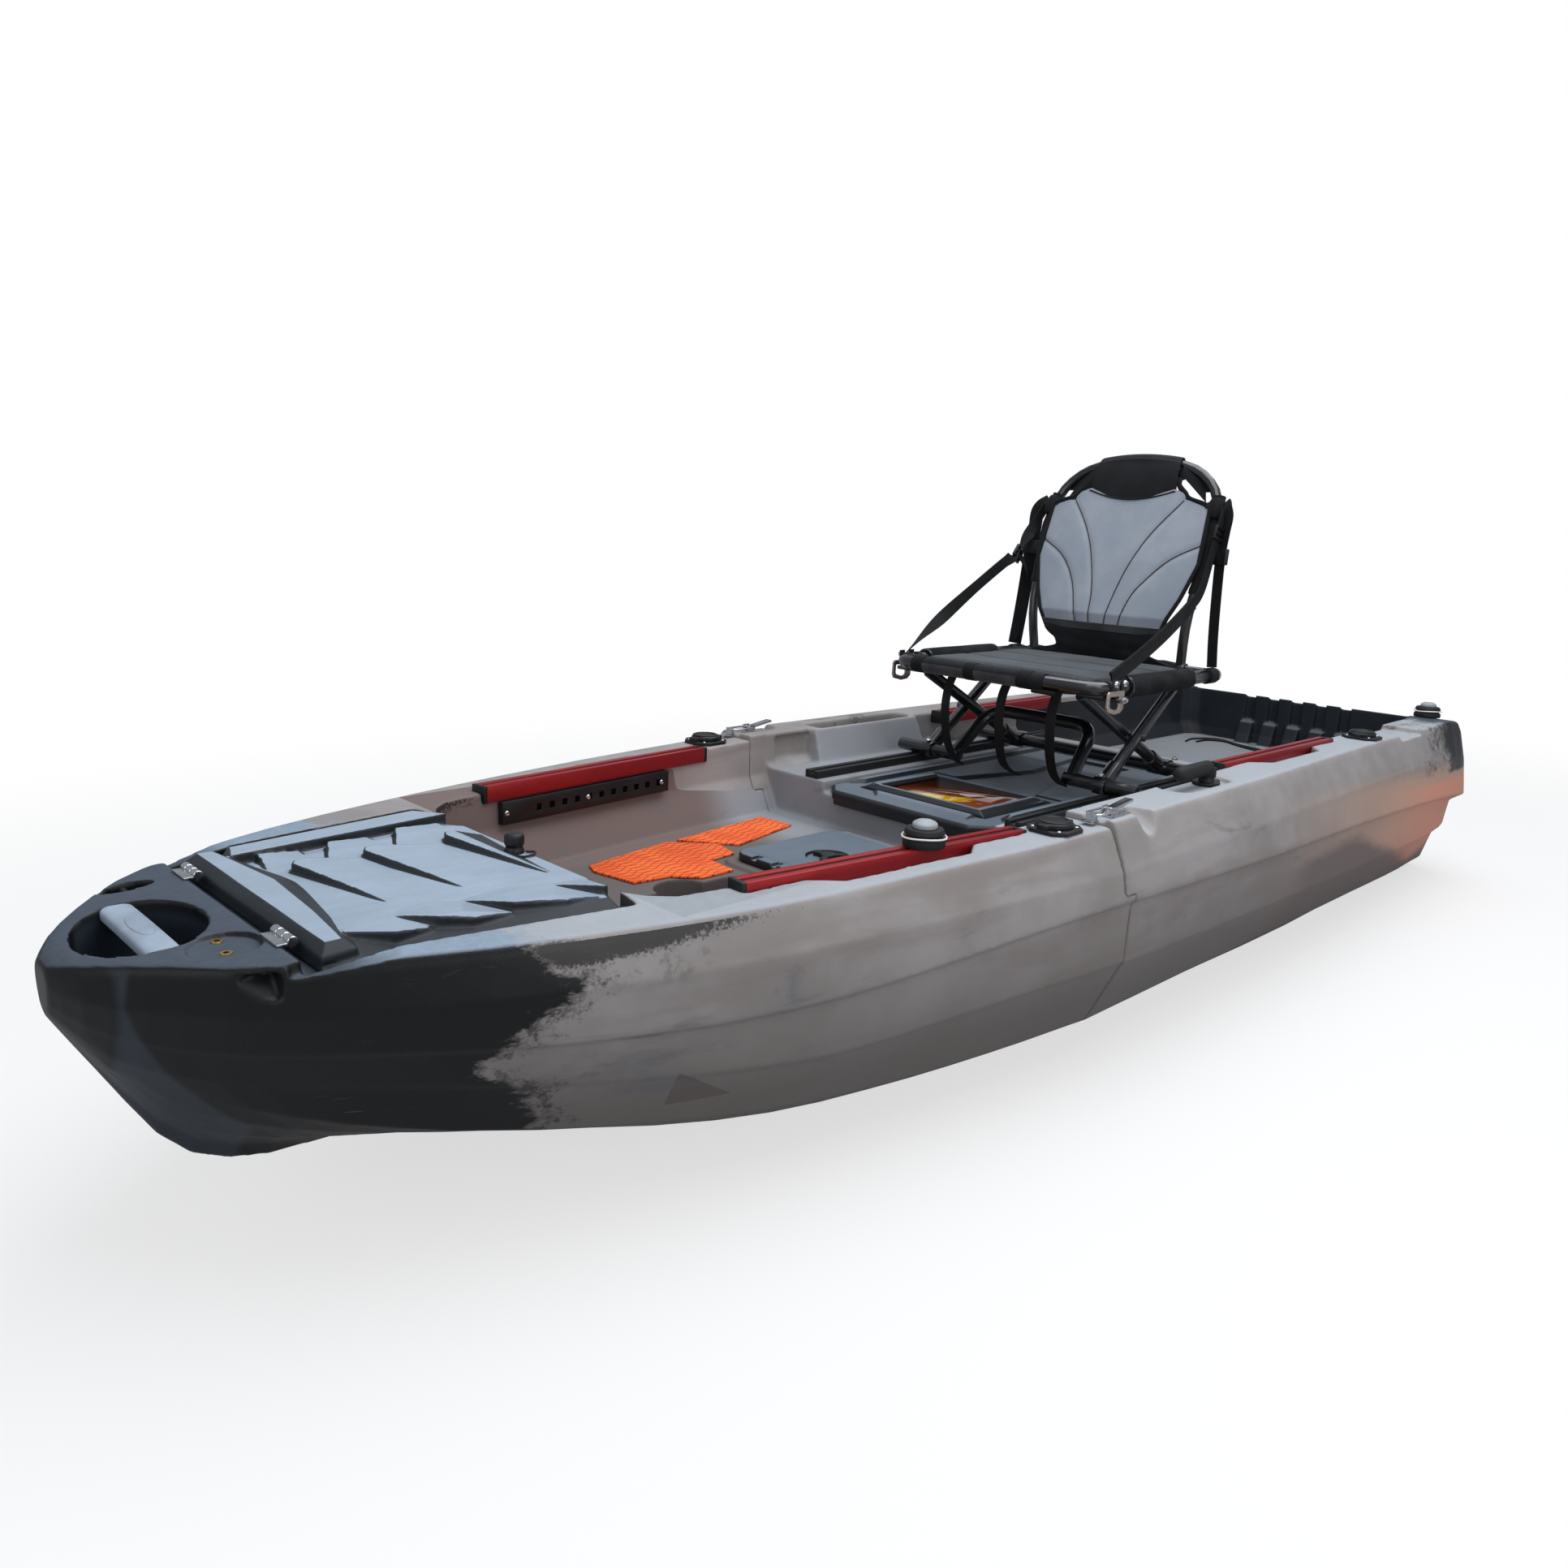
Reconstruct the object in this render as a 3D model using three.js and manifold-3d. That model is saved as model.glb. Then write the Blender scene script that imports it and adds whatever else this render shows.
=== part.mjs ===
// Two-piece fishing kayak with a folding frame seat, gear rails, rod holders and hatches.
// Millimetres. +X points to the bow, +Y to port, +Z up; the hull stands on z = 0.
import * as THREE from 'three';
import { ConvexGeometry } from 'three/addons/geometries/ConvexGeometry.js';
import { mergeVertices } from 'three/addons/utils/BufferGeometryUtils.js';
import Module from 'manifold-3d';

const wasm = await Module();
wasm.setup();

// Fits
const FIT_GAP = 0.3;
const MODULE_GAP = 0.6;
const PIVOT_CLEAR = 0.4;

// Hull
const HULL_LENGTH = 3000;
const NOSE_X = HULL_LENGTH / 2;
const STERN_X = -HULL_LENGTH / 2;
const HULL_WALL = 5;
const SEAM_X = 217;
const SEAM_STEP = 24;
const SEAM_STEP_Z = 300;
const GUNWALE_WIDTH = 86;
const EDGE_ROUND = 10;
const STRAKE_STEP = 8;
const STERN_STRAKE_STEP = 30;
const STRAKE_FADE = 420;
const STERN_FLARE = 400;
const KEEL_HALF = 45;
const TUNNEL_RISE = 14;
const FULL_BILGE_AFT = 800;
const BILGE_LIFT = 28;
const BILGE_LIFT_REAR = -900;
const BILGE_LIFT_FRONT = 400;
const CUT_TOP = 480;
const CUT_SIDE = 600;
const CUT_BOTTOM = -50;
const HOLE_SIDES = 20;

// Lines of the front module: distance aft of the nose, then half breadth and height of the gunwale,
// of the widest part of the side, of the upper and lower strake and of the chine, and keel height.
const FRONT_LINES = [
  [0, 22, 358, 24, 338, 20, 322, 16, 314, 11, 310, 306],
  [16, 55, 366, 61, 337, 52, 311, 41, 295, 30, 287, 277],
  [42, 92, 373, 100, 335, 86, 299, 70, 271, 54, 254, 231],
  [88, 147, 379, 154, 334, 134, 290, 113, 254, 94, 232, 152],
  [127, 186, 381, 191, 333, 168, 286, 140, 244, 118, 214, 118],
  [186, 224, 383, 231, 332, 208, 282, 174, 234, 147, 190, 102],
  [254, 256, 384, 265, 331, 245, 278, 211, 229, 173, 167, 98],
  [372, 302, 385, 314, 330, 301, 270, 272, 215, 229, 143, 88],
  [578, 357, 386, 374, 331, 368, 262, 346, 193, 305, 117, 50],
  [744, 386, 388, 405, 332, 403, 263, 384, 180, 344, 100, 28],
  [910, 406, 391, 427, 332, 430, 274, 414, 186, 367, 90, 14],
  [1078, 422, 393, 444, 333, 450, 284, 437, 191, 387, 84, 5],
  [1283, 436, 396, 460, 334, 469, 290, 459, 191, 404, 80, 0],
];
// The same lines of the rear module, by distance forward of the stern.
const REAR_LINES = [
  [0, 385, 292, 391, 280, 403, 205, 366, 130, 326, 23, 6],
  [45, 389, 352, 402, 300, 409, 211, 378, 131, 331, 26, 2],
  [109, 396, 397, 413, 318, 419, 220, 391, 134, 339, 32, 0],
  [300, 399, 402, 424, 328, 433, 238, 413, 142, 361, 45, 0],
  [756, 412, 406, 440, 334, 452, 262, 440, 160, 388, 68, 0],
  [1276, 430, 406, 457, 335, 469, 276, 457, 178, 402, 79, 0],
  [1741, 437, 405, 461, 335, 470, 290, 460, 190, 405, 80, 0],
];

// Cockpit, floor and decks
const COCKPIT_FLOOR = 260;
const COCKPIT_FRONT = 958;
const COCKPIT_CORNER = 40;
const WALL_FOOT_RISE = 55;
const WALL_FOOT_WIDTH = 34;
const SEAT_DECK = 340;
const SEAT_DECK_FRONT = 197;
const SEAT_DECK_REAR = -600;
const TANK_FLOOR = 256;
const TANK_REAR = -1400;
const TANK_CORNER = 36;
const RIB_GROOVE_DEPTH = 12;
const RIB_GROOVE_WIDTH = 26;
const RIB_GROOVE_PITCH = 63;
const RIB_GROOVES = 5;
const TROUGH_REAR = 520;
const TROUGH_FRONT = 760;
const TROUGH_HALF = 50;
const TROUGH_FLOOR = 170;
const TROUGH_CORNER = 44;
const TROUGH_SCOOP_X = 650;
const TROUGH_SCOOP_RADIUS = 45;
const PLINTH_MARGIN = 15;
const PLINTH_TOP = 267;

// Bow deck
const HANDLE_X = NOSE_X - 92;
const HANDLE_WELL_X = 62;
const HANDLE_WELL_Y = 84;
const HANDLE_WELL_DEPTH = 66;
const HANDLE_WIDTH = 34;
const HANDLE_THICK = 18;
const HANDLE_DROP = 1;
const TIE_SLOT_X = NOSE_X - 116;
const TIE_SLOT_Y = 138;
const TIE_SLOT_LENGTH = 60;
const TIE_SLOT_WIDTH = 28;
const TIE_SLOT_DEPTH = 26;
const TIE_BAR_RADIUS = 4;
const TIE_BAR_CLEAR = 1;
const DECK_PAD_X = NOSE_X - 137;
const DECK_PAD_Y = 112;
const DECK_PAD_RADIUS = 36;
const DECK_PAD_DEPTH = 4;
const DECK_SCOOP = { front: 1378, rear: 1343, inner: 176, top: 373, bottom: 349 };
const DECK_DIP = { front: 1337, rear: 1240, inner: 203, depth: 14 };

// Front hatch lid
const LID_FRONT = NOSE_X - 196;
const LID_FRONT_HALF = 207;
const LID_REAR = 950;
const LID_REAR_HALF = 264;
const LID_REAR_SWEEP = 26;
const LID_CLEAR = 4;
const LID_HINGE_GAP = 18;
const LID_SEAT = 362;
const LID_THICK = 18;
const LID_RIB = 10;
const LID_LEDGE = 34;
// Front and rear of each scallop on the port side, and the front and starboard edge of each middle wedge
const LID_SCALLOPS = [[1195, 1171], [1102, 1080], [1008, 984]];
const LID_WEDGES = [[1213, -100], [1117, -112], [1018, -118]];
const LID_HINGE_Y = 136;
const LID_HINGE_RADIUS = 5;
const LID_HINGE_LENGTH = 44;
const LID_HINGE_Z = 386;
const KNOB_INSET = 17;
const KNOB_RADIUS = 13;
const KNOB_HEIGHT = 27;

// Floor hatch
const HATCH_FRONT = 505;
const HATCH_REAR = 268;
const HATCH_HALF = 98;
const HATCH_LEDGE = 22;
const HATCH_THICK = 14;
const LATCH_ARM = 32;
const HATCH_NOTCH_PITCH = 46;
const TWIST_X = 398;
const TWIST_Y = 16;
const TWIST_DISH = 5;
const TWIST_THICK = 7;

// Centre hatch under the seat
const CENTRE_LID_HALF = 191;
const CENTRE_LID_FRONT = 215;
const CENTRE_LID_REAR = -470;
const CENTRE_RECESS = 318;
const CENTRE_LID_THICK = 15;
const CENTRE_RIB = 7;
const FLAP_HINGE_X = -50;
const FLAP_FRONT = 150;
const FLAP_HALF = 138;
const WELL_REAR = -30;
const WELL_FRONT = 140;
const WELL_HALF = 130;
const ACCESS_REAR = -430;
const ACCESS_FRONT = -90;
const ACCESS_HALF = 140;
const WELL_FLOOR = 130;
const WINDOW_FRONT = 128;
const WINDOW_REAR = -34;
const WINDOW_HALF = 104;
const WINDOW_THICK = 4;

// Gear rails: the ends are given for the port side, with the height of the rail's top.
const RAIL_WIDTH = 30;
const RAIL_HEIGHT = 26;
const RAIL_END_CLEAR = 2.5;
const RAIL_SIDE_CLEAR = 1;
const RAIL_GROOVE = 9;
const RAIL_GROOVE_DEPTH = 3.5;
const FRONT_RAIL = { rear: [364, 352], front: [848, 297], top: 397 };
const REAR_RAIL = { rear: [-760, 330], front: [-292, 325], top: 411 };
const RAIL_POCKET_WIDTH = 30;
const RAIL_POCKET_DEPTH = 24;
const SEAT_TRACK_Y = 228;
const SEAT_TRACK_WIDTH = 32;
const SEAT_TRACK_HEIGHT = 14;
const SEAT_TRACK_REAR = -580;
const FOOT_TRACK_REAR = 463;
const FOOT_TRACK_LENGTH = 357;
const FOOT_TRACK_FRONT = FOOT_TRACK_REAR + FOOT_TRACK_LENGTH;
const FOOT_TRACK_HEIGHT = 36;
const FOOT_TRACK_THICK = 12;
const FOOT_TRACK_BOTTOM = 333;
const FOOT_TRACK_HOLE = 11;
const FOOT_TRACK_HOLES = 11;

// Rod holders
const FRONT_SOCKET_X = 322;
const REAR_SOCKET_X = -862;
const SOCKET_INSET = 43;
const SOCKET_FLANGE = 35;
const SOCKET_FLANGE_THICK = 5;
const SOCKET_OUTER = 24;
const SOCKET_BORE = 20.5;
const SOCKET_DEPTH = 150;
const SOCKET_CAP_RADIUS = 27;
const SOCKET_CAP_THICK = 9;

// Rail mount and stern mount
const RAIL_MOUNT_X = 547;
const MOUNT_RADIUS = 29;
const MOUNT_HEIGHT = 24;
const MOUNT_WAIST = 25;
const MOUNT_CAP_RADIUS = 17;
const MOUNT_CAP_THICK = 9;
const MOUNT_TONGUE = 60;
const STERN_MOUNT_X = STERN_X + 150;
const STERN_MOUNT_Y = 335;

// Toggle latches that draw the modules together
const TOGGLE_X = 200;
const TOGGLE_INSET = 36;
const TOGGLE_WIDTH = 20;
const TOGGLE_BASE_LENGTH = 44;
const TOGGLE_BASE_HEIGHT = 6;
const TOGGLE_PIN_HEIGHT = 11;
const TOGGLE_LEVER_LENGTH = 54;
const TOGGLE_LEVER_THICK = 4;
const TOGGLE_LEVER_RISE = 8;
const TOGGLE_WIRE_RADIUS = 1.8;
const TOGGLE_KEEPER_X = 252;

// Rudder lever
const RUDDER_X = -150;
const RUDDER_INSET = 56;
const RUDDER_BASE_RADIUS = 23;
const RUDDER_POST_RADIUS = 13;
const RUDDER_POST_HEIGHT = 14;
const RUDDER_HUB_HEIGHT = 16;
const RUDDER_GRIP_RADIUS = 13;
const RUDDER_GRIP_LENGTH = 92;
const RUDDER_GRIP_RISE = 28;

// Gunwale hollows
const SCOOP_X = 150;
const SCOOP_RADIUS = 24;
const SIDE_POCKET = { rear: -225, front: 62, inner: 345, outer: 392, floor: 300, lip: 30 };
const SIDE_BLOCK = { rear: -240, front: 87, foot: 309, top: 335 };
const WALL_RECESS = { rear: 78, front: 176, bottom: 350, top: 396, depth: 9 };
const STERN_STEP = { rear: -1118, front: -985, depth: 11, slope: 22 };
const TRANSOM_FOOT_REACH = 34;
const TRANSOM_FOOT_HEIGHT = 62;

// Floor mats, as outlines on the starboard side
const MAT_THICK = 4;
const FRONT_MAT = [
  [715, -185], [703, -215], [520, -250], [455, -188], [470, -130], [528, -124], [534, -60], [598, -58],
  [636, -94], [700, -100],
];
const REAR_MAT = [[498, -250], [269, -284], [263, -207], [428, -165]];

// Seat frame, in the plane of the legs: x along the hull and z up
const SEAT_TUBE_RADIUS = 12.5;
const LEG_RADIUS = 11;
const COLLAR_WALL = 3.5;
const LEG_SOCKET_LENGTH = 52;
const OUTER_COLLAR_LENGTH = 25;
const INNER_COLLAR_LENGTH = 42;
const COLLAR_CLEAR = 0.4;
const SEAT_BAR_Z = SEAT_DECK + SEAT_TRACK_HEIGHT + SEAT_TUBE_RADIUS + 2 * FIT_GAP;
const FRONT_BAR_X = -114;
const REAR_BAR_X = -371;
const BAR_END = 272;
const BAR_INNER_END = 122;
const PAN_HALF = 225;
const OUTER_LEG_Y = PAN_HALF - 26;
const INNER_LEG_Y = OUTER_LEG_Y - 27;
const LEG_RISE = 163.9;
const OUTER_LEG_TOP = [-340, SEAT_BAR_Z + LEG_RISE];
const INNER_LEG_TOP = [-62, SEAT_BAR_Z + LEG_RISE];
const LEG_CROSSING = [-222.6, SEAT_BAR_Z + 0.4814 * LEG_RISE];
const LEG_BOLT_RADIUS = 4;
const LEG_BOLT_HEAD = 8;
const ARCH_FOOT_Y = 135;
const ARCH_RISE = 85.9;
const ARCH_TOP = [-205, SEAT_BAR_Z + ARCH_RISE];
const ARCH_TOP_HALF = 118;
const ARCH_BEND = 42;
const PAN_Z = SEAT_BAR_Z + LEG_RISE + 18;
const PAN_FRONT = -30;
const PAN_REAR = -447;
const PAN_BEND = 38;
const SLEEVE_RADIUS = 19;
const SLEEVE_FRONT = -112;
const SLEEVE_REAR = -338;
const SLING_THICK = 8;
const SLING_CLEAR = 1;
const LATCH_PLATE_X = -59;
const LATCH_PLATE_LENGTH = 52;
const LATCH_PLATE_HEIGHT = 46;
const LATCH_PLATE_THICK = 4;
const LATCH_SLOT = 16;

// Backrest: the port half of its tube from the foot to the middle of the top
const PAN_BAR_X = -413;
const PAN_BAR_Z = PAN_Z + 6;
const PAN_BAR_RADIUS = 9;
const BACK_COLLAR_LENGTH = 24;
const BACK_TUBE = [
  [PAN_BAR_X, 169, PAN_BAR_Z], [-400, 176, PAN_Z + 101], [-449, 187, PAN_Z + 264], [-472, 178, PAN_Z + 341],
  [-485, 128, PAN_Z + 386], [-490, 60, PAN_Z + 402], [-491, 0, PAN_Z + 404],
];
const BACK_TUBE_RADIUS = 9.5;
const BACK_COVER_THICK = 10;
// Cover of the backrest, upwards: height over the pan, half width, and how far its middle stands out
const BACK_COVER = [
  [12.4, 118, 7],
  [66, 132, 11],
  [141, 166, 10],
  [207, 186, 10],
  [313, 180, 5],
  [349, 150, 3],
  [367, 112, 1],
  [413, 92, 0],
];
const STRAP_WIDTH = 25;
const STRAP_THICK = 2.4;
const STRAP_FOOT_X = -60;
const STRAP_BEND = [-371, 208, PAN_Z + 193];
const STRAP_TOP_Z = PAN_Z + 299;

// Cord that lies in the tank well
const CORD_RADIUS = 2.5;
const CORD_LOOP = [
  [-1268, -232], [-1320, -240], [-1376, -205], [-1376, -174], [-1350, -126], [-1322, -34], [-1310, -26],
  [-1312, -60], [-1336, -120], [-1362, -168], [-1340, -205], [-1290, -212],
];

// Solids
function solidOf(geometry) {
  const clean = geometry.index ? geometry.toNonIndexed() : geometry.clone();
  clean.deleteAttribute('normal');
  clean.deleteAttribute('uv');
  const merged = mergeVertices(clean, 1e-3);
  const vertProperties = Float32Array.from(merged.attributes.position.array);
  const triVerts = Uint32Array.from(merged.index.array);
  return new wasm.Manifold(new wasm.Mesh({ numProp: 3, vertProperties, triVerts }));
}

function geometryOf(solid) {
  const mesh = solid.getMesh();
  const geometry = new THREE.BufferGeometry();
  geometry.setAttribute('position', new THREE.BufferAttribute(Float32Array.from(mesh.vertProperties), 3));
  geometry.setIndex(new THREE.BufferAttribute(Uint32Array.from(mesh.triVerts), 1));
  geometry.computeVertexNormals();
  return geometry;
}

function block(x0, x1, y0, y1, z0, z1) {
  const geometry = new THREE.BoxGeometry(x1 - x0, y1 - y0, z1 - z0);
  geometry.translate((x0 + x1) / 2, (y0 + y1) / 2, (z0 + z1) / 2);
  return solidOf(geometry);
}

// A skin through rings with the same number of points, closed by flat ends. The outline is the
// flat form of one ring, which the ends are filled from.
function loft(rings, outlines) {
  const count = rings[0].length;
  const last = rings.length - 1;
  const positions = [];
  for (let i = 0; i < last; i += 1) {
    for (let j = 0; j < count; j += 1) {
      const next = (j + 1) % count;
      const [a, b, c, d] = [rings[i][j], rings[i][next], rings[i + 1][next], rings[i + 1][j]];
      positions.push(...a, ...b, ...c, ...a, ...c, ...d);
    }
  }
  for (const [index, flip] of [[0, true], [last, false]]) {
    const flat = outlines[Math.min(index, outlines.length - 1)].map(([u, v]) => new THREE.Vector2(u, v));
    const ring = rings[index];
    for (const [a, b, c] of THREE.ShapeUtils.triangulateShape(flat, [])) {
      const corners = flip ? [ring[a], ring[c], ring[b]] : [ring[a], ring[b], ring[c]];
      positions.push(...corners.flat());
    }
  }
  const geometry = new THREE.BufferGeometry();
  geometry.setAttribute('position', new THREE.Float32BufferAttribute(positions, 3));
  return solidOf(geometry);
}

// A skin through upright sections at given places along the hull.
function loftAlong(stations, section) {
  const outlines = stations.map((x) => mirrored(section(x)));
  const rings = outlines.map((outline, i) => outline.map(([y, z]) => [stations[i], y, z]));
  return loft(rings, outlines);
}

function mirrored(half) {
  const port = half.map(([y, z]) => [y, z]);
  const starboard = half.slice(1).reverse().map(([y, z]) => [-y, z]);
  return [...port, [0, half[half.length - 1][1]], ...starboard];
}

// A bar with the given profile (sideways, upwards) between two points.
function bar(from, to, profile) {
  const start = new THREE.Vector3(...from);
  const end = new THREE.Vector3(...to);
  const along = end.clone().sub(start).normalize();
  const aside = new THREE.Vector3(-along.y, along.x, 0).normalize();
  const upward = along.clone().cross(aside);
  const place = (origin) => profile.map(([u, v]) => {
    return origin.clone().addScaledVector(aside, u).addScaledVector(upward, v).toArray();
  });
  return loft([place(start), place(end)], [profile]);
}

function circle(radius, sides) {
  return Array.from({ length: sides }, (_, i) => {
    const angle = (2 * Math.PI * (i + 0.5)) / sides;
    return [radius * Math.cos(angle), radius * Math.sin(angle)];
  });
}

function rod(from, to, radius, sides = 12) {
  return bar(from, to, circle(radius, sides));
}

// A round tube through the points, with its ring at each one square to the path there.
function tube(points, radius, sides = 12) {
  const path = points.map((point) => new THREE.Vector3(...point));
  const tangents = path.map((point, i) => {
    const into = point.clone().sub(path[Math.max(i - 1, 0)]).normalize();
    const out = path[Math.min(i + 1, path.length - 1)].clone().sub(point).normalize();
    return into.add(out).normalize();
  });
  const first = tangents[0];
  const helper = Math.abs(first.z) > 0.8 ? new THREE.Vector3(1, 0, 0) : new THREE.Vector3(0, 0, 1);
  const aside = helper.clone().cross(first).normalize();
  const outline = circle(radius, sides);
  const rings = path.map((point, i) => {
    aside.addScaledVector(tangents[i], -aside.dot(tangents[i])).normalize();
    const upward = tangents[i].clone().cross(aside);
    return outline.map(([u, v]) => {
      const moved = point.clone().addScaledVector(aside, u).addScaledVector(upward, v);
      return moved.toArray();
    });
  });
  return loft(rings, [outline]);
}

// The points of a path with its corners rounded off.
function rounded(points, radius, steps = 5) {
  const path = points.map((point) => new THREE.Vector3(...point));
  const result = [points[0]];
  for (let i = 1; i < path.length - 1; i += 1) {
    const [before, corner, after] = [path[i - 1], path[i], path[i + 1]];
    const back = before.clone().sub(corner);
    const ahead = after.clone().sub(corner);
    const reach = Math.min(radius, back.length() * 0.48, ahead.length() * 0.48);
    const start = corner.clone().addScaledVector(back.normalize(), reach);
    const end = corner.clone().addScaledVector(ahead.normalize(), reach);
    const bend = new THREE.QuadraticBezierCurve3(start, corner, end);
    result.push(...bend.getPoints(steps).map((point) => point.toArray()));
  }
  result.push(points[points.length - 1]);
  return result;
}

function flatShape(points) {
  return new THREE.Shape(points.map(([x, y]) => new THREE.Vector2(x, y)));
}

// A plan outline raised from z0 to z1.
function slab(shape, z0, z1, curveSegments = 8) {
  const geometry = new THREE.ExtrudeGeometry(shape, { depth: z1 - z0, bevelEnabled: false, curveSegments });
  geometry.translate(0, 0, z0);
  return solidOf(geometry);
}

function roundedRectangle(x0, x1, y0, y1, radius) {
  const shape = new THREE.Shape();
  shape.moveTo(x0 + radius, y0);
  shape.absarc(x1 - radius, y0 + radius, radius, -Math.PI / 2, 0);
  shape.absarc(x1 - radius, y1 - radius, radius, 0, Math.PI / 2);
  shape.absarc(x0 + radius, y1 - radius, radius, Math.PI / 2, Math.PI);
  shape.absarc(x0 + radius, y0 + radius, radius, Math.PI, 1.5 * Math.PI);
  return shape;
}

function ellipse(x, y, radiusX, radiusY) {
  const shape = new THREE.Shape();
  shape.absellipse(x, y, radiusX, radiusY, 0, 2 * Math.PI);
  return shape;
}

function post(x, y, radius, z0, z1, sides = HOLE_SIDES) {
  const geometry = new THREE.CylinderGeometry(radius, radius, z1 - z0, sides);
  geometry.rotateX(Math.PI / 2);
  geometry.translate(x, y, (z0 + z1) / 2);
  return solidOf(geometry);
}

// A closed turned solid about an upright axis, from its profile (radius, height).
function turned(profile, x, y, sides = HOLE_SIDES) {
  const geometry = new THREE.LatheGeometry(profile.map(([r, z]) => new THREE.Vector2(r, z)), sides);
  geometry.rotateX(Math.PI / 2);
  geometry.translate(x, y, 0);
  return solidOf(geometry);
}

function convex(points) {
  return solidOf(new ConvexGeometry(points.map((point) => new THREE.Vector3(...point))));
}

function joined(solids) {
  return solids.reduce((sum, solid) => sum.add(solid));
}

function evenly(from, to, count) {
  return Array.from({ length: count }, (_, i) => from + ((to - from) * i) / (count - 1));
}

// Reads a table of hull lines at one place, smoothly between its rows.
function readLines(lines, place) {
  const last = lines.length - 1;
  let row = 0;
  while (row < last - 1 && place > lines[row + 1][0]) row += 1;
  const span = lines[row + 1][0] - lines[row][0];
  const t = THREE.MathUtils.clamp((place - lines[row][0]) / span, 0, 1);
  const slope = (i, column) => {
    const low = Math.max(i - 1, 0);
    const high = Math.min(i + 1, last);
    return (lines[high][column] - lines[low][column]) / (lines[high][0] - lines[low][0]);
  };
  const startWeight = 2 * t ** 3 - 3 * t ** 2 + 1;
  const startPull = (t ** 3 - 2 * t ** 2 + t) * span;
  const endPull = (t ** 3 - t ** 2) * span;
  return lines[row].map((value, column) => {
    const bend = startPull * slope(row, column) + endPull * slope(row + 1, column);
    return startWeight * value + (1 - startWeight) * lines[row + 1][column] + bend;
  });
}

const frontLines = (x) => readLines(FRONT_LINES, NOSE_X - x);
const rearLines = (x) => readLines(REAR_LINES, x - STERN_X);
const keelHeight = (lines, x) => Math.max(0, lines(x)[11]);
const linesAt = (x) => (x > SEAM_X ? frontLines(x) : rearLines(x));
const gunwaleY = (x) => linesAt(x)[1];
const gunwaleZ = (x) => linesAt(x)[2];
const innerWallY = (x) => gunwaleY(x) - GUNWALE_WIDTH;

// Half of the hull's section, from the keel up to the edge of the deck.
function hullSection(lines, x) {
  const [, gunY, gunZ, sideY, sideZ, upperY, upperZ, lowerY, lowerZ, chineY, chineZ] = lines(x);
  const keelZ = keelHeight(lines, x);
  const afterNose = NOSE_X - x;
  const mix = THREE.MathUtils.lerp;
  const fullness = THREE.MathUtils.smoothstep(afterNose, 100, FULL_BILGE_AFT);
  const fade = THREE.MathUtils.smoothstep(afterNose, 60, STRAKE_FADE);
  const step = Math.max(1.5, fade * strakeStep(x));
  const lift = BILGE_LIFT * THREE.MathUtils.smoothstep(x, BILGE_LIFT_REAR, BILGE_LIFT_FRONT);
  const rise = (share) => keelZ + (chineZ - keelZ) * share;
  return [
    [0, keelZ],
    [Math.min(KEEL_HALF, chineY * 0.3), keelZ],
    [chineY * mix(0.42, 0.32, fullness), mix(rise(0.26), keelZ + TUNNEL_RISE, fullness)],
    [chineY * mix(0.6, 0.54, fullness), mix(rise(0.46), keelZ, fullness)],
    [chineY * 0.82, mix(rise(0.74), keelZ + 4 + lift, fullness)],
    [chineY, chineZ],
    [lowerY - step * 0.6, lowerZ - step * 0.6],
    [lowerY, lowerZ],
    [upperY - step, upperZ - step * 0.7],
    [upperY, upperZ],
    [sideY, sideZ],
    [gunY + 1, gunZ - EDGE_ROUND],
    [gunY - EDGE_ROUND * 0.3, gunZ - EDGE_ROUND * 0.3],
    [gunY - EDGE_ROUND, gunZ],
  ];
}

function strakeStep(x) {
  const flare = THREE.MathUtils.smoothstep(STERN_X + STERN_FLARE - x, 0, STERN_FLARE);
  return THREE.MathUtils.lerp(STRAKE_STEP, STERN_STRAKE_STEP, flare);
}

// The hull's section drawn in by the wall, without the small steps of the strakes.
function hollowSection(lines, x) {
  const nearNose = THREE.MathUtils.smoothstep(NOSE_X - x, 60, 300);
  const wall = HULL_WALL * THREE.MathUtils.lerp(2.4, 1, nearNose);
  const [, gunY, gunZ, sideY, sideZ, upperY, upperZ, lowerY, lowerZ, chineY, chineZ] = lines(x);
  const keelZ = keelHeight(lines, x);
  const step = strakeStep(x);
  return [
    [0, keelZ + TUNNEL_RISE + wall],
    [chineY * 0.75 - wall, Math.max(keelZ + TUNNEL_RISE, keelZ + (chineZ - keelZ) * 0.7) + wall],
    [chineY - wall * 1.6, chineZ + wall],
    [lowerY - step - wall, lowerZ],
    [upperY - step - wall, upperZ],
    [sideY - wall * 1.2, sideZ],
    [gunY - wall * 1.5, gunZ - EDGE_ROUND - wall],
    [gunY - EDGE_ROUND - wall, gunZ - wall],
  ];
}

// The cockpit, from the face of the seat deck to the front bulkhead.
function cockpitWell(grow) {
  const front = COCKPIT_FRONT + grow;
  const section = (x) => {
    const corner = COCKPIT_CORNER * Math.max(0, 1 - (front - x) / COCKPIT_CORNER) ** 2;
    const wall = innerWallY(x) - corner + grow;
    return [
      [0, COCKPIT_FLOOR - grow],
      [wall - WALL_FOOT_WIDTH, COCKPIT_FLOOR - grow],
      [wall - 6, COCKPIT_FLOOR + WALL_FOOT_RISE],
      [wall, COCKPIT_FLOOR + WALL_FOOT_RISE + 12],
      [wall + 3, CUT_TOP],
    ];
  };
  const stations = evenly(SEAT_DECK_FRONT - grow, front - COCKPIT_CORNER, 8);
  return loftAlong([...stations, front - COCKPIT_CORNER / 3, front], section);
}

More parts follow.
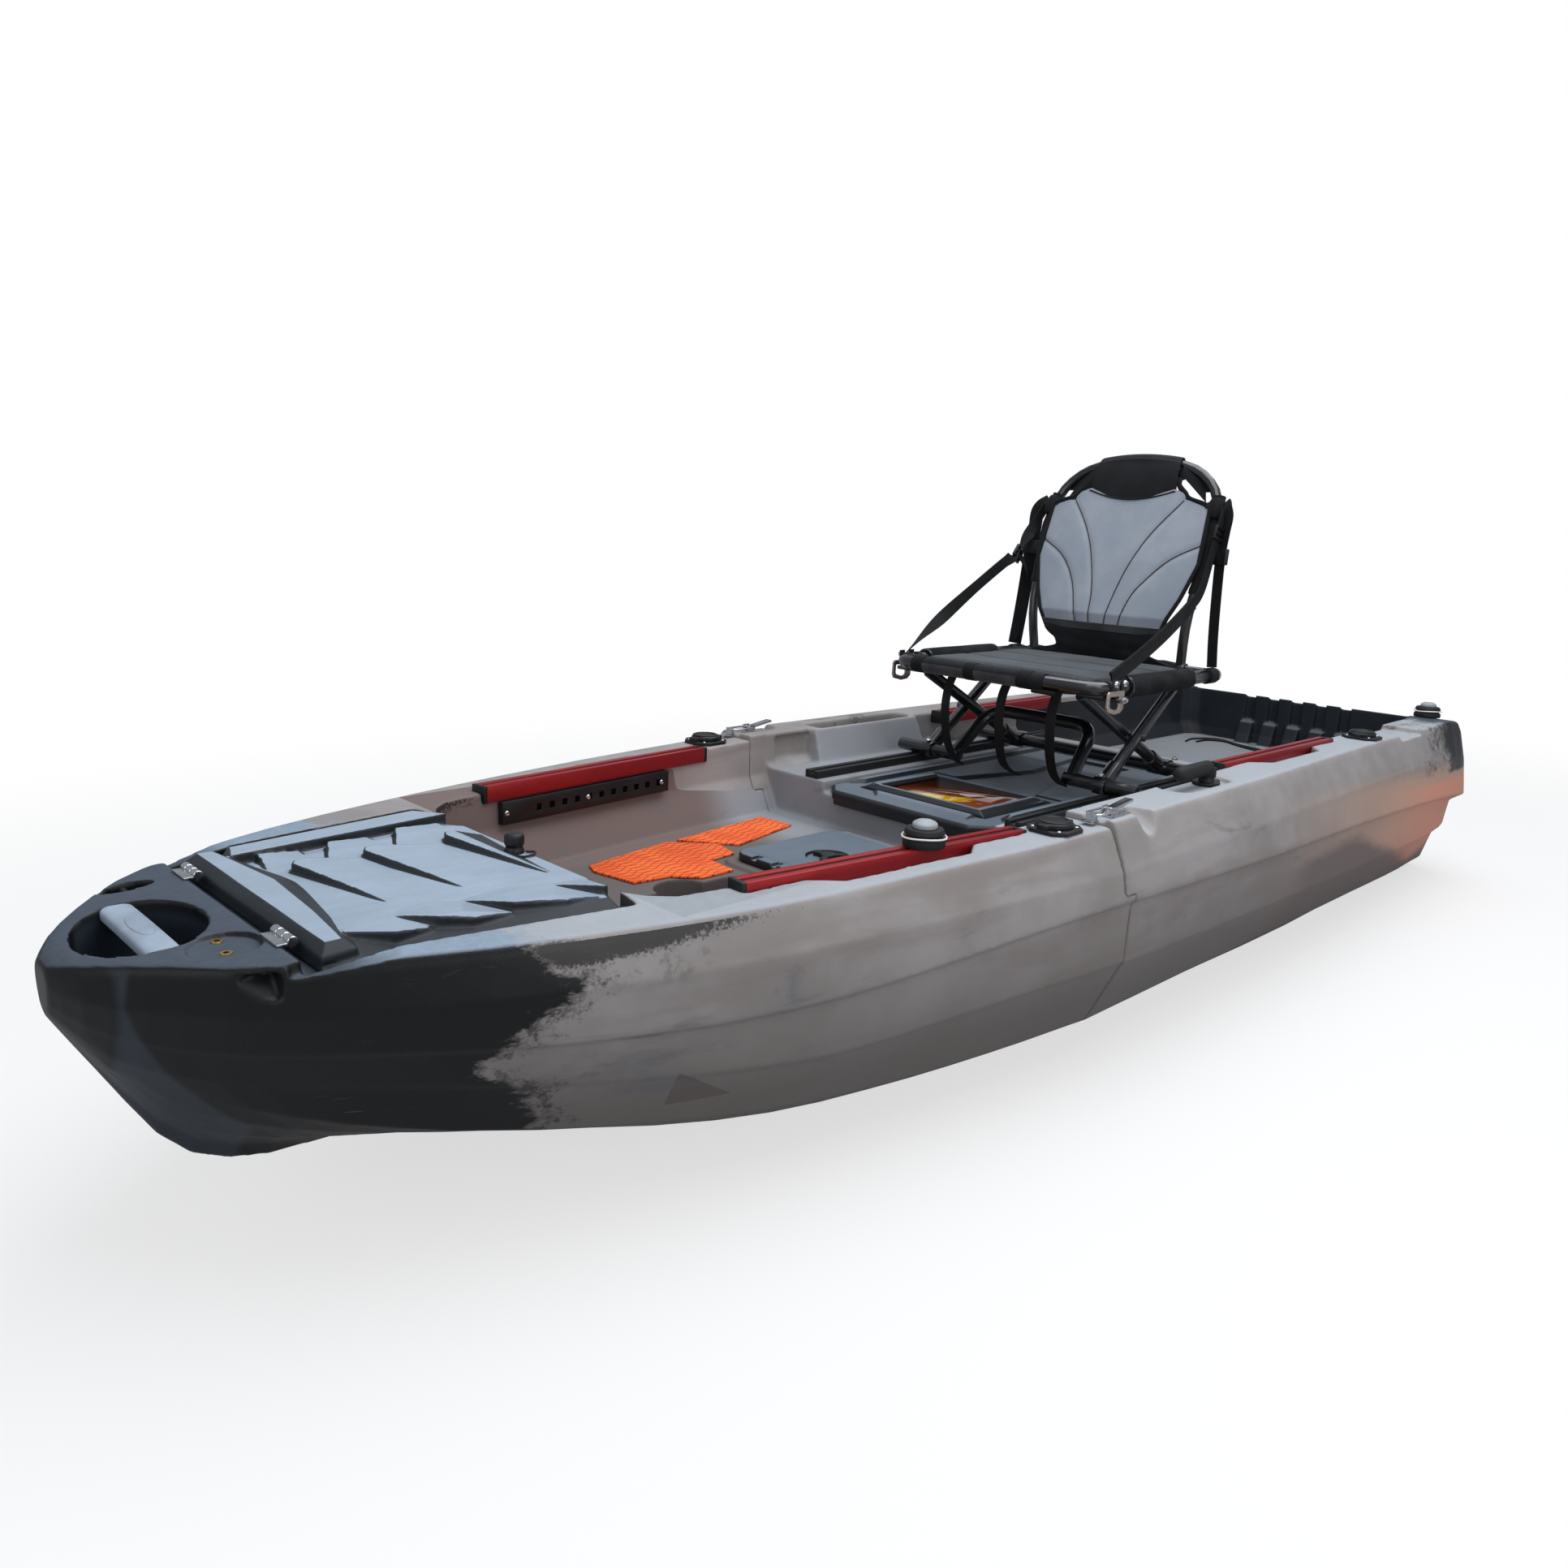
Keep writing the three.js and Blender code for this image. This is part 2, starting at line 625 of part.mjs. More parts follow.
// The deck that carries the seat, between its side walls.
function seatDeckWell(grow) {
  const section = (x) => {
    const wall = innerWallY(x) + grow;
    return [
      [0, SEAT_DECK - grow],
      [wall - 8, SEAT_DECK - grow],
      [wall, SEAT_DECK + 8],
      [wall + 2, CUT_TOP],
    ];
  };
  return loftAlong(evenly(SEAT_DECK_REAR - 1, SEAM_X + SEAM_STEP + 10, 6), section);
}

// The open tank well between the seat deck and the transom.
function tankWell(grow) {
  const rear = TANK_REAR - grow;
  const section = (x) => {
    const corner = TANK_CORNER * Math.max(0, 1 - (x - rear) / TANK_CORNER) ** 2;
    const wall = innerWallY(x) - corner + grow;
    return [
      [0, TANK_FLOOR - grow],
      [wall - 24, TANK_FLOOR - grow],
      [wall - 4, TANK_FLOOR + 40],
      [wall, CUT_TOP],
    ];
  };
  const stations = [rear, rear + TANK_CORNER / 3, ...evenly(rear + TANK_CORNER, SEAT_DECK_REAR + grow, 6)];
  return loftAlong(stations, section);
}

// The strip of the gunwale's inner edge where a gear rail is let in.
function railSeat(rail, side, grow) {
  const clear = FIT_GAP + grow;
  const endClear = RAIL_END_CLEAR + grow;
  const half = RAIL_WIDTH / 2 + RAIL_SIDE_CLEAR + grow;
  const [[rearX, rearY], [frontX, frontY]] = [rail.rear, rail.front];
  const outline = [
    [rearX - endClear, side * (rearY - RAIL_WIDTH)],
    [frontX + endClear, side * (frontY - RAIL_WIDTH)],
    [frontX + endClear, side * (frontY + half)],
    [rearX - endClear, side * (rearY + half)],
  ];
  const ordered = side > 0 ? outline : outline.reverse();
  return slab(flatShape(ordered), rail.top - RAIL_HEIGHT - clear, CUT_TOP);
}

// The dip in the gunwale beside the middle of a rail.
function railPocket(rail, side, grow) {
  const [[rearX, rearY], [frontX, frontY]] = [rail.rear, rail.front];
  const length = frontX - rearX;
  const at = (share) => rearX + length * share;
  const inner = (share) => rearY + (frontY - rearY) * share;
  const outline = [[0.22, 0], [0.82, 0], [0.74, RAIL_POCKET_WIDTH], [0.3, RAIL_POCKET_WIDTH]].map(
    ([share, out]) => [at(share), side * (inner(share) + out + RAIL_WIDTH / 2 + grow)],
  );
  const ordered = side > 0 ? outline : outline.reverse();
  return slab(flatShape(ordered), rail.top - RAIL_POCKET_DEPTH - grow, CUT_TOP);
}

function socketY(x) {
  return gunwaleY(x) - SOCKET_INSET;
}

function socketTop(x) {
  return Math.max(gunwaleZ(x - SOCKET_FLANGE), gunwaleZ(x + SOCKET_FLANGE)) + FIT_GAP;
}

function lidOutline(grow, frontGrow = grow) {
  const half = LID_FRONT_HALF + grow;
  const rearHalf = LID_REAR_HALF + grow;
  return [
    [LID_REAR + LID_REAR_SWEEP - grow, -rearHalf],
    [LID_FRONT + frontGrow, -half],
    [LID_FRONT + frontGrow, half],
    [LID_REAR + LID_REAR_SWEEP - grow, rearHalf],
    [LID_REAR - grow, rearHalf * 0.6],
    [LID_REAR - grow, -rearHalf * 0.6],
  ];
}

// A flat face of points at one height, for a convex solid.
const atHeight = (points, z) => points.map(([x, y]) => [x, y, z]);

function onSide(points, side) {
  const placed = points.map(([x, y]) => [x, side * y]);
  return side > 0 ? placed : placed.reverse();
}

// The finger scoop in the hull's side under the rear corner of the bow deck.
function deckScoop(side, grow) {
  const { front, rear, inner, top, bottom } = DECK_SCOOP;
  const outer = inner + 90;
  return convex([
    [front + grow, side * (inner - grow), top + grow], [rear - grow, side * (inner - grow), top + 2 + grow],
    [front + 6 + grow, side * outer, top + grow], [rear - 6 - grow, side * outer, top + 2 + grow],
    [front - 10, side * (inner + 20 - grow), bottom - grow],
    [rear + 2, side * (inner + 24 - grow), bottom - grow],
    [front - 2, side * outer, bottom - grow], [rear - 4, side * outer, bottom - grow],
  ]);
}

// The gunwale beside the lid starts lower than the deck and rises towards the stern.
function gunwaleDip(side, grow) {
  const { front, rear, inner, depth } = DECK_DIP;
  const level = gunwaleZ(front);
  return convex([inner - grow, inner + 150].flatMap((y) => [
    [front + grow, side * y, level - depth - grow], [front + 4 + grow, side * y, level + 40],
    [rear - grow, side * y, gunwaleZ(rear) - grow], [rear - grow, side * y, level + 40],
  ]));
}

// The shallow flat across the seam under a toggle latch.
function toggleRecess(side, grow) {
  const y = side * (gunwaleY(TOGGLE_X) - TOGGLE_INSET);
  const half = TOGGLE_WIDTH / 2 + 9 + grow;
  const floor = toggleFloor() - grow;
  const rear = TOGGLE_X - TOGGLE_LEVER_LENGTH - 2 - grow;
  return block(rear, TOGGLE_KEEPER_X + 16 + grow, y - half, y + half, floor, CUT_TOP);
}

function toggleFloor() {
  return gunwaleZ(TOGGLE_X) - 6;
}

// A rounded valley across the outer edge of the gunwale.
function gunwaleScoop(side, grow) {
  const edge = gunwaleY(SCOOP_X);
  const top = gunwaleZ(SCOOP_X);
  const from = [SCOOP_X, side * (edge - 34), top + 14];
  const to = [SCOOP_X, side * (edge + 40), top - 22];
  return rod(from, to, SCOOP_RADIUS + grow);
}

// The lower length of gunwale ahead of the stern corner block, sloped at both ends.
function sternStep(side, grow) {
  const floor = gunwaleZ(STERN_STEP.rear) - STERN_STEP.depth - grow;
  const inner = innerWallY(STERN_STEP.rear) - 20;
  const [rear, front, slope] = [STERN_STEP.rear - grow, STERN_STEP.front + grow, STERN_STEP.slope];
  const rise = slope * 3;
  return convex([inner, CUT_SIDE].flatMap((y) => [
    [rear, side * y, floor], [front, side * y, floor],
    [rear - slope, side * y, floor + rise], [front + slope, side * y, floor + rise],
  ]));
}

function sidePocket(grow) {
  const { rear, front, inner, outer, floor } = SIDE_POCKET;
  const outline = roundedRectangle(rear - grow, front + grow, -outer - grow, -inner + grow, 14);
  return slab(outline, floor - grow, CUT_TOP, 4);
}

// The block that stands in from the starboard wall round the side pocket.
function sideBlock() {
  const { rear, front, foot, top } = SIDE_BLOCK;
  const high = gunwaleZ(0) - 2;
  const back = SIDE_POCKET.outer - 10;
  return convex([
    [rear, -foot, SEAT_DECK - 3], [front, -foot, SEAT_DECK - 3], [rear, -back, SEAT_DECK - 3],
    [front, -back, SEAT_DECK - 3], [rear + 8, -top, high], [front - 8, -top, high],
    [rear + 8, -back, high], [front - 8, -back, high],
  ]);
}

// Upright grooves in the inner face of the transom, and the foot that slopes out below them.
function transomGrooves(grow) {
  const first = -((RIB_GROOVES - 1) / 2) * RIB_GROOVE_PITCH;
  const upper = Array.from({ length: RIB_GROOVES }, (_, i) => {
    const y = first + i * RIB_GROOVE_PITCH;
    const half = RIB_GROOVE_WIDTH / 2 + grow;
    return block(TANK_REAR - RIB_GROOVE_DEPTH - grow, TANK_REAR + 60, y - half, y + half,
      TANK_FLOOR + TRANSOM_FOOT_HEIGHT + 4 - grow, CUT_TOP);
  });
  return joined(upper);
}

function transomFoot() {
  const half = (RIB_GROOVES * RIB_GROOVE_PITCH) / 2;
  const high = TANK_FLOOR + TRANSOM_FOOT_HEIGHT;
  const foot = convex([half, -half].flatMap((y) => [
    [TANK_REAR - 3, y, TANK_FLOOR - 3], [TANK_REAR + TRANSOM_FOOT_REACH, y, TANK_FLOOR - 3],
    [TANK_REAR - 3, y, high], [TANK_REAR + 12, y, high],
  ]));
  const first = -(RIB_GROOVES / 2) * RIB_GROOVE_PITCH;
  const gaps = Array.from({ length: RIB_GROOVES + 1 }, (_, i) => {
    const y = first + i * RIB_GROOVE_PITCH;
    return block(TANK_REAR + 0.5, TANK_REAR + 90, y - RIB_GROOVE_WIDTH / 2, y + RIB_GROOVE_WIDTH / 2,
      TANK_FLOOR, CUT_TOP);
  });
  return foot.subtract(joined(gaps));
}

function frontWells(grow) {
  const bowDeck = gunwaleZ(HANDLE_X);
  const troughHalf = TROUGH_HALF + grow;
  const trough = roundedRectangle(TROUGH_REAR - grow, TROUGH_FRONT + grow, -troughHalf, troughHalf, TROUGH_CORNER);
  const wells = [
    cockpitWell(grow),
    slab(ellipse(HANDLE_X, 0, HANDLE_WELL_X + grow, HANDLE_WELL_Y + grow),
      bowDeck - HANDLE_WELL_DEPTH - grow, CUT_TOP, 12),
    slab(ellipse(TIE_SLOT_X, -TIE_SLOT_Y, TIE_SLOT_LENGTH / 2 + grow, TIE_SLOT_WIDTH / 2 + grow),
      bowDeck - TIE_SLOT_DEPTH - grow, CUT_TOP, 6),
    post(DECK_PAD_X, DECK_PAD_Y, DECK_PAD_RADIUS + grow, bowDeck - DECK_PAD_DEPTH - grow, CUT_TOP),
    slab(flatShape(lidOutline(LID_CLEAR + grow, LID_HINGE_GAP + grow)), LID_SEAT - grow, CUT_TOP),
    post(TROUGH_SCOOP_X, TROUGH_SCOOP_RADIUS, TROUGH_SCOOP_RADIUS + grow, TROUGH_FLOOR - grow, CUT_TOP),
    post(TROUGH_SCOOP_X, -TROUGH_SCOOP_RADIUS, TROUGH_SCOOP_RADIUS + grow, TROUGH_FLOOR - grow, CUT_TOP),
    slab(trough, TROUGH_FLOOR - grow, CUT_TOP, 4),
  ];
  for (const side of [1, -1]) {
    wells.push(railSeat(FRONT_RAIL, side, grow));
    wells.push(railPocket(FRONT_RAIL, side, grow));
    wells.push(deckScoop(side, grow));
    wells.push(gunwaleDip(side, grow));
    wells.push(toggleRecess(side, grow));
  }
  return joined(wells);
}

function frontHull() {
  const lower = block(SEAM_X, NOSE_X + 10, -CUT_SIDE, CUT_SIDE, CUT_BOTTOM, SEAM_STEP_Z);
  const upper = block(SEAM_X + SEAM_STEP, NOSE_X + 10, -CUT_SIDE, CUT_SIDE, SEAM_STEP_Z - 1, CUT_TOP);
  const module = lower.add(upper);
  const nose = [280, 235, 190, 150, 115, 85, 60, 38, 20, 8, 0].map((aft) => NOSE_X - aft);
  const stations = [SEAM_X, ...evenly(SEAM_X + 60, NOSE_X - 330, 12), ...nose];
  const skin = loftAlong(stations, (x) => hullSection(frontLines, x)).intersect(module);
  const hollowRear = SEAM_X + SEAM_STEP + HULL_WALL;
  const hollowStations = [...evenly(hollowRear, NOSE_X - 330, 9), NOSE_X - 210, NOSE_X - 130, NOSE_X - 72];
  const hollow = loftAlong(hollowStations, (x) => hollowSection(frontLines, x))
    .subtract(frontWells(HULL_WALL));
  const plinthShape = roundedRectangle(SEAM_X - 40, HATCH_FRONT + PLINTH_MARGIN, -HATCH_HALF - PLINTH_MARGIN,
    HATCH_HALF + PLINTH_MARGIN, 30);
  const plinth = slab(plinthShape, COCKPIT_FLOOR - 2, PLINTH_TOP, 4).intersect(module);
  const plinthHole = roundedRectangle(HATCH_REAR + HATCH_LEDGE, HATCH_FRONT - HATCH_LEDGE,
    -HATCH_HALF + HATCH_LEDGE, HATCH_HALF - HATCH_LEDGE, 16);
  let hull = skin.subtract(frontWells(0)).add(plinth).subtract(hollow);
  hull = hull.subtract(slab(flatShape(lidOutline(-LID_LEDGE)), LID_SEAT - HULL_WALL - 4, LID_SEAT + 5));
  hull = hull.subtract(slab(plinthHole, COCKPIT_FLOOR - HULL_WALL - 4, CUT_TOP, 4));
  for (const side of [1, -1]) {
    const y = side * socketY(FRONT_SOCKET_X);
    hull = hull.subtract(post(FRONT_SOCKET_X, y, SOCKET_OUTER + 0.6, gunwaleZ(FRONT_SOCKET_X) - 30, CUT_TOP));
  }
  return hull;
}

function rearWells(grow) {
  const wellHalf = WELL_HALF + grow;
  const storage = roundedRectangle(WELL_REAR - grow, WELL_FRONT + grow, -wellHalf, wellHalf, 20);
  const wall = innerWallY(WALL_RECESS.rear);
  const recess = block(WALL_RECESS.rear - grow, WALL_RECESS.front + grow, -wall - WALL_RECESS.depth - grow,
    -wall + 30, WALL_RECESS.bottom - grow, WALL_RECESS.top + grow);
  const rudder = gunwaleY(RUDDER_X) - RUDDER_INSET;
  const rudderDish = roundedRectangle(RUDDER_X - 44 - grow, RUDDER_X + 128 + grow, rudder - 30 - grow,
    rudder + 30 + grow, 26);
  const wells = [
    cockpitWell(grow),
    seatDeckWell(grow),
    tankWell(grow),
    slab(storage, WELL_FLOOR - grow, CUT_TOP, 4),
    recess,
    slab(rudderDish, rudderFloor() - grow, CUT_TOP, 4),
    transomGrooves(grow),
  ];
  wells.push(block(CENTRE_LID_REAR - grow - FIT_GAP, SEAM_X + 60, -CENTRE_LID_HALF - 3 - grow,
    CENTRE_LID_HALF + 3 + grow, CENTRE_RECESS - grow, CUT_TOP));
  for (const side of [1, -1]) {
    wells.push(railSeat(REAR_RAIL, side, grow));
    wells.push(railPocket(REAR_RAIL, side, grow));
    wells.push(toggleRecess(side, grow));
    wells.push(gunwaleScoop(side, grow));
    wells.push(sternStep(side, grow));
  }
  return joined(wells);
}

function rudderFloor() {
  return gunwaleZ(RUDDER_X) - 8;
}

function rearHull() {
  const front = SEAM_X - MODULE_GAP;
  const lower = block(STERN_X - 10, front, -CUT_SIDE, CUT_SIDE, CUT_BOTTOM, SEAM_STEP_Z + 2 * MODULE_GAP);
  const upperFoot = SEAM_STEP_Z + MODULE_GAP;
  const upper = block(STERN_X - 10, front + SEAM_STEP, -CUT_SIDE, CUT_SIDE, upperFoot, CUT_TOP);
  const stern = [0, 2, 22, 45, 75, 109, 170, 250, 350, 470, 620, 800, 1000, 1200, 1400, 1600];
  const stations = [...stern.map((forward) => STERN_X + forward), SEAM_X + SEAM_STEP + 4];
  const skin = loftAlong(stations, (x) => hullSection(rearLines, x)).intersect(lower.add(upper));
  const hollowStations = [14, 60, 120, 220, 350, 600, 900, 1300].map((forward) => STERN_X + forward);
  hollowStations.push(front - HULL_WALL);
  const pocket = sidePocket(HULL_WALL);
  const hollow = loftAlong(hollowStations, (x) => hollowSection(rearLines, x)).subtract(rearWells(HULL_WALL));
  const solidBlock = sideBlock();
  let hull = skin.subtract(rearWells(0)).add(solidBlock).add(transomFoot().intersect(skin));
  hull = hull.subtract(hollow.subtract(pocket)).subtract(sidePocket(0));
  const access = roundedRectangle(ACCESS_REAR, ACCESS_FRONT, -ACCESS_HALF, ACCESS_HALF, 30);
  hull = hull.subtract(slab(access, CENTRE_RECESS - HULL_WALL - 4, CUT_TOP, 4));
  for (const side of [1, -1]) {
    const y = side * socketY(REAR_SOCKET_X);
    hull = hull.subtract(post(REAR_SOCKET_X, y, SOCKET_OUTER + 0.6, gunwaleZ(REAR_SOCKET_X) - 30, CUT_TOP));
  }
  return hull;
}


// Lids and deck fittings
function bowHandle() {
  const top = gunwaleZ(HANDLE_X) - HANDLE_DROP;
  const half = HANDLE_WIDTH / 2;
  const edge = HANDLE_THICK * 0.3;
  const profile = [
    [-half, -HANDLE_THICK + edge], [-half + edge, -HANDLE_THICK], [half - edge, -HANDLE_THICK],
    [half, -HANDLE_THICK + edge], [half, -edge], [half - edge, 0], [-half + edge, 0], [-half, -edge],
  ];
  const beam = bar([HANDLE_X, -HANDLE_WELL_Y, top], [HANDLE_X, HANDLE_WELL_Y, top], profile);
  const mouth = ellipse(HANDLE_X, 0, HANDLE_WELL_X - FIT_GAP, HANDLE_WELL_Y - FIT_GAP);
  return beam.intersect(slab(mouth, top - HANDLE_THICK - 1, top + 1, 12));
}

function bowTieBar() {
  const z = gunwaleZ(HANDLE_X) - TIE_BAR_RADIUS - 3;
  const end = TIE_SLOT_WIDTH / 2 - TIE_BAR_CLEAR;
  return rod([TIE_SLOT_X, -TIE_SLOT_Y - end, z], [TIE_SLOT_X, -TIE_SLOT_Y + end, z], TIE_BAR_RADIUS);
}

// A raised wedge on a lid: its outline, with the height of its top over each point.
function wedge(points, base) {
  return convex(points.flatMap(([x, y, rise]) => [[x, y, base - 2], [x, y, base + rise]]));
}

function frontLid() {
  const bottom = LID_SEAT + FIT_GAP;
  const top = LID_SEAT + LID_THICK;
  const plate = convex([
    ...atHeight(lidOutline(-2), bottom), ...atHeight(lidOutline(0), bottom + 5),
    ...atHeight(lidOutline(0), top - 6), ...atHeight(lidOutline(-7), top),
  ]);
  const low = 1.2;
  const frontBar = convex([
    [LID_FRONT - 4, -LID_FRONT_HALF + 12, top - 2], [LID_FRONT - 4, LID_FRONT_HALF - 12, top - 2],
    [LID_FRONT - 9, -LID_FRONT_HALF + 22, top + LID_RIB], [LID_FRONT - 9, LID_FRONT_HALF - 22, top + LID_RIB],
    [LID_FRONT - 22, -LID_FRONT_HALF + 30, top + LID_RIB],
    [LID_FRONT - 22, LID_FRONT_HALF - 30, top + LID_RIB],
    [LID_FRONT - 46, -LID_FRONT_HALF + 60, top - 2], [LID_FRONT - 46, LID_FRONT_HALF - 60, top - 2],
    [LID_FRONT - 30, -LID_FRONT_HALF + 16, top - 2], [LID_FRONT - 30, LID_FRONT_HALF - 16, top - 2],
  ]);
  const sideRail = wedge([
    [LID_FRONT - 55, -202, LID_RIB], [LID_REAR + 2, -228, LID_RIB], [LID_REAR + 26, -250, 3],
    [LID_FRONT - 50, -212, 3],
  ], top);
  const portRise = LID_RIB * 0.8;
  const scallops = LID_SCALLOPS.map(([front, rear]) => wedge([
    [front, 106, portRise], [rear + 6, 112, portRise], [rear, 196, portRise], [rear + 12, 214, low],
    [front - 6, 170, low],
  ], top));
  const centre = LID_WEDGES.map(([front, side]) => wedge([
    [front, side, LID_RIB], [front - 24, side + 4, LID_RIB], [front - 50, side + 168, low],
    [front - 30, side + 6, low], [front + 6, side + 8, 3],
  ], top));
  const edge = slab(flatShape(lidOutline(0)), bottom - 1, CUT_TOP);
  const knobSeat = post(LID_REAR + KNOB_INSET, 0, KNOB_RADIUS + 1, top, CUT_TOP);
  return joined([plate, frontBar, sideRail, ...scallops, ...centre]).intersect(edge).subtract(knobSeat);
}

function lidKnob() {
  const x = LID_REAR + KNOB_INSET;
  const base = LID_SEAT + LID_THICK + FIT_GAP;
  const profile = [
    [0, base], [KNOB_RADIUS, base], [KNOB_RADIUS, base + 5], [KNOB_RADIUS * 0.8, base + 9],
    [KNOB_RADIUS, base + 13], [KNOB_RADIUS, base + KNOB_HEIGHT - 3], [KNOB_RADIUS - 3, base + KNOB_HEIGHT],
    [0, base + KNOB_HEIGHT],
  ];
  return turned(profile, x, 0, 14);
}

function frontLidHinge(side) {
  const x = LID_FRONT + LID_HINGE_GAP / 2;
  const y = side * LID_HINGE_Y;
  const half = LID_HINGE_LENGTH / 2;
  const deck = gunwaleZ(LID_FRONT + LID_HINGE_GAP) + FIT_GAP;
  const barrel = rod([x, y - half, LID_HINGE_Z], [x, y + half, LID_HINGE_Z], LID_HINGE_RADIUS, 10);
  const leaf = block(x, LID_FRONT + LID_HINGE_GAP + 7, y - half, y + half, deck, deck + 2.5);
  return barrel.add(leaf);
}

// Floor hatch and mats
function floorHatch() {
  const bottom = PLINTH_TOP + FIT_GAP;
  const top = bottom + HATCH_THICK;
  const plate = (grow, radius) => roundedRectangle(HATCH_REAR - grow, HATCH_FRONT + grow, -HATCH_HALF - grow,
    HATCH_HALF + grow, radius).getPoints(3).map((point) => [point.x, point.y]);
  const body = convex([
    ...atHeight(plate(-1, 27), bottom), ...atHeight(plate(0, 28), bottom + 5),
    ...atHeight(plate(0, 28), top - 3), ...atHeight(plate(-3, 25), top),
  ]);
  const dish = post(TWIST_X, TWIST_Y, LATCH_ARM + 4, top - TWIST_DISH, top + 5, 24);
  const notches = [-1, 0, 1].map((step) => {
    const y = step * HATCH_NOTCH_PITCH;
    return block(HATCH_FRONT - 20, HATCH_FRONT + 5, y - 6, y + 6, top - 5, top + 5);
  });
  const grooveHalf = HATCH_HALF - 14;
  const groove = block(HATCH_FRONT - 24, HATCH_FRONT - 21, -grooveHalf, grooveHalf, top - 3, top + 5);
  return body.subtract(joined([dish, groove, ...notches]));
}

function twistLatch() {
  const bottom = PLINTH_TOP + HATCH_THICK - TWIST_DISH + 2 * FIT_GAP;
  const top = bottom + TWIST_THICK;
  const hub = post(TWIST_X, TWIST_Y, 11, bottom, top, 16);
  const arms = [0, 1, 2].map((arm) => {
    const angle = (2 * Math.PI * arm) / 3 + 0.5;
    const reach = LATCH_ARM - 7;
    const tip = [TWIST_X + reach * Math.cos(angle), TWIST_Y + reach * Math.sin(angle)];
    const lobe = post(tip[0], tip[1], 6.5, bottom, top, 12);
    const middle = (bottom + top) / 2;
    const half = (top - bottom) / 2;
    const section = [[-5, -half], [5, -half], [5, half], [-5, half]];
    return lobe.add(bar([TWIST_X, TWIST_Y, middle], [...tip, middle], section));
  });
  return joined([hub, ...arms]);
}

function floorMat(points, side) {
  return slab(flatShape(onSide(points, -side)), COCKPIT_FLOOR + FIT_GAP, COCKPIT_FLOOR + FIT_GAP + MAT_THICK);
}

// Centre hatch: its frame, the flap in it and the window in the flap
function centreLid() {
  const bottom = CENTRE_RECESS + FIT_GAP;
  const top = bottom + CENTRE_LID_THICK;
  const half = CENTRE_LID_HALF;
  const cut = 38;
  const outline = (grow) => [
    [CENTRE_LID_REAR - grow, -half - grow], [CENTRE_LID_FRONT - cut, -half - grow],
    [CENTRE_LID_FRONT + grow, -half + cut], [CENTRE_LID_FRONT + grow, half - cut],
    [CENTRE_LID_FRONT - cut, half + grow], [CENTRE_LID_REAR - grow, half + grow],
  ];
  const plate = convex([
    ...atHeight(outline(0), bottom), ...atHeight(outline(0), top - 5), ...atHeight(outline(-6), top),
  ]);
  const front = CENTRE_LID_FRONT - 2;
  const skirt = block(front - 12, front, -half + cut, half - cut, bottom - 12, bottom + 2);
  const openHalf = FLAP_HALF + 3;
  const opening = block(FLAP_HINGE_X + 4, FLAP_FRONT + 3, -openHalf, openHalf, bottom - 1, top + 30);
  const sunk = block(CENTRE_LID_REAR + 30, FLAP_HINGE_X - 16, -half + 46, half - 46, top - 7, top + 30);
  const ribs = [-1, 1].map((side) => convex([
    [CENTRE_LID_REAR + 14, side * (half - 10), top - 1], [FLAP_FRONT + 10, side * (half - 10), top - 1],
    [CENTRE_LID_REAR + 14, side * (half - 34), top - 1], [FLAP_FRONT - 20, side * (half - 34), top - 1],
    [CENTRE_LID_REAR + 18, side * (half - 15), top + CENTRE_RIB],
    [FLAP_FRONT - 30, side * (half - 15), top + CENTRE_RIB],
    [CENTRE_LID_REAR + 18, side * (half - 29), top + CENTRE_RIB],
    [FLAP_FRONT - 40, side * (half - 29), top + CENTRE_RIB],
  ]));
  const deck = block(0, SEAT_DECK_FRONT + 1, -CUT_SIDE, CUT_SIDE, 0, CUT_TOP);
  return joined([plate, skirt.subtract(deck), ...ribs]).subtract(opening).subtract(sunk);
}

function windowFlap() {
  const bottom = CENTRE_RECESS + FIT_GAP;
  const top = bottom + CENTRE_LID_THICK + 2;
  const points = (grow, side) => [
    [FLAP_HINGE_X + 6 - grow, -side - grow], [FLAP_FRONT + grow, -side - grow],
    [FLAP_FRONT + grow, side + grow], [FLAP_HINGE_X + 6 - grow, side + grow],
  ];
  const plate = convex([
    ...atHeight(points(0, FLAP_HALF), bottom), ...atHeight(points(0, FLAP_HALF), top - 4),
    ...atHeight(points(-5, FLAP_HALF), top),
  ]);
  const light = block(WINDOW_REAR, WINDOW_FRONT, -WINDOW_HALF, WINDOW_HALF, bottom - 1, top + 1);
  const seat = block(WINDOW_REAR - 8, WINDOW_FRONT + 8, -WINDOW_HALF - 8, WINDOW_HALF + 8, top - 8, top + 1);
  return plate.subtract(light).subtract(seat);
}

function amberWindow() {
  const bottom = CENTRE_RECESS + FIT_GAP + CENTRE_LID_THICK + 2 - 8 + FIT_GAP;
  const grow = 8 - FIT_GAP;
  return block(WINDOW_REAR - grow, WINDOW_FRONT + grow, -WINDOW_HALF - grow, WINDOW_HALF + grow, bottom,
    bottom + WINDOW_THICK);
}

// Rails and tracks
function gearRail(rail, side) {
  const half = RAIL_WIDTH / 2;
  const groove = RAIL_GROOVE / 2;
  const profile = [
    [-half, -RAIL_HEIGHT], [half, -RAIL_HEIGHT], [half, 0], [groove, 0], [groove, -RAIL_GROOVE_DEPTH],
    [-groove, -RAIL_GROOVE_DEPTH], [-groove, 0], [-half, 0],
  ];
  const [rear, front] = [rail.rear, rail.front].map(([x, y]) => [x, side * y, rail.top]);
  return bar(rear, front, profile);
}

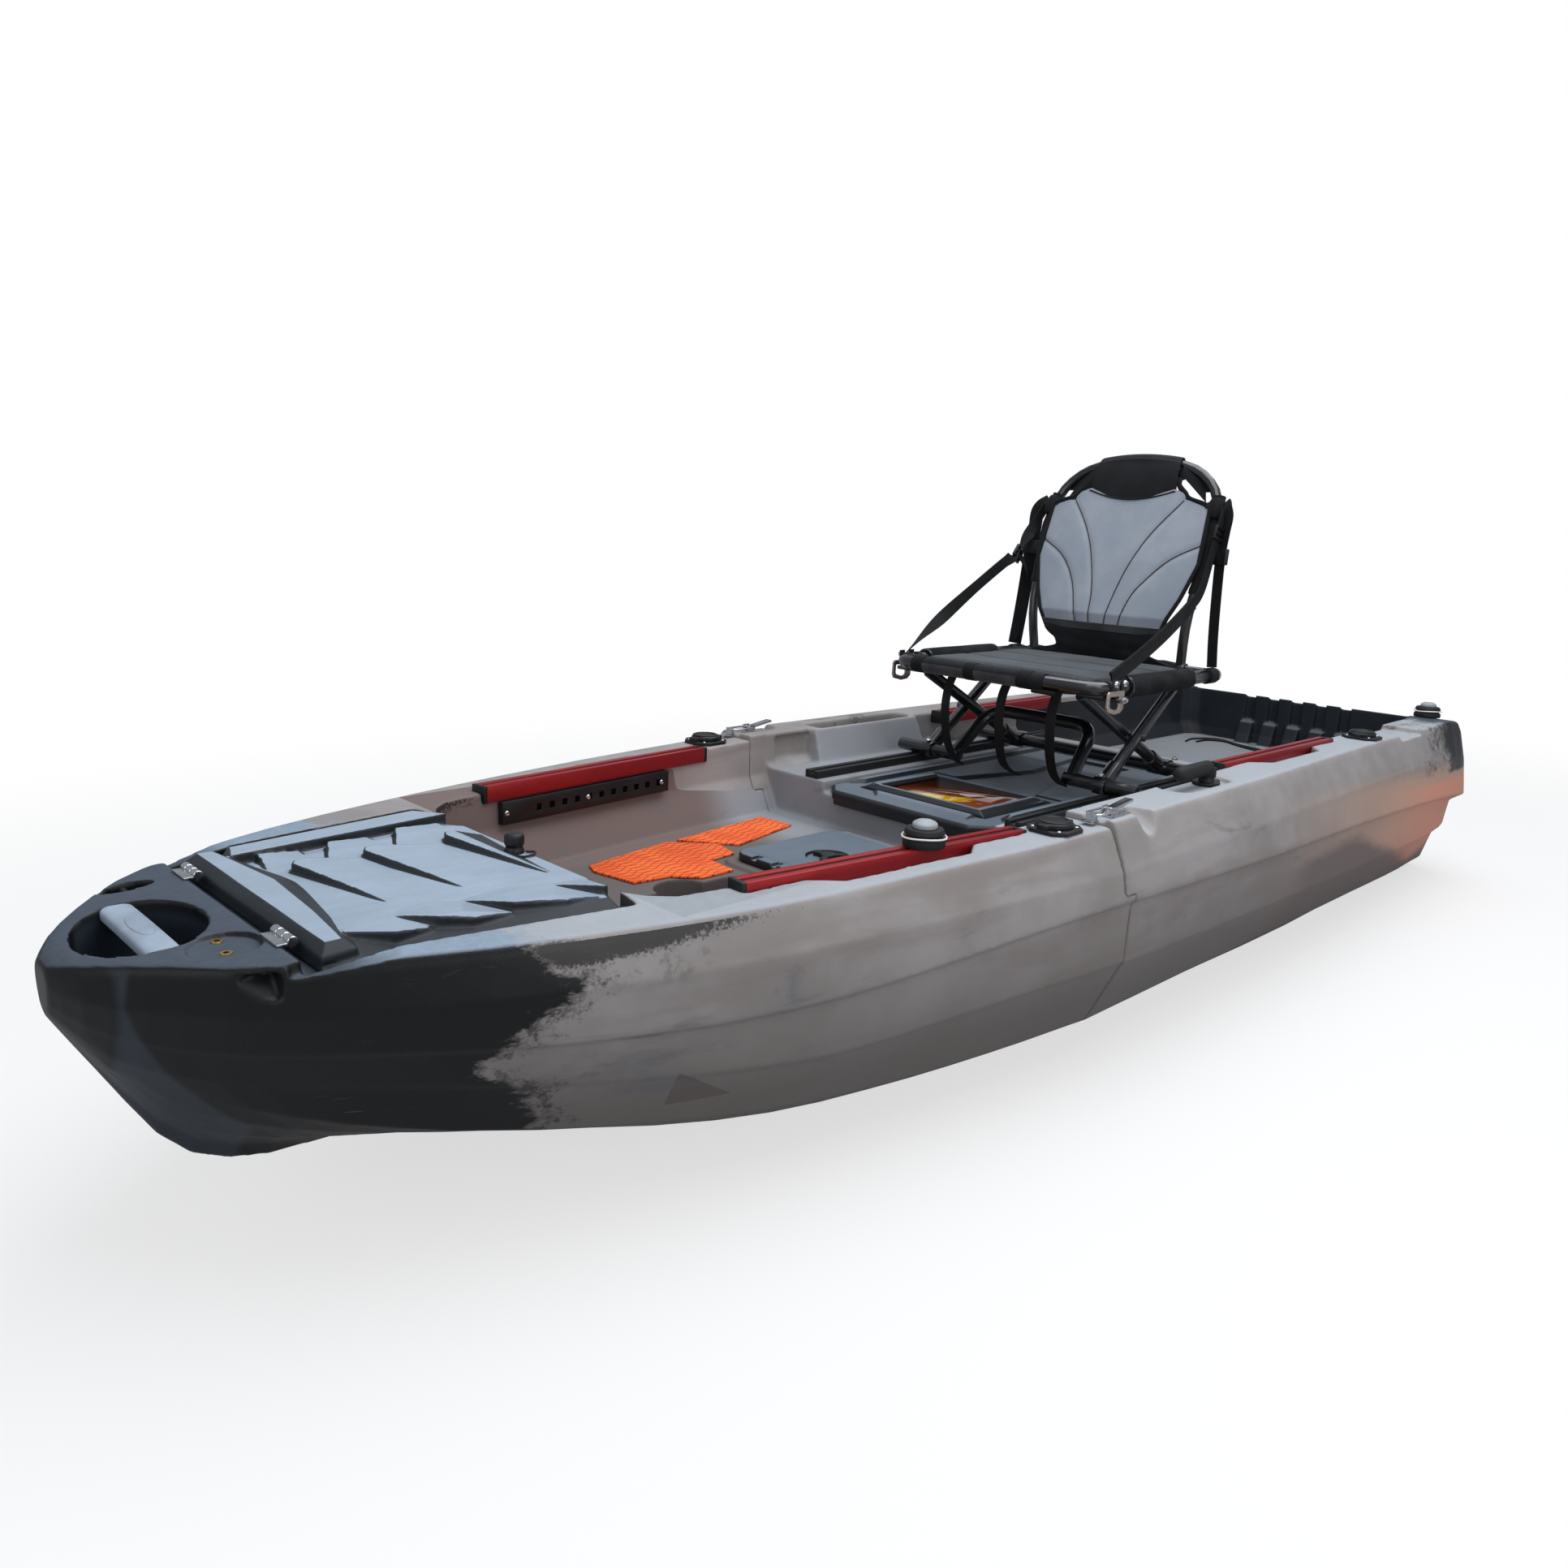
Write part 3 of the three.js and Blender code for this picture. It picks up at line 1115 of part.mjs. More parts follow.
function footTrack(side) {
  const z = FOOT_TRACK_BOTTOM + FOOT_TRACK_HEIGHT / 2;
  const wallY = (x) => side * (innerWallY(x) - FOOT_TRACK_THICK / 2 - 1);
  const half = FOOT_TRACK_THICK / 2;
  const high = FOOT_TRACK_HEIGHT / 2;
  const section = [[-half, -high], [half, -high], [half, high], [-half, high]];
  const rearEnd = [FOOT_TRACK_REAR, wallY(FOOT_TRACK_REAR), z];
  const beam = bar(rearEnd, [FOOT_TRACK_FRONT, wallY(FOOT_TRACK_FRONT), z], section);
  const size = FOOT_TRACK_HOLE / 2;
  const holes = evenly(FOOT_TRACK_REAR + 24, FOOT_TRACK_FRONT - 70, FOOT_TRACK_HOLES).map(
    (x) => block(x - size, x + size, Math.min(0, side * CUT_SIDE), Math.max(0, side * CUT_SIDE), z - size,
      z + size),
  );
  return beam.subtract(joined(holes));
}

function seatTrack(side) {
  const z = SEAT_DECK + FIT_GAP;
  const half = SEAT_TRACK_WIDTH / 2;
  const profile = [
    [-half, 0], [half, 0], [half, SEAT_TRACK_HEIGHT], [5, SEAT_TRACK_HEIGHT], [5, SEAT_TRACK_HEIGHT - 6],
    [-5, SEAT_TRACK_HEIGHT - 6], [-5, SEAT_TRACK_HEIGHT], [-half, SEAT_TRACK_HEIGHT],
  ];
  const y = side * SEAT_TRACK_Y;
  return bar([SEAT_TRACK_REAR, y, z], [SEAT_DECK_FRONT - 2, y, z], profile);
}

// Rod holders and mounts
function rodSocket(x, side) {
  const y = side * socketY(x);
  const base = socketTop(x);
  const top = base + SOCKET_FLANGE_THICK;
  const corner = 0.55;
  const flange = slab(flatShape([
    [x - SOCKET_FLANGE, y - SOCKET_FLANGE * corner], [x - SOCKET_FLANGE * corner, y - SOCKET_FLANGE],
    [x + SOCKET_FLANGE * corner, y - SOCKET_FLANGE], [x + SOCKET_FLANGE, y - SOCKET_FLANGE * corner],
    [x + SOCKET_FLANGE, y + SOCKET_FLANGE * corner], [x + SOCKET_FLANGE * corner, y + SOCKET_FLANGE],
    [x - SOCKET_FLANGE * corner, y + SOCKET_FLANGE], [x - SOCKET_FLANGE, y + SOCKET_FLANGE * corner],
  ]), base, top);
  const outside = post(x, y, SOCKET_OUTER, base - SOCKET_DEPTH, base + 1, 16);
  return flange.add(outside).subtract(post(x, y, SOCKET_BORE, base - SOCKET_DEPTH + 4, top + 1, 16));
}

function socketCap(x, side) {
  const y = side * socketY(x);
  const bottom = socketTop(x) + SOCKET_FLANGE_THICK + FIT_GAP;
  const top = bottom + SOCKET_CAP_THICK;
  const disc = turned([
    [0, bottom], [SOCKET_CAP_RADIUS, bottom], [SOCKET_CAP_RADIUS, top - 3], [SOCKET_CAP_RADIUS - 3, top],
    [0, top],
  ], x, y);
  const hingeX = x - SOCKET_CAP_RADIUS - 3;
  const lug = block(hingeX, x - SOCKET_CAP_RADIUS + 8, y - 11, y + 11, bottom, top - 2);
  const tab = block(x + SOCKET_CAP_RADIUS - 6, x + SOCKET_CAP_RADIUS + 6, y - 9, y + 9, bottom, top - 3);
  return joined([disc, lug, tab]);
}

function mountBase(x, y, base, tongue) {
  const rim = MOUNT_RADIUS;
  const profile = [
    [0, base], [rim, base], [rim, base + 8], [MOUNT_WAIST, base + 11], [MOUNT_WAIST, base + 15],
    [rim - 1, base + 18], [rim - 4, base + MOUNT_HEIGHT], [0, base + MOUNT_HEIGHT],
  ];
  const body = turned(profile, x, y, 24);
  return tongue ? body.add(tongue) : body;
}

function railPoint(rail, x) {
  const share = (x - rail.rear[0]) / (rail.front[0] - rail.rear[0]);
  return rail.rear[1] + (rail.front[1] - rail.rear[1]) * share;
}

function railMountBase() {
  const half = RAIL_GROOVE / 2 - FIT_GAP;
  const [from, to] = [-1, 1].map((end) => {
    const x = RAIL_MOUNT_X + end * (MOUNT_RADIUS - 4);
    return [x, railPoint(FRONT_RAIL, x), FRONT_RAIL.top];
  });
  const tongue = bar(from, to, [
    [-half, -RAIL_GROOVE_DEPTH + FIT_GAP], [half, -RAIL_GROOVE_DEPTH + FIT_GAP], [half, 2], [-half, 2],
  ]);
  return mountBase(RAIL_MOUNT_X, railPoint(FRONT_RAIL, RAIL_MOUNT_X), FRONT_RAIL.top + FIT_GAP, tongue);
}

function mountCap(x, y, base) {
  const bottom = base + MOUNT_HEIGHT + FIT_GAP;
  const top = bottom + MOUNT_CAP_THICK;
  return turned([
    [0, bottom], [MOUNT_CAP_RADIUS, bottom], [MOUNT_CAP_RADIUS, top - 3], [MOUNT_CAP_RADIUS - 4, top],
    [0, top],
  ], x, y, 18);
}

// Toggle latches
function toggleBase(side) {
  const y = side * (gunwaleY(TOGGLE_X) - TOGGLE_INSET);
  const floor = toggleFloor() + FIT_GAP;
  const half = TOGGLE_WIDTH / 2;
  const plate = block(TOGGLE_X - TOGGLE_BASE_LENGTH, TOGGLE_X + 8, y - half, y + half, floor, floor + 3);
  const ears = [-1, 1].map((end) => {
    const outer = y + end * half;
    const inner = y + end * (half - 2.5);
    return block(TOGGLE_X - 8, TOGGLE_X + 8, Math.min(inner, outer), Math.max(inner, outer), floor + 2,
      floor + TOGGLE_PIN_HEIGHT + 5);
  });
  return joined([plate, ...ears]);
}

function toggleLever(side) {
  const y = side * (gunwaleY(TOGGLE_X) - TOGGLE_INSET);
  const pin = toggleFloor() + FIT_GAP + TOGGLE_PIN_HEIGHT;
  const half = TOGGLE_WIDTH / 2 - 2.5 - FIT_GAP;
  const thick = TOGGLE_LEVER_THICK / 2;
  const tip = [TOGGLE_X - TOGGLE_LEVER_LENGTH, y, pin + TOGGLE_LEVER_RISE];
  const section = [[-half, -thick], [half, -thick], [half, thick], [-half, thick]];
  const plate = bar([TOGGLE_X, y, pin], tip, section);
  return plate.add(rod([TOGGLE_X, y - half, pin], [TOGGLE_X, y + half, pin], 3.5, 10));
}

function toggleKeeper(side) {
  const y = side * (gunwaleY(TOGGLE_X) - TOGGLE_INSET);
  const floor = toggleFloor() + FIT_GAP;
  const half = TOGGLE_WIDTH / 2;
  const wireY = half + TOGGLE_WIRE_RADIUS + FIT_GAP;
  const wireZ = floor + TOGGLE_PIN_HEIGHT;
  const plate = block(TOGGLE_KEEPER_X - 8, TOGGLE_KEEPER_X + 12, y - half, y + half, floor, floor + 3);
  const hook = block(TOGGLE_KEEPER_X - 6, TOGGLE_KEEPER_X, y - half + 2, y + half - 2, floor + 2, wireZ + 3);
  const wireEnd = TOGGLE_KEEPER_X - 3;
  const wire = tube([
    [TOGGLE_X, y - wireY, wireZ], [wireEnd - 5, y - wireY, wireZ], [wireEnd, y - wireY + 4, wireZ],
    [wireEnd, y + wireY - 4, wireZ], [wireEnd - 5, y + wireY, wireZ], [TOGGLE_X, y + wireY, wireZ],
  ], TOGGLE_WIRE_RADIUS, 6);
  return joined([plate, hook, wire]);
}

// Rudder lever
function rudderBase() {
  const y = gunwaleY(RUDDER_X) - RUDDER_INSET;
  const floor = rudderFloor() + FIT_GAP;
  const post0 = floor + RUDDER_POST_HEIGHT;
  const plate = post(RUDDER_X, y, RUDDER_BASE_RADIUS, floor, floor + 6, 16);
  const lobe = post(RUDDER_X - 22, y, 13, floor, floor + 6, 12);
  return joined([plate, lobe, post(RUDDER_X, y, RUDDER_POST_RADIUS, floor, post0, 16)]);
}

function rudderLever() {
  const y = gunwaleY(RUDDER_X) - RUDDER_INSET;
  const bottom = rudderFloor() + RUDDER_POST_HEIGHT + 2 * FIT_GAP;
  const hub = post(RUDDER_X, y, RUDDER_POST_RADIUS + 2, bottom, bottom + RUDDER_HUB_HEIGHT, 16);
  const grip = bottom + RUDDER_GRIP_RISE - RUDDER_GRIP_RADIUS;
  const start = [RUDDER_X, y, grip];
  const end = RUDDER_X + RUDDER_GRIP_LENGTH;
  const bodyRod = rod(start, [end, y, grip], RUDDER_GRIP_RADIUS, 14);
  const tip = new THREE.SphereGeometry(RUDDER_GRIP_RADIUS, 14, 8);
  tip.translate(end, y, grip);
  return joined([hub, bodyRod, solidOf(tip)]);
}

// Seat
function seatFrontFrame() {
  const bars = [1, -1].map((side) => rod([FRONT_BAR_X, side * BAR_INNER_END, SEAT_BAR_Z],
    [FRONT_BAR_X, side * BAR_END, SEAT_BAR_Z], SEAT_TUBE_RADIUS));
  const arch = tube(rounded([
    [FRONT_BAR_X, -ARCH_FOOT_Y, SEAT_BAR_Z], [ARCH_TOP[0], -ARCH_TOP_HALF, ARCH_TOP[1]],
    [ARCH_TOP[0], ARCH_TOP_HALF, ARCH_TOP[1]], [FRONT_BAR_X, ARCH_FOOT_Y, SEAT_BAR_Z],
  ], ARCH_BEND), SEAT_TUBE_RADIUS);
  return joined([...bars, arch]);
}

// A leg: a collar round the bar at its foot, a socket, a tube up to its top and a bolt through it.
function seatLeg(footX, top, y, collarLength, bolt) {
  const start = [footX, y, SEAT_BAR_Z];
  const bore = SEAT_TUBE_RADIUS + COLLAR_CLEAR;
  const half = collarLength / 2;
  const collar = rod([footX, y - half, SEAT_BAR_Z], [footX, y + half, SEAT_BAR_Z], bore + COLLAR_WALL, 16);
  const shaft = rod(start, [top[0], y, top[1]], LEG_RADIUS);
  const share = LEG_SOCKET_LENGTH / Math.hypot(top[0] - footX, top[1] - SEAT_BAR_Z);
  const socketEnd = [footX + share * (top[0] - footX), y, SEAT_BAR_Z + share * (top[1] - SEAT_BAR_Z)];
  const socket = rod(start, socketEnd, LEG_RADIUS + COLLAR_WALL);
  const through = Math.max(half, LEG_RADIUS + COLLAR_WALL) + 1;
  const hole = rod([footX, y - through, SEAT_BAR_Z], [footX, y + through, SEAT_BAR_Z], bore, 16);
  return joined([collar, shaft, socket]).subtract(hole).add(bolt);
}

function outerLeg(side) {
  const y = side * OUTER_LEG_Y;
  const inner = side * (INNER_LEG_Y + LEG_RADIUS + FIT_GAP);
  const [x, z] = LEG_CROSSING;
  const stub = rod([x, Math.min(y, inner), z], [x, Math.max(y, inner), z], LEG_BOLT_RADIUS, 10);
  const outerEnd = side * (OUTER_LEG_Y + LEG_RADIUS + 5);
  const head = rod([x, Math.min(y, outerEnd), z], [x, Math.max(y, outerEnd), z], LEG_BOLT_HEAD, 6);
  return seatLeg(FRONT_BAR_X, OUTER_LEG_TOP, y, OUTER_COLLAR_LENGTH, stub.add(head));
}

function innerLeg(side) {
  const y = side * INNER_LEG_Y;
  const end = side * (PAN_HALF + SEAT_TUBE_RADIUS + LATCH_PLATE_THICK + 8);
  const [x, z] = INNER_LEG_TOP;
  const bolt = rod([x, Math.min(y, end), z], [x, Math.max(y, end), z], LEG_BOLT_RADIUS, 10);
  return seatLeg(REAR_BAR_X, INNER_LEG_TOP, y, INNER_COLLAR_LENGTH, bolt);
}

// The pan's bent tube with its rear bar and the foam sleeves on its sides
function panFrame() {
  const rim = tube(rounded([
    [PAN_REAR, -PAN_HALF, PAN_Z], [PAN_FRONT, -PAN_HALF, PAN_Z], [PAN_FRONT, PAN_HALF, PAN_Z],
    [PAN_REAR, PAN_HALF, PAN_Z],
  ], PAN_BEND), SEAT_TUBE_RADIUS);
  const rearBar = rod([PAN_BAR_X, -PAN_HALF, PAN_BAR_Z], [PAN_BAR_X, PAN_HALF, PAN_BAR_Z], PAN_BAR_RADIUS);
  const sleeves = [PAN_HALF, -PAN_HALF].map((y) => rod([SLEEVE_REAR, y, PAN_Z], [SLEEVE_FRONT, y, PAN_Z],
    SLEEVE_RADIUS, 16));
  return joined([rim, rearBar, ...sleeves]);
}

function latchPlate(side) {
  const half = LATCH_PLATE_LENGTH / 2;
  const top = PAN_Z + 3;
  const bottom = top - LATCH_PLATE_HEIGHT;
  const [pinX, pinZ] = INNER_LEG_TOP;
  const outline = roundedRectangle(LATCH_PLATE_X - half, LATCH_PLATE_X + half, bottom, top, 7);
  const settings = { depth: LATCH_PLATE_THICK, bevelEnabled: false, curveSegments: 3 };
  const geometry = new THREE.ExtrudeGeometry(outline, settings);
  geometry.rotateX(Math.PI / 2);
  const y = PAN_HALF + SEAT_TUBE_RADIUS + FIT_GAP;
  geometry.translate(0, side > 0 ? y + LATCH_PLATE_THICK : -y, 0);
  const slotHalf = LEG_BOLT_RADIUS + COLLAR_CLEAR;
  const [inner, outer] = side > 0 ? [y - 1, y + LATCH_PLATE_THICK + 1] : [-y - LATCH_PLATE_THICK - 1, -y + 1];
  const slot = block(pinX - LATCH_SLOT, pinX + LATCH_SLOT, inner, outer, pinZ - slotHalf, pinZ + slotHalf);
  return solidOf(geometry).subtract(slot);
}

function panSling() {
  const bottom = PAN_Z - SEAT_TUBE_RADIUS + 8.5;
  const half = PAN_HALF - SLEEVE_RADIUS - SLING_CLEAR;
  const front = PAN_FRONT - SEAT_TUBE_RADIUS - SLING_CLEAR;
  const rear = PAN_BAR_X + PAN_BAR_RADIUS + COLLAR_CLEAR + COLLAR_WALL + SLING_CLEAR;
  const stations = evenly(rear, front, 7);
  const section = (x) => {
    const near = Math.min(1, (front - x) / 60);
    const crown = 2 + 6 * near;
    const ys = evenly(0, half, 7);
    const upper = ys.map((y) => [y, bottom + SLING_THICK + crown * (1 - (y / half) ** 2)]);
    const corner = PAN_BEND * Math.max(0, 1 - (front - x) / PAN_BEND) * 0.5;
    const fit = (y) => Math.max(0, y - corner * (y / half));
    return [[0, bottom], [fit(half), bottom], ...upper.reverse().map(([y, z]) => [fit(y), z])];
  };
  return loftAlong(stations, section);
}

// The backrest's tube at a height, port side
function backTubeAt(z) {
  const above = BACK_TUBE.findIndex((point) => point[2] > z);
  const upper = above < 0 ? BACK_TUBE.length - 1 : Math.max(1, above);
  const [low, high] = [BACK_TUBE[upper - 1], BACK_TUBE[upper]];
  const t = Math.min(1, (z - low[2]) / (high[2] - low[2]));
  return [low[0] + t * (high[0] - low[0]), low[1] + t * (high[1] - low[1])];
}

// A bent tube on two collars that turn on the pan's rear bar
function backrestFrame() {
  const half = BACK_TUBE.slice(0, -1);
  const path = [...half.map(([x, y, z]) => [x, -y, z]), BACK_TUBE.at(-1), ...half.reverse()];
  const bore = PAN_BAR_RADIUS + COLLAR_CLEAR;
  const onBar = (y, reach, radius) => {
    const ends = [y - reach, y + reach].map((side) => [PAN_BAR_X, side, PAN_BAR_Z]);
    return rod(...ends, radius, 16);
  };
  const feet = [BACK_TUBE[0][1], -BACK_TUBE[0][1]];
  const collars = feet.map((y) => onBar(y, BACK_COLLAR_LENGTH / 2, bore + COLLAR_WALL));
  const holes = feet.map((y) => onBar(y, BACK_COLLAR_LENGTH / 2 + 1, bore));
  return joined([tube(rounded(path, 60, 3), BACK_TUBE_RADIUS), ...collars]).subtract(joined(holes));
}

function backrestCover() {
  const rings = BACK_COVER.map(([height, half, crown]) => {
    const ys = evenly(-half, half, 9);
    const z = PAN_Z + height;
    const edge = backTubeAt(z)[0] + BACK_TUBE_RADIUS + FIT_GAP + BACK_COVER_THICK;
    const front = ys.map((y) => [edge + crown * (1 - (y / half) ** 2), y]);
    const back = front.map(([x, y]) => [x - BACK_COVER_THICK, y]).reverse();
    return [...front, ...back].map(([x, y]) => [x, y, z]);
  });
  return loft(rings, rings.map((ring) => ring.map(([x, y]) => [x, y])));
}

// From the top of the pan's tube up to its adjuster and on to the backrest's tube
function sideStrap(side) {
  const half = STRAP_WIDTH / 2;
  const thick = STRAP_THICK / 2;
  const [bendX, bendY, bendZ] = STRAP_BEND;
  const footZ = PAN_Z + SEAT_TUBE_RADIUS + FIT_GAP;
  const [topX, topY] = backTubeAt(STRAP_TOP_Z);
  const outside = topY + BACK_TUBE_RADIUS + FIT_GAP + thick;
  const lower = Math.atan2(bendZ - footZ, bendX - STRAP_FOOT_X);
  const upper = Math.atan2(STRAP_TOP_Z - bendZ, topX - bendX);
  const ring = (x, y, z, angle, reach) => {
    const [dx, dz] = [-Math.sin(angle) * reach, Math.cos(angle) * reach];
    return [[x - dx, side * (y - thick), z - dz], [x - dx, side * (y + thick), z - dz],
      [x + dx, side * (y + thick), z + dz], [x + dx, side * (y - thick), z + dz]];
  };
  const turn = (upper - lower) / 2;
  const rings = [
    ring(STRAP_FOOT_X, PAN_HALF, footZ, Math.PI / 2, half / Math.abs(Math.sin(lower))),
    ring(bendX, bendY, bendZ, lower + turn, half / Math.cos(turn)),
    ring(topX, outside, STRAP_TOP_Z, upper, half),
  ];
  const outline = [[0, 0], [1, 0], [1, 1], [0, 1]];
  return loft(side > 0 ? rings : rings.map((points) => [...points].reverse()), [outline]);
}

function tankCord() {
  const z = TANK_FLOOR + CORD_RADIUS + FIT_GAP;
  const curve = new THREE.CatmullRomCurve3(CORD_LOOP.map(([x, y]) => new THREE.Vector3(x, y, z)));
  return tube(curve.getPoints(44).map((point) => point.toArray()), CORD_RADIUS, 6);
}

const BLACK = 0x1b1c1e;
const GREY = 0x8f8d8b;
const DECK_GREY = 0x55585c;
const RED = 0xa3222a;
const ORANGE = 0xf06a28;
const STEEL = 0xb9bcc0;
const WEBBING = 0x232428;

const kayak = new THREE.Group();
kayak.name = 'fishing_kayak';

function add(name, solid, color, roughness = 0.6, metalness = 0) {
  const material = new THREE.MeshStandardMaterial({ color, roughness, metalness });
  const mesh = new THREE.Mesh(geometryOf(solid), material);
  mesh.name = name;
  kayak.add(mesh);
}

add('front_hull', frontHull(), GREY);
add('rear_hull', rearHull(), GREY);
add('bow_handle', bowHandle(), DECK_GREY);
add('bow_tie_bar', bowTieBar(), STEEL, 0.3, 1);
add('front_hatch_lid', frontLid(), DECK_GREY);
add('lid_knob', lidKnob(), BLACK);
add('floor_hatch_cover', floorHatch(), DECK_GREY);
add('twist_latch', twistLatch(), BLACK);
add('centre_hatch_lid', centreLid(), BLACK);
add('window_flap', windowFlap(), BLACK);
add('amber_window', amberWindow(), 0xc8881a, 0.1);

for (const [sideName, side] of [['port', 1], ['starboard', -1]]) {
  add(`front_lid_hinge_${sideName}`, frontLidHinge(side), STEEL, 0.3, 1);
  add(`front_floor_mat_${sideName}`, floorMat(FRONT_MAT, side), ORANGE);
  add(`rear_floor_mat_${sideName}`, floorMat(REAR_MAT, side), ORANGE);
  add(`front_gear_rail_${sideName}`, gearRail(FRONT_RAIL, side), RED, 0.3, 1);
  add(`rear_gear_rail_${sideName}`, gearRail(REAR_RAIL, side), RED, 0.3, 1);
  add(`foot_track_${sideName}`, footTrack(side), BLACK);
  add(`seat_track_${sideName}`, seatTrack(side), BLACK);
  add(`front_rod_socket_${sideName}`, rodSocket(FRONT_SOCKET_X, side), BLACK);
  add(`front_rod_cap_${sideName}`, socketCap(FRONT_SOCKET_X, side), BLACK);
  add(`rear_rod_socket_${sideName}`, rodSocket(REAR_SOCKET_X, side), BLACK);
  add(`rear_rod_cap_${sideName}`, socketCap(REAR_SOCKET_X, side), BLACK);
  add(`toggle_base_${sideName}`, toggleBase(side), STEEL, 0.3, 1);
  add(`toggle_lever_${sideName}`, toggleLever(side), STEEL, 0.3, 1);
  add(`toggle_keeper_${sideName}`, toggleKeeper(side), STEEL, 0.3, 1);
  add(`outer_seat_leg_${sideName}`, outerLeg(side), BLACK, 0.4);
  add(`inner_seat_leg_${sideName}`, innerLeg(side), BLACK, 0.4);
  add(`latch_plate_${sideName}`, latchPlate(side), STEEL, 0.3, 1);
  add(`side_strap_${sideName}`, sideStrap(side), WEBBING, 0.9);
}

const railMountY = railPoint(FRONT_RAIL, RAIL_MOUNT_X);
const sternMountBottom = gunwaleZ(STERN_MOUNT_X + MOUNT_RADIUS) + FIT_GAP;
add('rail_mount_base', railMountBase(), BLACK);
add('rail_mount_cap', mountCap(RAIL_MOUNT_X, railMountY, FRONT_RAIL.top + FIT_GAP), STEEL);
add('stern_mount_base', mountBase(STERN_MOUNT_X, STERN_MOUNT_Y, sternMountBottom), BLACK);
add('stern_mount_cap', mountCap(STERN_MOUNT_X, STERN_MOUNT_Y, sternMountBottom), STEEL);
add('rudder_base', rudderBase(), BLACK);
add('rudder_lever', rudderLever(), BLACK);
add('seat_front_frame', seatFrontFrame(), BLACK, 0.4);
add('seat_rear_bar', rod([REAR_BAR_X, -BAR_END, SEAT_BAR_Z], [REAR_BAR_X, BAR_END, SEAT_BAR_Z],
  SEAT_TUBE_RADIUS), BLACK, 0.4);
add('pan_frame', panFrame(), BLACK, 0.4);
add('pan_sling', panSling(), WEBBING, 0.9);
add('backrest_frame', backrestFrame(), BLACK, 0.4);
add('backrest_cover', backrestCover(), WEBBING, 0.9);
add('tank_cord', tankCord(), BLACK);

export default kayak;
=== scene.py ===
import math

import bmesh
import bpy
from mathutils import Matrix, Vector
from mathutils.kdtree import KDTree


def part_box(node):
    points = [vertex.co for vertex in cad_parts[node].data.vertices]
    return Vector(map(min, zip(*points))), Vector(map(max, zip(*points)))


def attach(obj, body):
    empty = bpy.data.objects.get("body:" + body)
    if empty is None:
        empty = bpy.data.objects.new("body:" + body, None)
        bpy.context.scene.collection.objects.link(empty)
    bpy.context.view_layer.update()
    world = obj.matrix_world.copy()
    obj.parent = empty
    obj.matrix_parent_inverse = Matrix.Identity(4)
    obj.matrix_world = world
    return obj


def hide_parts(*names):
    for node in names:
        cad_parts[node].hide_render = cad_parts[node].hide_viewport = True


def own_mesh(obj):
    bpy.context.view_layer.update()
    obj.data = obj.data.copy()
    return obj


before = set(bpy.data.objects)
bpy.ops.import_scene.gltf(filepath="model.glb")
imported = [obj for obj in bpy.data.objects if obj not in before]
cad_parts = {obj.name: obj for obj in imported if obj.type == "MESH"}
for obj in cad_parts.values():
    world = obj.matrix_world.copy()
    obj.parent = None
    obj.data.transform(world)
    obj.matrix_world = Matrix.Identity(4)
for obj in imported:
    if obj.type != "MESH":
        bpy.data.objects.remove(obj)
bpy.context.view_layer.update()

scene = bpy.context.scene
scene.view_settings.view_transform = "Standard"


# Camera, from the photograph: it stands ahead of the bow on the port side, a little over the gunwale
CAMERA_AT = (1.7362, 1.2802, 0.8167)
CAMERA_RIGHT = (-0.72164, 0.69114, 0.03940)
CAMERA_UP = (-0.12597, -0.18707, 0.97424)
CAMERA_BACK = (0.68071, 0.69809, 0.22206)
CAMERA_LENS, CAMERA_SENSOR = 27.02, 36


def linked(name, data):
    """A new object in the scene."""
    obj = bpy.data.objects.new(name, data)
    scene.collection.objects.link(obj)
    return obj


def finished(name, mesh):
    """The data of a mesh under work, which ends with it."""
    data = bpy.data.meshes.new(name)
    mesh.to_mesh(data)
    mesh.free()
    return data


camera_data = bpy.data.cameras.new("Camera")
camera_data.sensor_width = CAMERA_SENSOR
camera_data.lens = CAMERA_LENS
camera = linked("Camera", camera_data)
camera.matrix_world = Matrix((CAMERA_RIGHT, CAMERA_UP, CAMERA_BACK)).transposed().to_4x4()
camera.location = CAMERA_AT
scene.camera = camera


# Shader arithmetic
def paint(red, green, blue):
    """A colour as it is seen on a screen, from 0 to 255, as the shader wants it."""
    seen = [channel / 255 for channel in (red, green, blue)]
    linear = [c / 12.92 if c <= 0.04045 else ((c + 0.055) / 1.055) ** 2.4 for c in seen]
    return (*linear, 1.0)


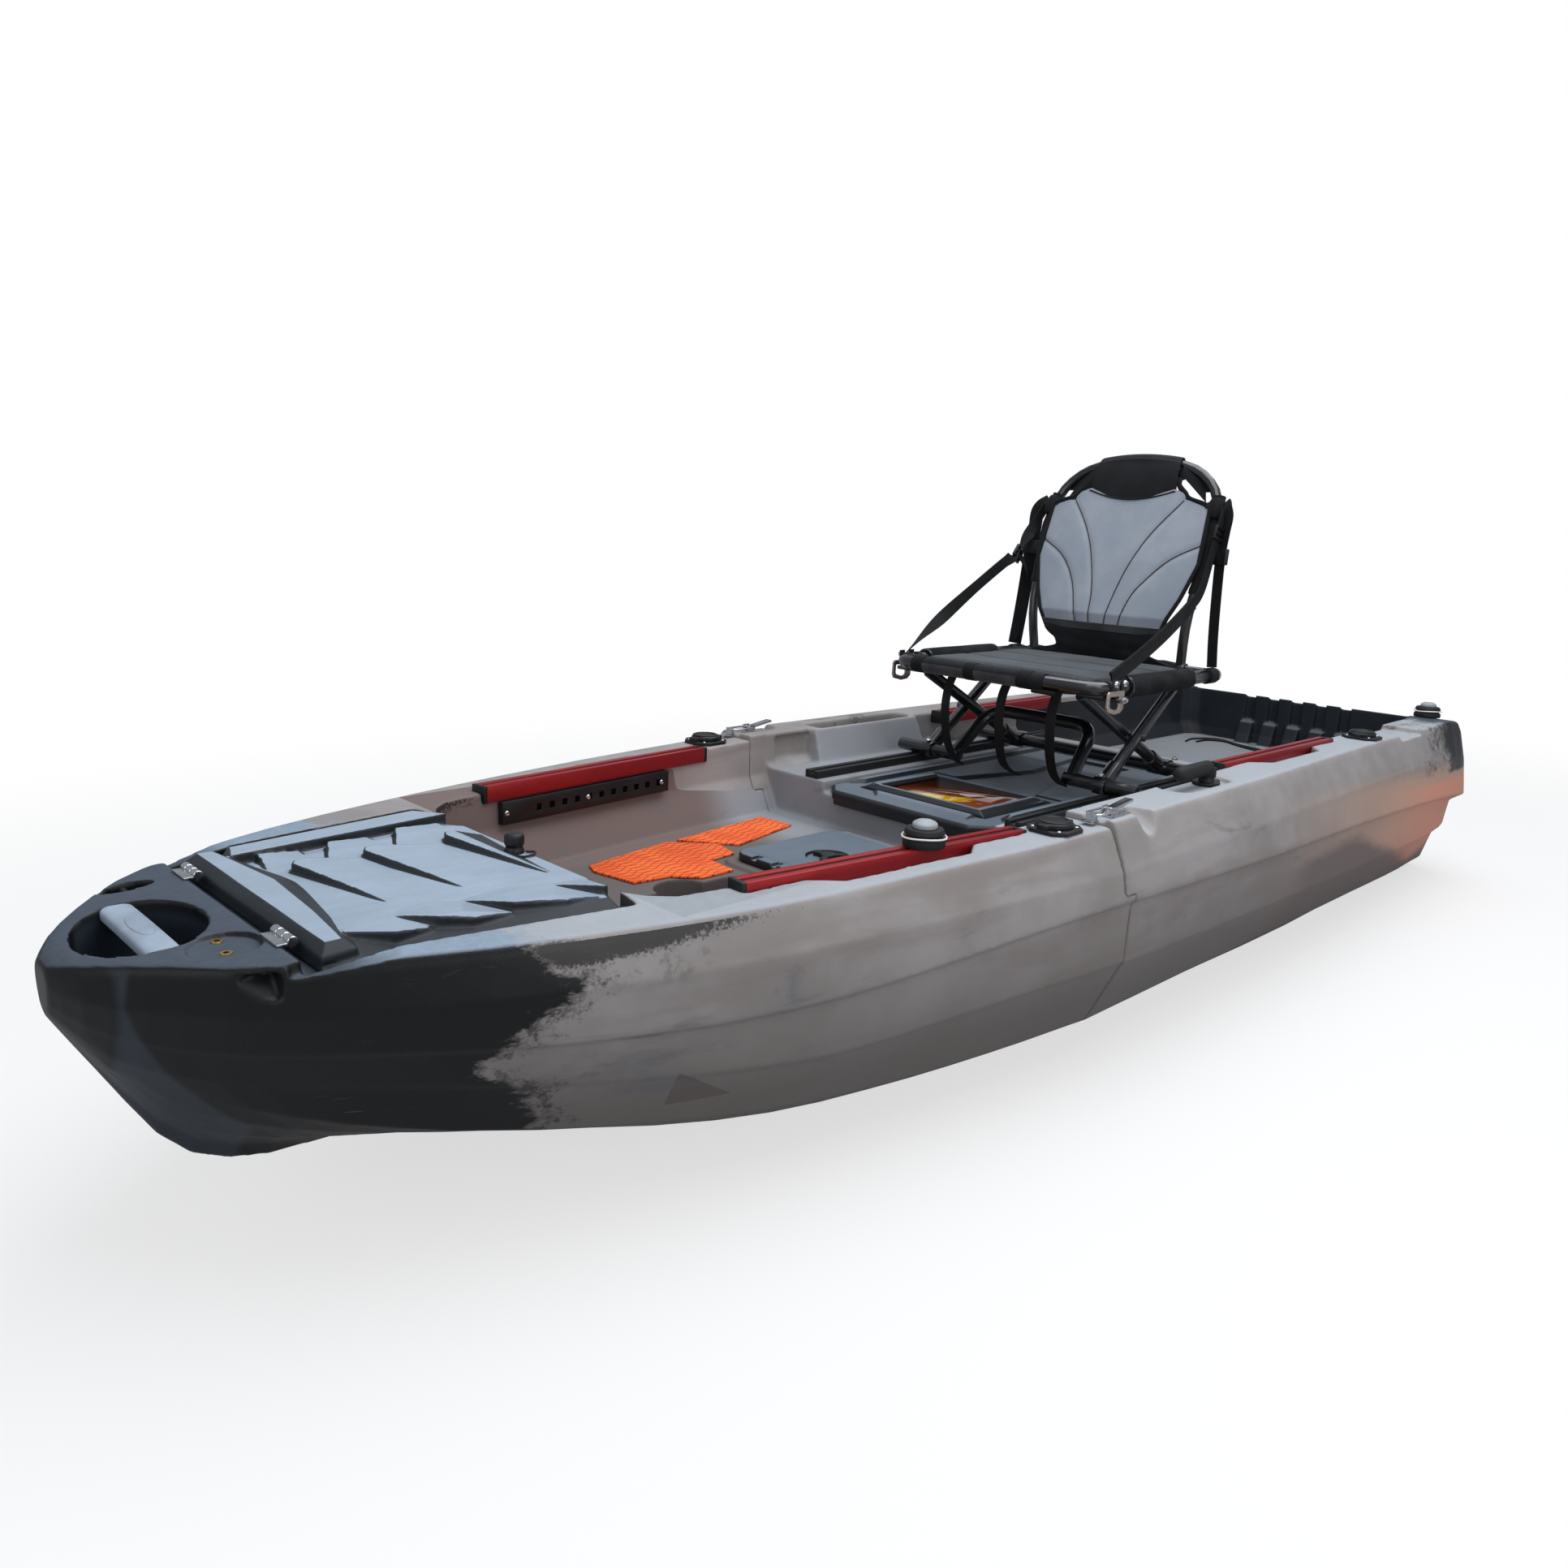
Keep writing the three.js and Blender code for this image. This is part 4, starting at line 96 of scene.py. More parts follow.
class Value:
    """One output of a node, which Python's arithmetic works on."""

    def __init__(self, nodes, socket):
        self.nodes = nodes
        self.socket = socket

    def math(self, operation, *others):
        return self.nodes.node("ShaderNodeMath", {"operation": operation}, dict(enumerate([self, *others])))

    def __add__(self, other):
        return self.math("ADD", other)

    __radd__ = __add__

    def __sub__(self, other):
        return self.math("SUBTRACT", other)

    def __rsub__(self, other):
        return self.nodes.node("ShaderNodeMath", {"operation": "SUBTRACT"}, {0: other, 1: self})

    def __mul__(self, other):
        return self.math("MULTIPLY", other)

    __rmul__ = __mul__

    def __truediv__(self, other):
        return self.math("DIVIDE", other)

    def __neg__(self):
        return self * -1

    def __abs__(self):
        return self.math("ABSOLUTE")

    def __lt__(self, other):
        return self.math("LESS_THAN", other)

    def __gt__(self, other):
        return self.math("GREATER_THAN", other)

    def sine(self):
        return self.math("SINE")

    def either(self, other):
        return self.math("MAXIMUM", other)

    def rise(self, low, high):
        """0 up to low and 1 from high on, with a soft step between."""
        if low > high:
            return 1 - self.rise(high, low)
        settings = {"interpolation_type": "SMOOTHSTEP"}
        return self.nodes.node("ShaderNodeMapRange", settings, {"Value": self, "From Min": low, "From Max": high})

    def around(self, middle, width):
        """1 at the middle and 0 from the width on, either side."""
        return abs(self - middle).rise(width, 0)


class Nodes:
    """A tree of shader nodes, empty at first."""

    def __init__(self, tree):
        self.tree = tree
        tree.nodes.clear()

    def plug(self, socket, value):
        if isinstance(value, Value):
            self.tree.links.new(value.socket, socket)
        else:
            socket.default_value = value

    def node(self, kind, settings=None, sockets=None, output=0):
        """A node by its type, its settings and the values or links of its sockets; gives one output."""
        node = self.tree.nodes.new(kind)
        for setting, value in (settings or {}).items():
            if setting == "curve":
                curve = node.mapping.curves[0]
                while len(curve.points) < len(value):
                    curve.points.new(1.0, 1.0)
                for point, place in zip(curve.points, value):
                    point.location = place
                node.mapping.update()
            else:
                setattr(node, setting, value)
        for key, value in (sockets or {}).items():
            self.plug(node.inputs[key], value)
        return Value(self, node.outputs[output])


class Finish(Nodes):
    """A material with one Principled shader."""

    def __init__(self, name, roughness=0.5, metallic=0.0, **sockets):
        self.material = bpy.data.materials.new(name)
        self.material.use_nodes = True
        super().__init__(self.material.node_tree)
        self.shader = self.tree.nodes.new("ShaderNodeBsdfPrincipled")
        self.output = self.tree.nodes.new("ShaderNodeOutputMaterial")
        self.tree.links.new(self.shader.outputs["BSDF"], self.output.inputs["Surface"])
        self.set("Roughness", roughness)
        self.set("Metallic", metallic)
        for socket, value in sockets.items():
            self.set(socket.replace("_", " ").title(), value)

    def set(self, socket, value):
        self.plug(self.shader.inputs[socket], value)

    def place(self):
        return self.node("ShaderNodeTexCoord", output="Object")

    def normal(self):
        return self.node("ShaderNodeTexCoord", output="Normal")

    def split(self, vector):
        return [self.node("ShaderNodeSeparateXYZ", None, {"Vector": vector}, axis) for axis in "XYZ"]

    def stretch(self, vector, scale):
        """The vector times a scale along each axis."""
        return self.node("ShaderNodeVectorMath", {"operation": "MULTIPLY"}, {0: vector, 1: scale})

    def noise(self, vector, scale, detail=3.0, rough=0.55, distortion=0.0):
        sockets = {"Vector": vector, "Scale": scale, "Detail": detail, "Roughness": rough,
                   "Distortion": distortion}
        return self.node("ShaderNodeTexNoise", None, sockets)

    def cells(self, vector, scale):
        return self.node("ShaderNodeTexVoronoi", None, {"Vector": vector, "Scale": scale}, "Distance")

    def mix(self, first, second, share):
        """From the first colour to the second as the share goes from 0 to 1."""
        return self.node("ShaderNodeMix", {"data_type": "RGBA", "clamp_factor": True},
                         {0: share, 6: first, 7: second}, 2)

    def layers(self, colour, coats):
        """The colour with coats of paint over it, each with its share."""
        for tint, share in coats:
            colour = self.mix(colour, paint(*tint), share)
        return colour

    def bump(self, height, distance, strength):
        """Relief of the given depth in metres."""
        sockets = {"Height": height, "Distance": distance, "Strength": strength}
        self.set("Normal", self.node("ShaderNodeBump", None, sockets))


# Floor, sky and lamps
BACKDROP = (1.0, 1.0, 1.0, 1.0)


def seen_directly(f):
    """1 for rays from the camera, and part of that for those that gloss, metal and glass send on."""
    rays = [f.node("ShaderNodeLightPath", None, None, ray)
            for ray in ("Is Camera Ray", "Is Glossy Ray", "Is Transmission Ray")]
    return rays[0].either(rays[1] * 0.22).either(rays[2])


def studio_floor():
    """Pale floor that keeps the shadow near the kayak and fades to the white backdrop."""
    f = Finish("studio_floor", roughness=0.9)
    f.set("Base Color", f.mix((0.30, 0.30, 0.31, 1.0), (0.80, 0.80, 0.80, 1.0), seen_directly(f)))
    x, y, _ = f.split(f.place())
    far = (x * x + y * y * 2.2).math("SQRT").rise(1.5, 4.2)
    glow = f.tree.nodes.new("ShaderNodeEmission")
    blend = f.tree.nodes.new("ShaderNodeMixShader")
    f.plug(glow.inputs["Color"], BACKDROP)
    f.plug(blend.inputs["Fac"], seen_directly(f) * (0.66 + 0.34 * far))
    f.tree.links.new(f.shader.outputs["BSDF"], blend.inputs[1])
    f.tree.links.new(glow.outputs["Emission"], blend.inputs[2])
    f.tree.links.new(blend.outputs["Shader"], f.output.inputs["Surface"])
    return f.material


def studio_sky():
    """White where it is seen, and a soft cool light from above for all else."""
    world = bpy.data.worlds.new("studio_sky")
    scene.world = world
    world.use_nodes = True
    tree = world.node_tree
    sky = Nodes(tree)
    output = tree.nodes.new("ShaderNodeOutputWorld")
    seen, lit = (tree.nodes.new("ShaderNodeBackground") for _ in range(2))
    blend = tree.nodes.new("ShaderNodeMixShader")
    sky.plug(seen.inputs["Color"], BACKDROP)
    sky.plug(seen.inputs["Strength"], 1.0)
    sky.plug(lit.inputs["Color"], (0.84, 0.90, 1.0, 1.0))
    sky.plug(lit.inputs["Strength"], 0.42)
    rays = [sky.node("ShaderNodeLightPath", None, None, ray) for ray in ("Is Camera Ray", "Is Transmission Ray")]
    sky.plug(blend.inputs["Fac"], rays[0].either(rays[1]))
    tree.links.new(lit.outputs[0], blend.inputs[1])
    tree.links.new(seen.outputs[0], blend.inputs[2])
    tree.links.new(blend.outputs[0], output.inputs["Surface"])


def lamp(name, at, aim, size, power, colour):
    """Soft lamp with a flat face, turned towards a point."""
    data = bpy.data.lights.new(name, "AREA")
    data.shape = "RECTANGLE"
    data.size, data.size_y = size
    data.energy = power
    data.color = colour
    obj = linked(name, data)
    obj.location = at
    obj.rotation_euler = (Vector(aim) - Vector(at)).to_track_quat("-Z", "Y").to_euler()


studio_sky()
lamp("lamp_over", (-0.2, 0.3, 3.2), (0.0, 0.0, 0.3), (4.2, 3.0), 118, (0.94, 0.97, 1.0))
lamp("lamp_port", (0.6, 3.6, 1.5), (0.0, 0.3, 0.25), (3.6, 1.6), 36, (1.0, 0.96, 0.92))
lamp("lamp_bow", (3.6, 0.6, 1.6), (0.9, 0.0, 0.3), (2.0, 1.6), 16, (1.0, 0.98, 0.96))

floor_mesh = bmesh.new()
bmesh.ops.create_circle(floor_mesh, cap_ends=True, segments=96, radius=14)
floor = linked("studio_floor", finished("studio_floor", floor_mesh))
floor.location.z = -0.0005
floor.data.materials.append(studio_floor())


# Finishes
def hull_plastic():
    """Rotomoulded polythene: grey in the middle, black at the bow and over the stern, torn into each other, with
    painted shade inside the cockpit and low on the sides, and painted sheen on faces that look up.
    """
    f = Finish("hull_plastic")
    f.set("Specular IOR Level", 0.24)
    place = f.place()
    x, y, z = f.split(place)
    _, _, up = f.split(f.normal())
    cloud = f.noise(place, 5.0, 4.0, 0.6)
    flame = f.noise(f.stretch(place, (6.0, 10.0, 16.0)), 2.6, 8.0, 0.72, 0.4)
    fine = f.noise(place, 60.0, 6.0, 0.7)
    speck = f.noise(place, 230.0, 3.0, 0.65)
    layer = f.noise(f.stretch(place, (1.6, 2.0, 11.0)), 1.7, 4.0, 0.55, 0.3)
    # low: where painted shade darkens the hull towards the bottom
    low = z.rise(0.33, 0.12)
    # The cockpit's inside: painted shade, darker forward and warmer on the starboard wall, and paler towards the rear
    cockpit_shade = (abs(y) < 0.335) * (z > 0.15) * (x > -0.55) * (x < 0.96)
    wall = cockpit_shade * (-y).rise(0.20, 0.26) * x.rise(0.25, 0.40)
    outer = abs(y).rise(0.33, 0.36).either(x.rise(-1.42, -1.45)) * up.rise(0.7, 0.4)
    knuckle = z - 0.348 - 0.05 * x
    warm = x.rise(-0.20, -1.00) * knuckle.rise(0.045, 0.0) * z.rise(0.10, 0.20) * outer
    glow = x.rise(-0.75, -1.25) * knuckle.rise(0.0, -0.02) * z.rise(0.03, 0.10) * outer
    bowl = (z - 0.232 + 0.30 * (-x - 0.70).either(0.0) + (flame - 0.5) * 0.03).rise(0.018, -0.018)
    dusk = f.noise(f.stretch(place, (2.2, 3.0, 7.0)), 2.3, 5.0, 0.6, 0.8)
    shade = dusk.rise(0.57, 0.72) * z.rise(0.385, 0.35) * x.rise(-0.80, -0.45)
    grey = f.mix(paint(137, 132, 130), paint(154, 150, 149), cloud.rise(0.35, 0.65))
    grey = f.layers(grey, [
        ((132, 124, 121), layer.rise(0.48, 0.72) * 0.75),
        # Painted shade, darker low on the hull
        ((104, 99, 97), low * 0.9),
        # Painted shade in the cockpit, warmer on its starboard wall, and paler blue-grey towards its rear
        ((96, 88, 85), cockpit_shade * 0.9),
        ((116, 100, 96), wall * (0.6 + 0.4 * layer)),
        ((146, 150, 156), cockpit_shade * x.rise(0.40, 0.28) * (0.5 + 0.5 * cloud)),
        ((186, 152, 134), warm * (0.75 + 0.3 * cloud)),
        ((212, 148, 126), glow * (0.85 + 0.2 * cloud)),
        ((104, 94, 92), bowl * outer * x.rise(-0.25, -0.5) * 0.9),
        ((96, 101, 106), shade * 0.6),
        ((60, 62, 66), speck.rise(0.66, 0.74) * fine.rise(0.54, 0.64) * 0.6),
    ])
    edge = f.node("ShaderNodeFloatCurve", {"curve": [
        (0.0, 0.30), (0.36, 0.30), (0.53, 0.45), (0.61, 0.68), (0.66, 0.58), (0.77, 0.42), (0.83, 0.26),
        (0.89, 0.36), (1.0, 0.48),
    ]}, {"Value": z / 0.4})
    bow = x - (1.03 + 0.2 * edge) + (flame - 0.5) * 0.12 + (fine - 0.5) * 0.035
    bow_black = bow.rise(-0.006, 0.018)
    veil = (bow + (speck - 0.5) * 0.09).rise(-0.035, 0.0) * fine.rise(0.40, 0.60)
    streak = f.noise(f.stretch(place, (5.0, 9.0, 26.0)), 3.0, 8.0, 0.75, 0.6)
    bow_grey = streak.rise(0.60, 0.70) * bow.rise(0.30, 0.02) * 0.6
    band = (z - 0.371 + (cloud - 0.5) * 0.012 - 0.014 * x.rise(1.10, 0.86)).around(0.0, 0.030)
    spray = band * x.rise(0.74, 1.05) * (1 - bow_black) * (up < 0.6)
    speckled = (spray + (speck - 0.5) * 1.2 + (fine - 0.5) * 0.5).rise(0.26, 0.62) * 0.85
    smudge = x.around(1.0, 0.10) * z.around(0.345, 0.03) * f.noise(place, 22.0, 5.0, 0.7).rise(0.50, 0.64)
    lower = x.around(1.05, 0.16) * z.around(0.225, 0.045) * cloud.rise(0.35, 0.6) * flame.rise(0.45, 0.6)
    drag = f.noise(f.stretch(place, (5.0, 5.0, 7.0)), 3.2, 8.0, 0.75, 0.7)
    corner = (-x - 1.24 + 0.35 * (z - 0.36) + (drag - 0.5) * 0.24 + (fine - 0.5) * 0.06).rise(-0.012, 0.06)
    stern_black = corner * (knuckle + (drag - 0.5) * 0.012).rise(0.0, 0.010)
    smoke = (-x - 1.06 + (drag - 0.5) * 0.5).rise(0.0, 0.14) * drag.rise(0.44, 0.60) * fine.rise(0.38, 0.60)
    stern_black = stern_black.either(smoke * knuckle.rise(0.0, 0.02) * 0.75)
    far = f.noise(f.stretch(place, (3.0, 5.0, 14.0)), 3.0, 7.0, 0.7, 0.5)
    stern_black = stern_black.either(far.rise(0.58, 0.66) * x.around(-1.12, 0.16) * z.rise(0.31, 0.36) * 0.8)
    tank_well = (x < -0.60) * (x > -1.425) * (abs(y) < 0.352)
    tank = tank_well * (z < 0.392) * (z > 0.262)
    tank_floor = tank_well * (z < 0.262) * (z > 0.15)
    pocket = x.around(-0.07, 0.24) * (-y).rise(0.32, 0.36) * (-y).rise(0.425, 0.405) * z.rise(0.30, 0.33)
    pocket = pocket * f.noise(place, 9.0, 5.0, 0.7).rise(0.50, 0.62)
    dark = bow_black.either(veil * 0.75).either(stern_black).either(speckled).either(smudge * 0.6)
    dark = dark.either(lower * 0.5).either(tank * 0.97).either(pocket * 0.8)
    # flat: faces that look up, which get painted sky sheen below
    flat = up.rise(0.72, 0.97)
    # Painted sky sheen on the up-facing deck strip beside the bow lid
    strip = flat * x.rise(1.30, 1.23) * x.rise(0.5, 0.9) * z.rise(0.355, 0.372)
    # Painted light in the handle well
    well = x.rise(1.335, 1.35) * x.rise(1.462, 1.452) * abs(y).rise(0.108, 0.100) * z.rise(0.376, 0.360)
    black = f.mix(paint(12, 14, 16), paint(44, 50, 57), bow_grey.either(cloud.rise(0.58, 0.85) * 0.3))
    black = f.layers(black, [
        # Painted sky sheen on black faces that look up
        ((80, 90, 102), flat * (0.45 + 0.5 * fine) * z.rise(0.30, 0.36)),
        # Painted sky sheen on the deck strip
        ((146, 163, 180), strip * (0.45 + 0.6 * fine)),
        # Painted light in the handle well
        ((50, 58, 68), well * (0.5 + 0.5 * cloud)),
        ((36, 40, 46), tank * (0.35 + 0.8 * cloud)),
        # Painted sheen on the tank walls' up-facing faces
        ((84, 92, 100), tank * up.rise(0.55, 0.95) * 0.8),
    ])
    # top: grey faces that look up, which get painted sheen, stronger towards the port side
    top = flat * (1 - dark) * (z > 0.3)
    colour = f.layers(f.mix(grey, black, dark), [
        ((116, 124, 130), tank_floor * (0.35 + 0.55 * cloud)),
        # Painted sheen on grey faces that look up
        ((164, 172, 180), top * (0.45 + 0.4 * fine) * y.rise(-0.10, 0.10)),
    ])
    scratch = f.noise(f.stretch(place, (3.0, 5.0, 90.0)), 3.0, 3.0, 0.5).rise(0.70, 0.74)
    scratch = scratch * f.noise(place, 6.0).rise(0.5, 0.6)
    colour = f.mix(colour, paint(110, 118, 128), scratch * dark * 0.35)
    f.set("Base Color", colour)
    f.set("Roughness", 0.36 + 0.12 * cloud + 0.18 * (1 - dark) + 0.14 * flat)
    f.bump(f.noise(place, 420.0, 2.0, 0.5) * 0.6 + f.noise(place, 38.0, 2.0, 0.5), 0.0006, 0.35)
    return f.material


def sky_sheen_plastic(name, side, top, gloss=0.5, flat=(0.83, 0.975), deep=None):
    """Moulded plastic, painted paler where it faces the sky as a sheen of reflected sky."""
    f = Finish(name)
    f.set("Specular IOR Level", 0.3)
    place = f.place()
    _, _, z = f.split(place)
    _, _, up = f.split(f.normal())
    cloud = f.noise(place, 7.0, 4.0, 0.6)
    smear = f.noise(f.stretch(place, (2.0, 9.0, 2.0)), 5.0, 5.0, 0.65)
    grit = f.noise(place, 150.0, 4.0, 0.7)
    # face: the share of painted sky sheen, by how far a face looks up; deep weakens it low in sunken parts, as painted
    # shade
    face = up.rise(*flat)
    if deep:
        face = face * (0.66 + 0.34 * z.rise(*deep)) * (0.75 + 0.5 * cloud)
    pale = f.mix(top, side, 0.22 * cloud + 0.22 * smear + 0.10 * grit)
    colour = f.mix(f.mix(side, top, 0.08 * cloud), pale, face)
    # Paler blue-white spots, only on the faces that get the painted sheen
    mark = f.noise(place, 26.0, 6.0, 0.75, 0.6).rise(0.66, 0.72) * face
    f.set("Base Color", f.mix(colour, paint(196, 204, 212), mark * 0.35))
    f.set("Roughness", gloss - 0.1 + 0.2 * cloud)
    f.bump(f.noise(place, 900.0, 3.0, 0.6) + 0.4 * grit, 0.0004, 0.5)
    return f.material


def plain_plastic(name, colour, roughness=0.45, grain=700.0, depth=0.00025):
    """Even moulded plastic or rubber with a fine skin."""
    f = Finish(name)
    f.set("Specular IOR Level", 0.35)
    place = f.place()
    cloud = f.noise(place, 14.0, 4.0, 0.6)
    lighter = tuple(min(1.0, c * 1.5 + 0.004) for c in colour[:3]) + (1.0,)
    f.set("Base Color", f.mix(colour, lighter, cloud.rise(0.3, 0.8)))
    f.set("Roughness", roughness - 0.07 + 0.16 * cloud)
    f.bump(f.noise(place, grain, 3.0, 0.6), depth, 0.5)
    return f.material


def anodised_red():
    """Extruded aluminium, anodised red: fine die lines run along it."""
    f = Finish("anodised_red", metallic=0.55)
    place = f.place()
    lines = f.noise(f.stretch(place, (3.0, 260.0, 260.0)), 6.0, 3.0, 0.6)
    cloud = f.noise(place, 12.0)
    f.set("Base Color", f.mix(paint(168, 36, 40), paint(118, 20, 26), lines.rise(0.35, 0.7) * 0.5 + 0.3 * cloud))
    f.set("Roughness", 0.34 + 0.14 * lines)
    f.bump(lines, 0.00012, 0.4)
    return f.material


def steel(name, colour, roughness, grain=(300.0, 300.0, 20.0)):
    """Bare metal, brushed along one way."""
    f = Finish(name, metallic=1.0)
    place = f.place()
    brushed = f.noise(f.stretch(place, grain), 2.0, 3.0, 0.6)
    f.set("Base Color", f.mix(colour, tuple(c * 0.62 for c in colour[:3]) + (1.0,), brushed.rise(0.3, 0.8)))
    f.set("Roughness", roughness + 0.12 * brushed)
    return f.material


def orange_foam():
    """Foam mat cut with a net of wavy grooves, like scales."""
    f = Finish("orange_foam")
    place = f.place()
    x, y, _ = f.split(place)
    sway = (x * (2 * math.pi / 0.048)).sine() * 0.5
    one = abs(((x * 0.40 + y) * (math.pi / 0.0145) + sway).sine())
    two = abs(((x * 0.40 - y) * (math.pi / 0.0145) + sway).sine())
    line = one.rise(0.30, 0.10).either(two.rise(0.30, 0.10))
    cloud = f.noise(place, 18.0, 4.0)
    pore = f.noise(place, 1500.0, 2.0)
    base = f.mix(paint(248, 112, 44), paint(230, 90, 30), cloud.rise(0.3, 0.7))
    # The grooves are painted darker, as shade in them
    f.set("Base Color", f.mix(base, paint(150, 52, 16), line * 0.9))
    f.set("Roughness", 0.82)
    f.bump((1 - line) + 0.15 * pore, 0.0009, 0.9)
    return f.material


def amber_pane():
    """Clear amber plastic over a dark hold, with one painted bright reflection at its corner and painted thin streaks
    of reflected sky.
    """
    f = Finish("amber_pane", roughness=0.10, coat_weight=1.0, coat_roughness=0.04)
    place = f.place()
    x, y, _ = f.split(place)
    wave = f.noise(place, 9.0, 2.0, 0.5)
    base = f.mix(paint(58, 26, 12), paint(128, 60, 24), (x + 0.4 * y + 0.06 * wave).rise(-0.06, 0.10))
    slant = x * 0.9 + y * 0.44 + (wave - 0.5) * 0.02
    # Painted reflection: a bright yellow glint at the pane's corner
    painted_glint = slant.around(0.074, 0.030).rise(0.10, 0.55) * y.rise(0.055, 0.020) * y.rise(-0.085, -0.050)
    fold = f.noise(f.stretch(place, (3.0, 9.0, 1.0)), 6.0, 3.0, 0.5)
    glow = f.mix(paint(206, 160, 16), paint(238, 206, 52), fold.rise(0.4, 0.6))
    colour = f.mix(base, glow, painted_glint)
    # Painted reflection: thin pale streaks of the sky
    line = slant.around(0.030, 0.0035).either(slant.around(0.012, 0.0025)) * y.rise(-0.07, -0.02) * y.rise(0.09, 0.03)
    f.set("Base Color", f.mix(colour, paint(250, 240, 226), line))
    f.bump(wave, 0.001, 0.3)
    return f.material


def gloss_tube():
    """Black powder coat on steel tube."""
    f = Finish("gloss_tube", coat_weight=0.6, coat_roughness=0.12)
    place = f.place()
    peel = f.noise(place, 500.0, 2.0)
    cloud = f.noise(place, 9.0, 4.0)
    f.set("Base Color", f.mix(paint(14, 15, 17), paint(30, 31, 34), cloud.rise(0.4, 0.8)))
    f.set("Roughness", 0.24 + 0.12 * cloud)
    f.bump(peel, 0.00015, 0.4)
    return f.material


def woven(name, colour, thread, pitch, lean=(1.0, 1.0), hollow=0.45, sheen=0.2, border=False):
    """Cloth or mesh: two sets of threads over and under each other, painted dark in the holes between them as shade.
    """
    f = Finish(name, roughness=0.85, sheen_weight=sheen)
    f.set("Specular IOR Level", 0.25)
    place = f.place()
    x, y, z = f.split(place)
    turn = 2 * math.pi / pitch
    across = (y * turn * lean[0]).sine()
    along = ((z + x * lean[1]) * turn).sine()
    weave = across * along
    # hole: the gaps between threads, painted darker as shade
    hole = weave.rise(hollow, 1.0)
    cloud = f.noise(place, 11.0, 4.0, 0.6)
    base = f.mix(colour, thread, cloud.rise(0.35, 0.7) * 0.6)
    if border:
        rim = x.rise(-0.072, -0.068).either(abs(y).rise(0.183, 0.186))
        base = f.mix(base, paint(18, 19, 21), rim)
    f.set("Base Color", f.mix(base, tuple(c * 0.3 for c in colour[:3]) + (1.0,), hole * 0.7))
    f.bump(0.5 + 0.5 * weave, 0.0005, 0.5)
    return f.material


def webbing():
    """Flat nylon tape with ribs across it."""
    f = Finish("webbing", roughness=0.75, sheen_weight=0.03)
    f.set("Specular IOR Level", 0.2)
    place = f.place()
    x, y, z = f.split(place)
    rib = ((x * 0.5 + z + y * 0.2) * (2 * math.pi / 0.0024)).sine()
    cloud = f.noise(place, 30.0, 4.0)
    f.set("Base Color", f.mix(paint(11, 12, 13), paint(28, 30, 33), cloud.rise(0.4, 0.75) * 0.6 + 0.15 * rib))
    f.bump(0.5 + 0.5 * rib, 0.0003, 0.6)
    return f.material


def foam_sleeve():
    """Black foam with open pores."""
    f = Finish("foam_sleeve", roughness=0.9)
    place = f.place()
    pore = f.cells(place, 900.0)
    cloud = f.noise(place, 16.0, 5.0)
    f.set("Specular IOR Level", 0.2)
    f.set("Base Color", f.mix(paint(17, 18, 19), paint(36, 38, 40), cloud.rise(0.35, 0.75)))
    f.bump(pore, 0.0004, 0.6)
    return f.material


HULL = hull_plastic()
# Lids: black plastic, with the second colour painted on faces that look up as sky sheen
LID = sky_sheen_plastic("lid_plastic", paint(10, 12, 14), paint(170, 186, 203), flat=(0.962, 0.993))
DECK_LID = sky_sheen_plastic("deck_lid_plastic", paint(12, 13, 15), paint(128, 141, 154), gloss=0.42, flat=(0.95, 0.995),
                         deep=(0.3345, 0.3385))
FLAP_LID = sky_sheen_plastic("flap_plastic", paint(12, 13, 15), paint(120, 132, 144), gloss=0.42, flat=(0.93, 0.995))
FLOOR_LID = sky_sheen_plastic("floor_lid_plastic", paint(14, 16, 18), paint(112, 125, 138), gloss=0.42)
BLACK = plain_plastic("black_plastic", paint(15, 16, 18))
GREY = plain_plastic("grey_plastic", paint(134, 146, 160), 0.5)
CAP_GREY = plain_plastic("cap_plastic", paint(136, 140, 144), 0.5)
RUBBER = plain_plastic("rubber", paint(14, 15, 16), 0.62, 400.0, 0.0004)
WHITE = plain_plastic("white_plastic", paint(206, 206, 202), 0.5)
RED = anodised_red()
STEEL = steel("bright_steel", paint(214, 214, 216), 0.12)
PLATE = steel("plate_steel", paint(196, 182, 170), 0.36, (40.0, 40.0, 400.0))
BRASS = steel("brass", paint(206, 170, 96), 0.3)
MAT = orange_foam()
PANE = amber_pane()
TUBE = gloss_tube()
BACK_MESH = woven("back_mesh", paint(146, 154, 166), paint(166, 172, 182), 0.0022)
PAN_CLOTH = woven("pan_cloth", paint(36, 43, 48), paint(62, 73, 82), 0.0026, (1.0, 0.9), border=True)
DARK_CLOTH = woven("dark_cloth", paint(13, 14, 17), paint(28, 31, 36), 0.0016, (1.0, 0.8), hollow=0.6, sheen=0.06)
NET = woven("net", paint(40, 42, 45), paint(84, 87, 90), 0.0036, hollow=0.1)
WEBBING = webbing()
FOAM = foam_sleeve()
THREAD = plain_plastic("thread", paint(58, 46, 42), 0.8)


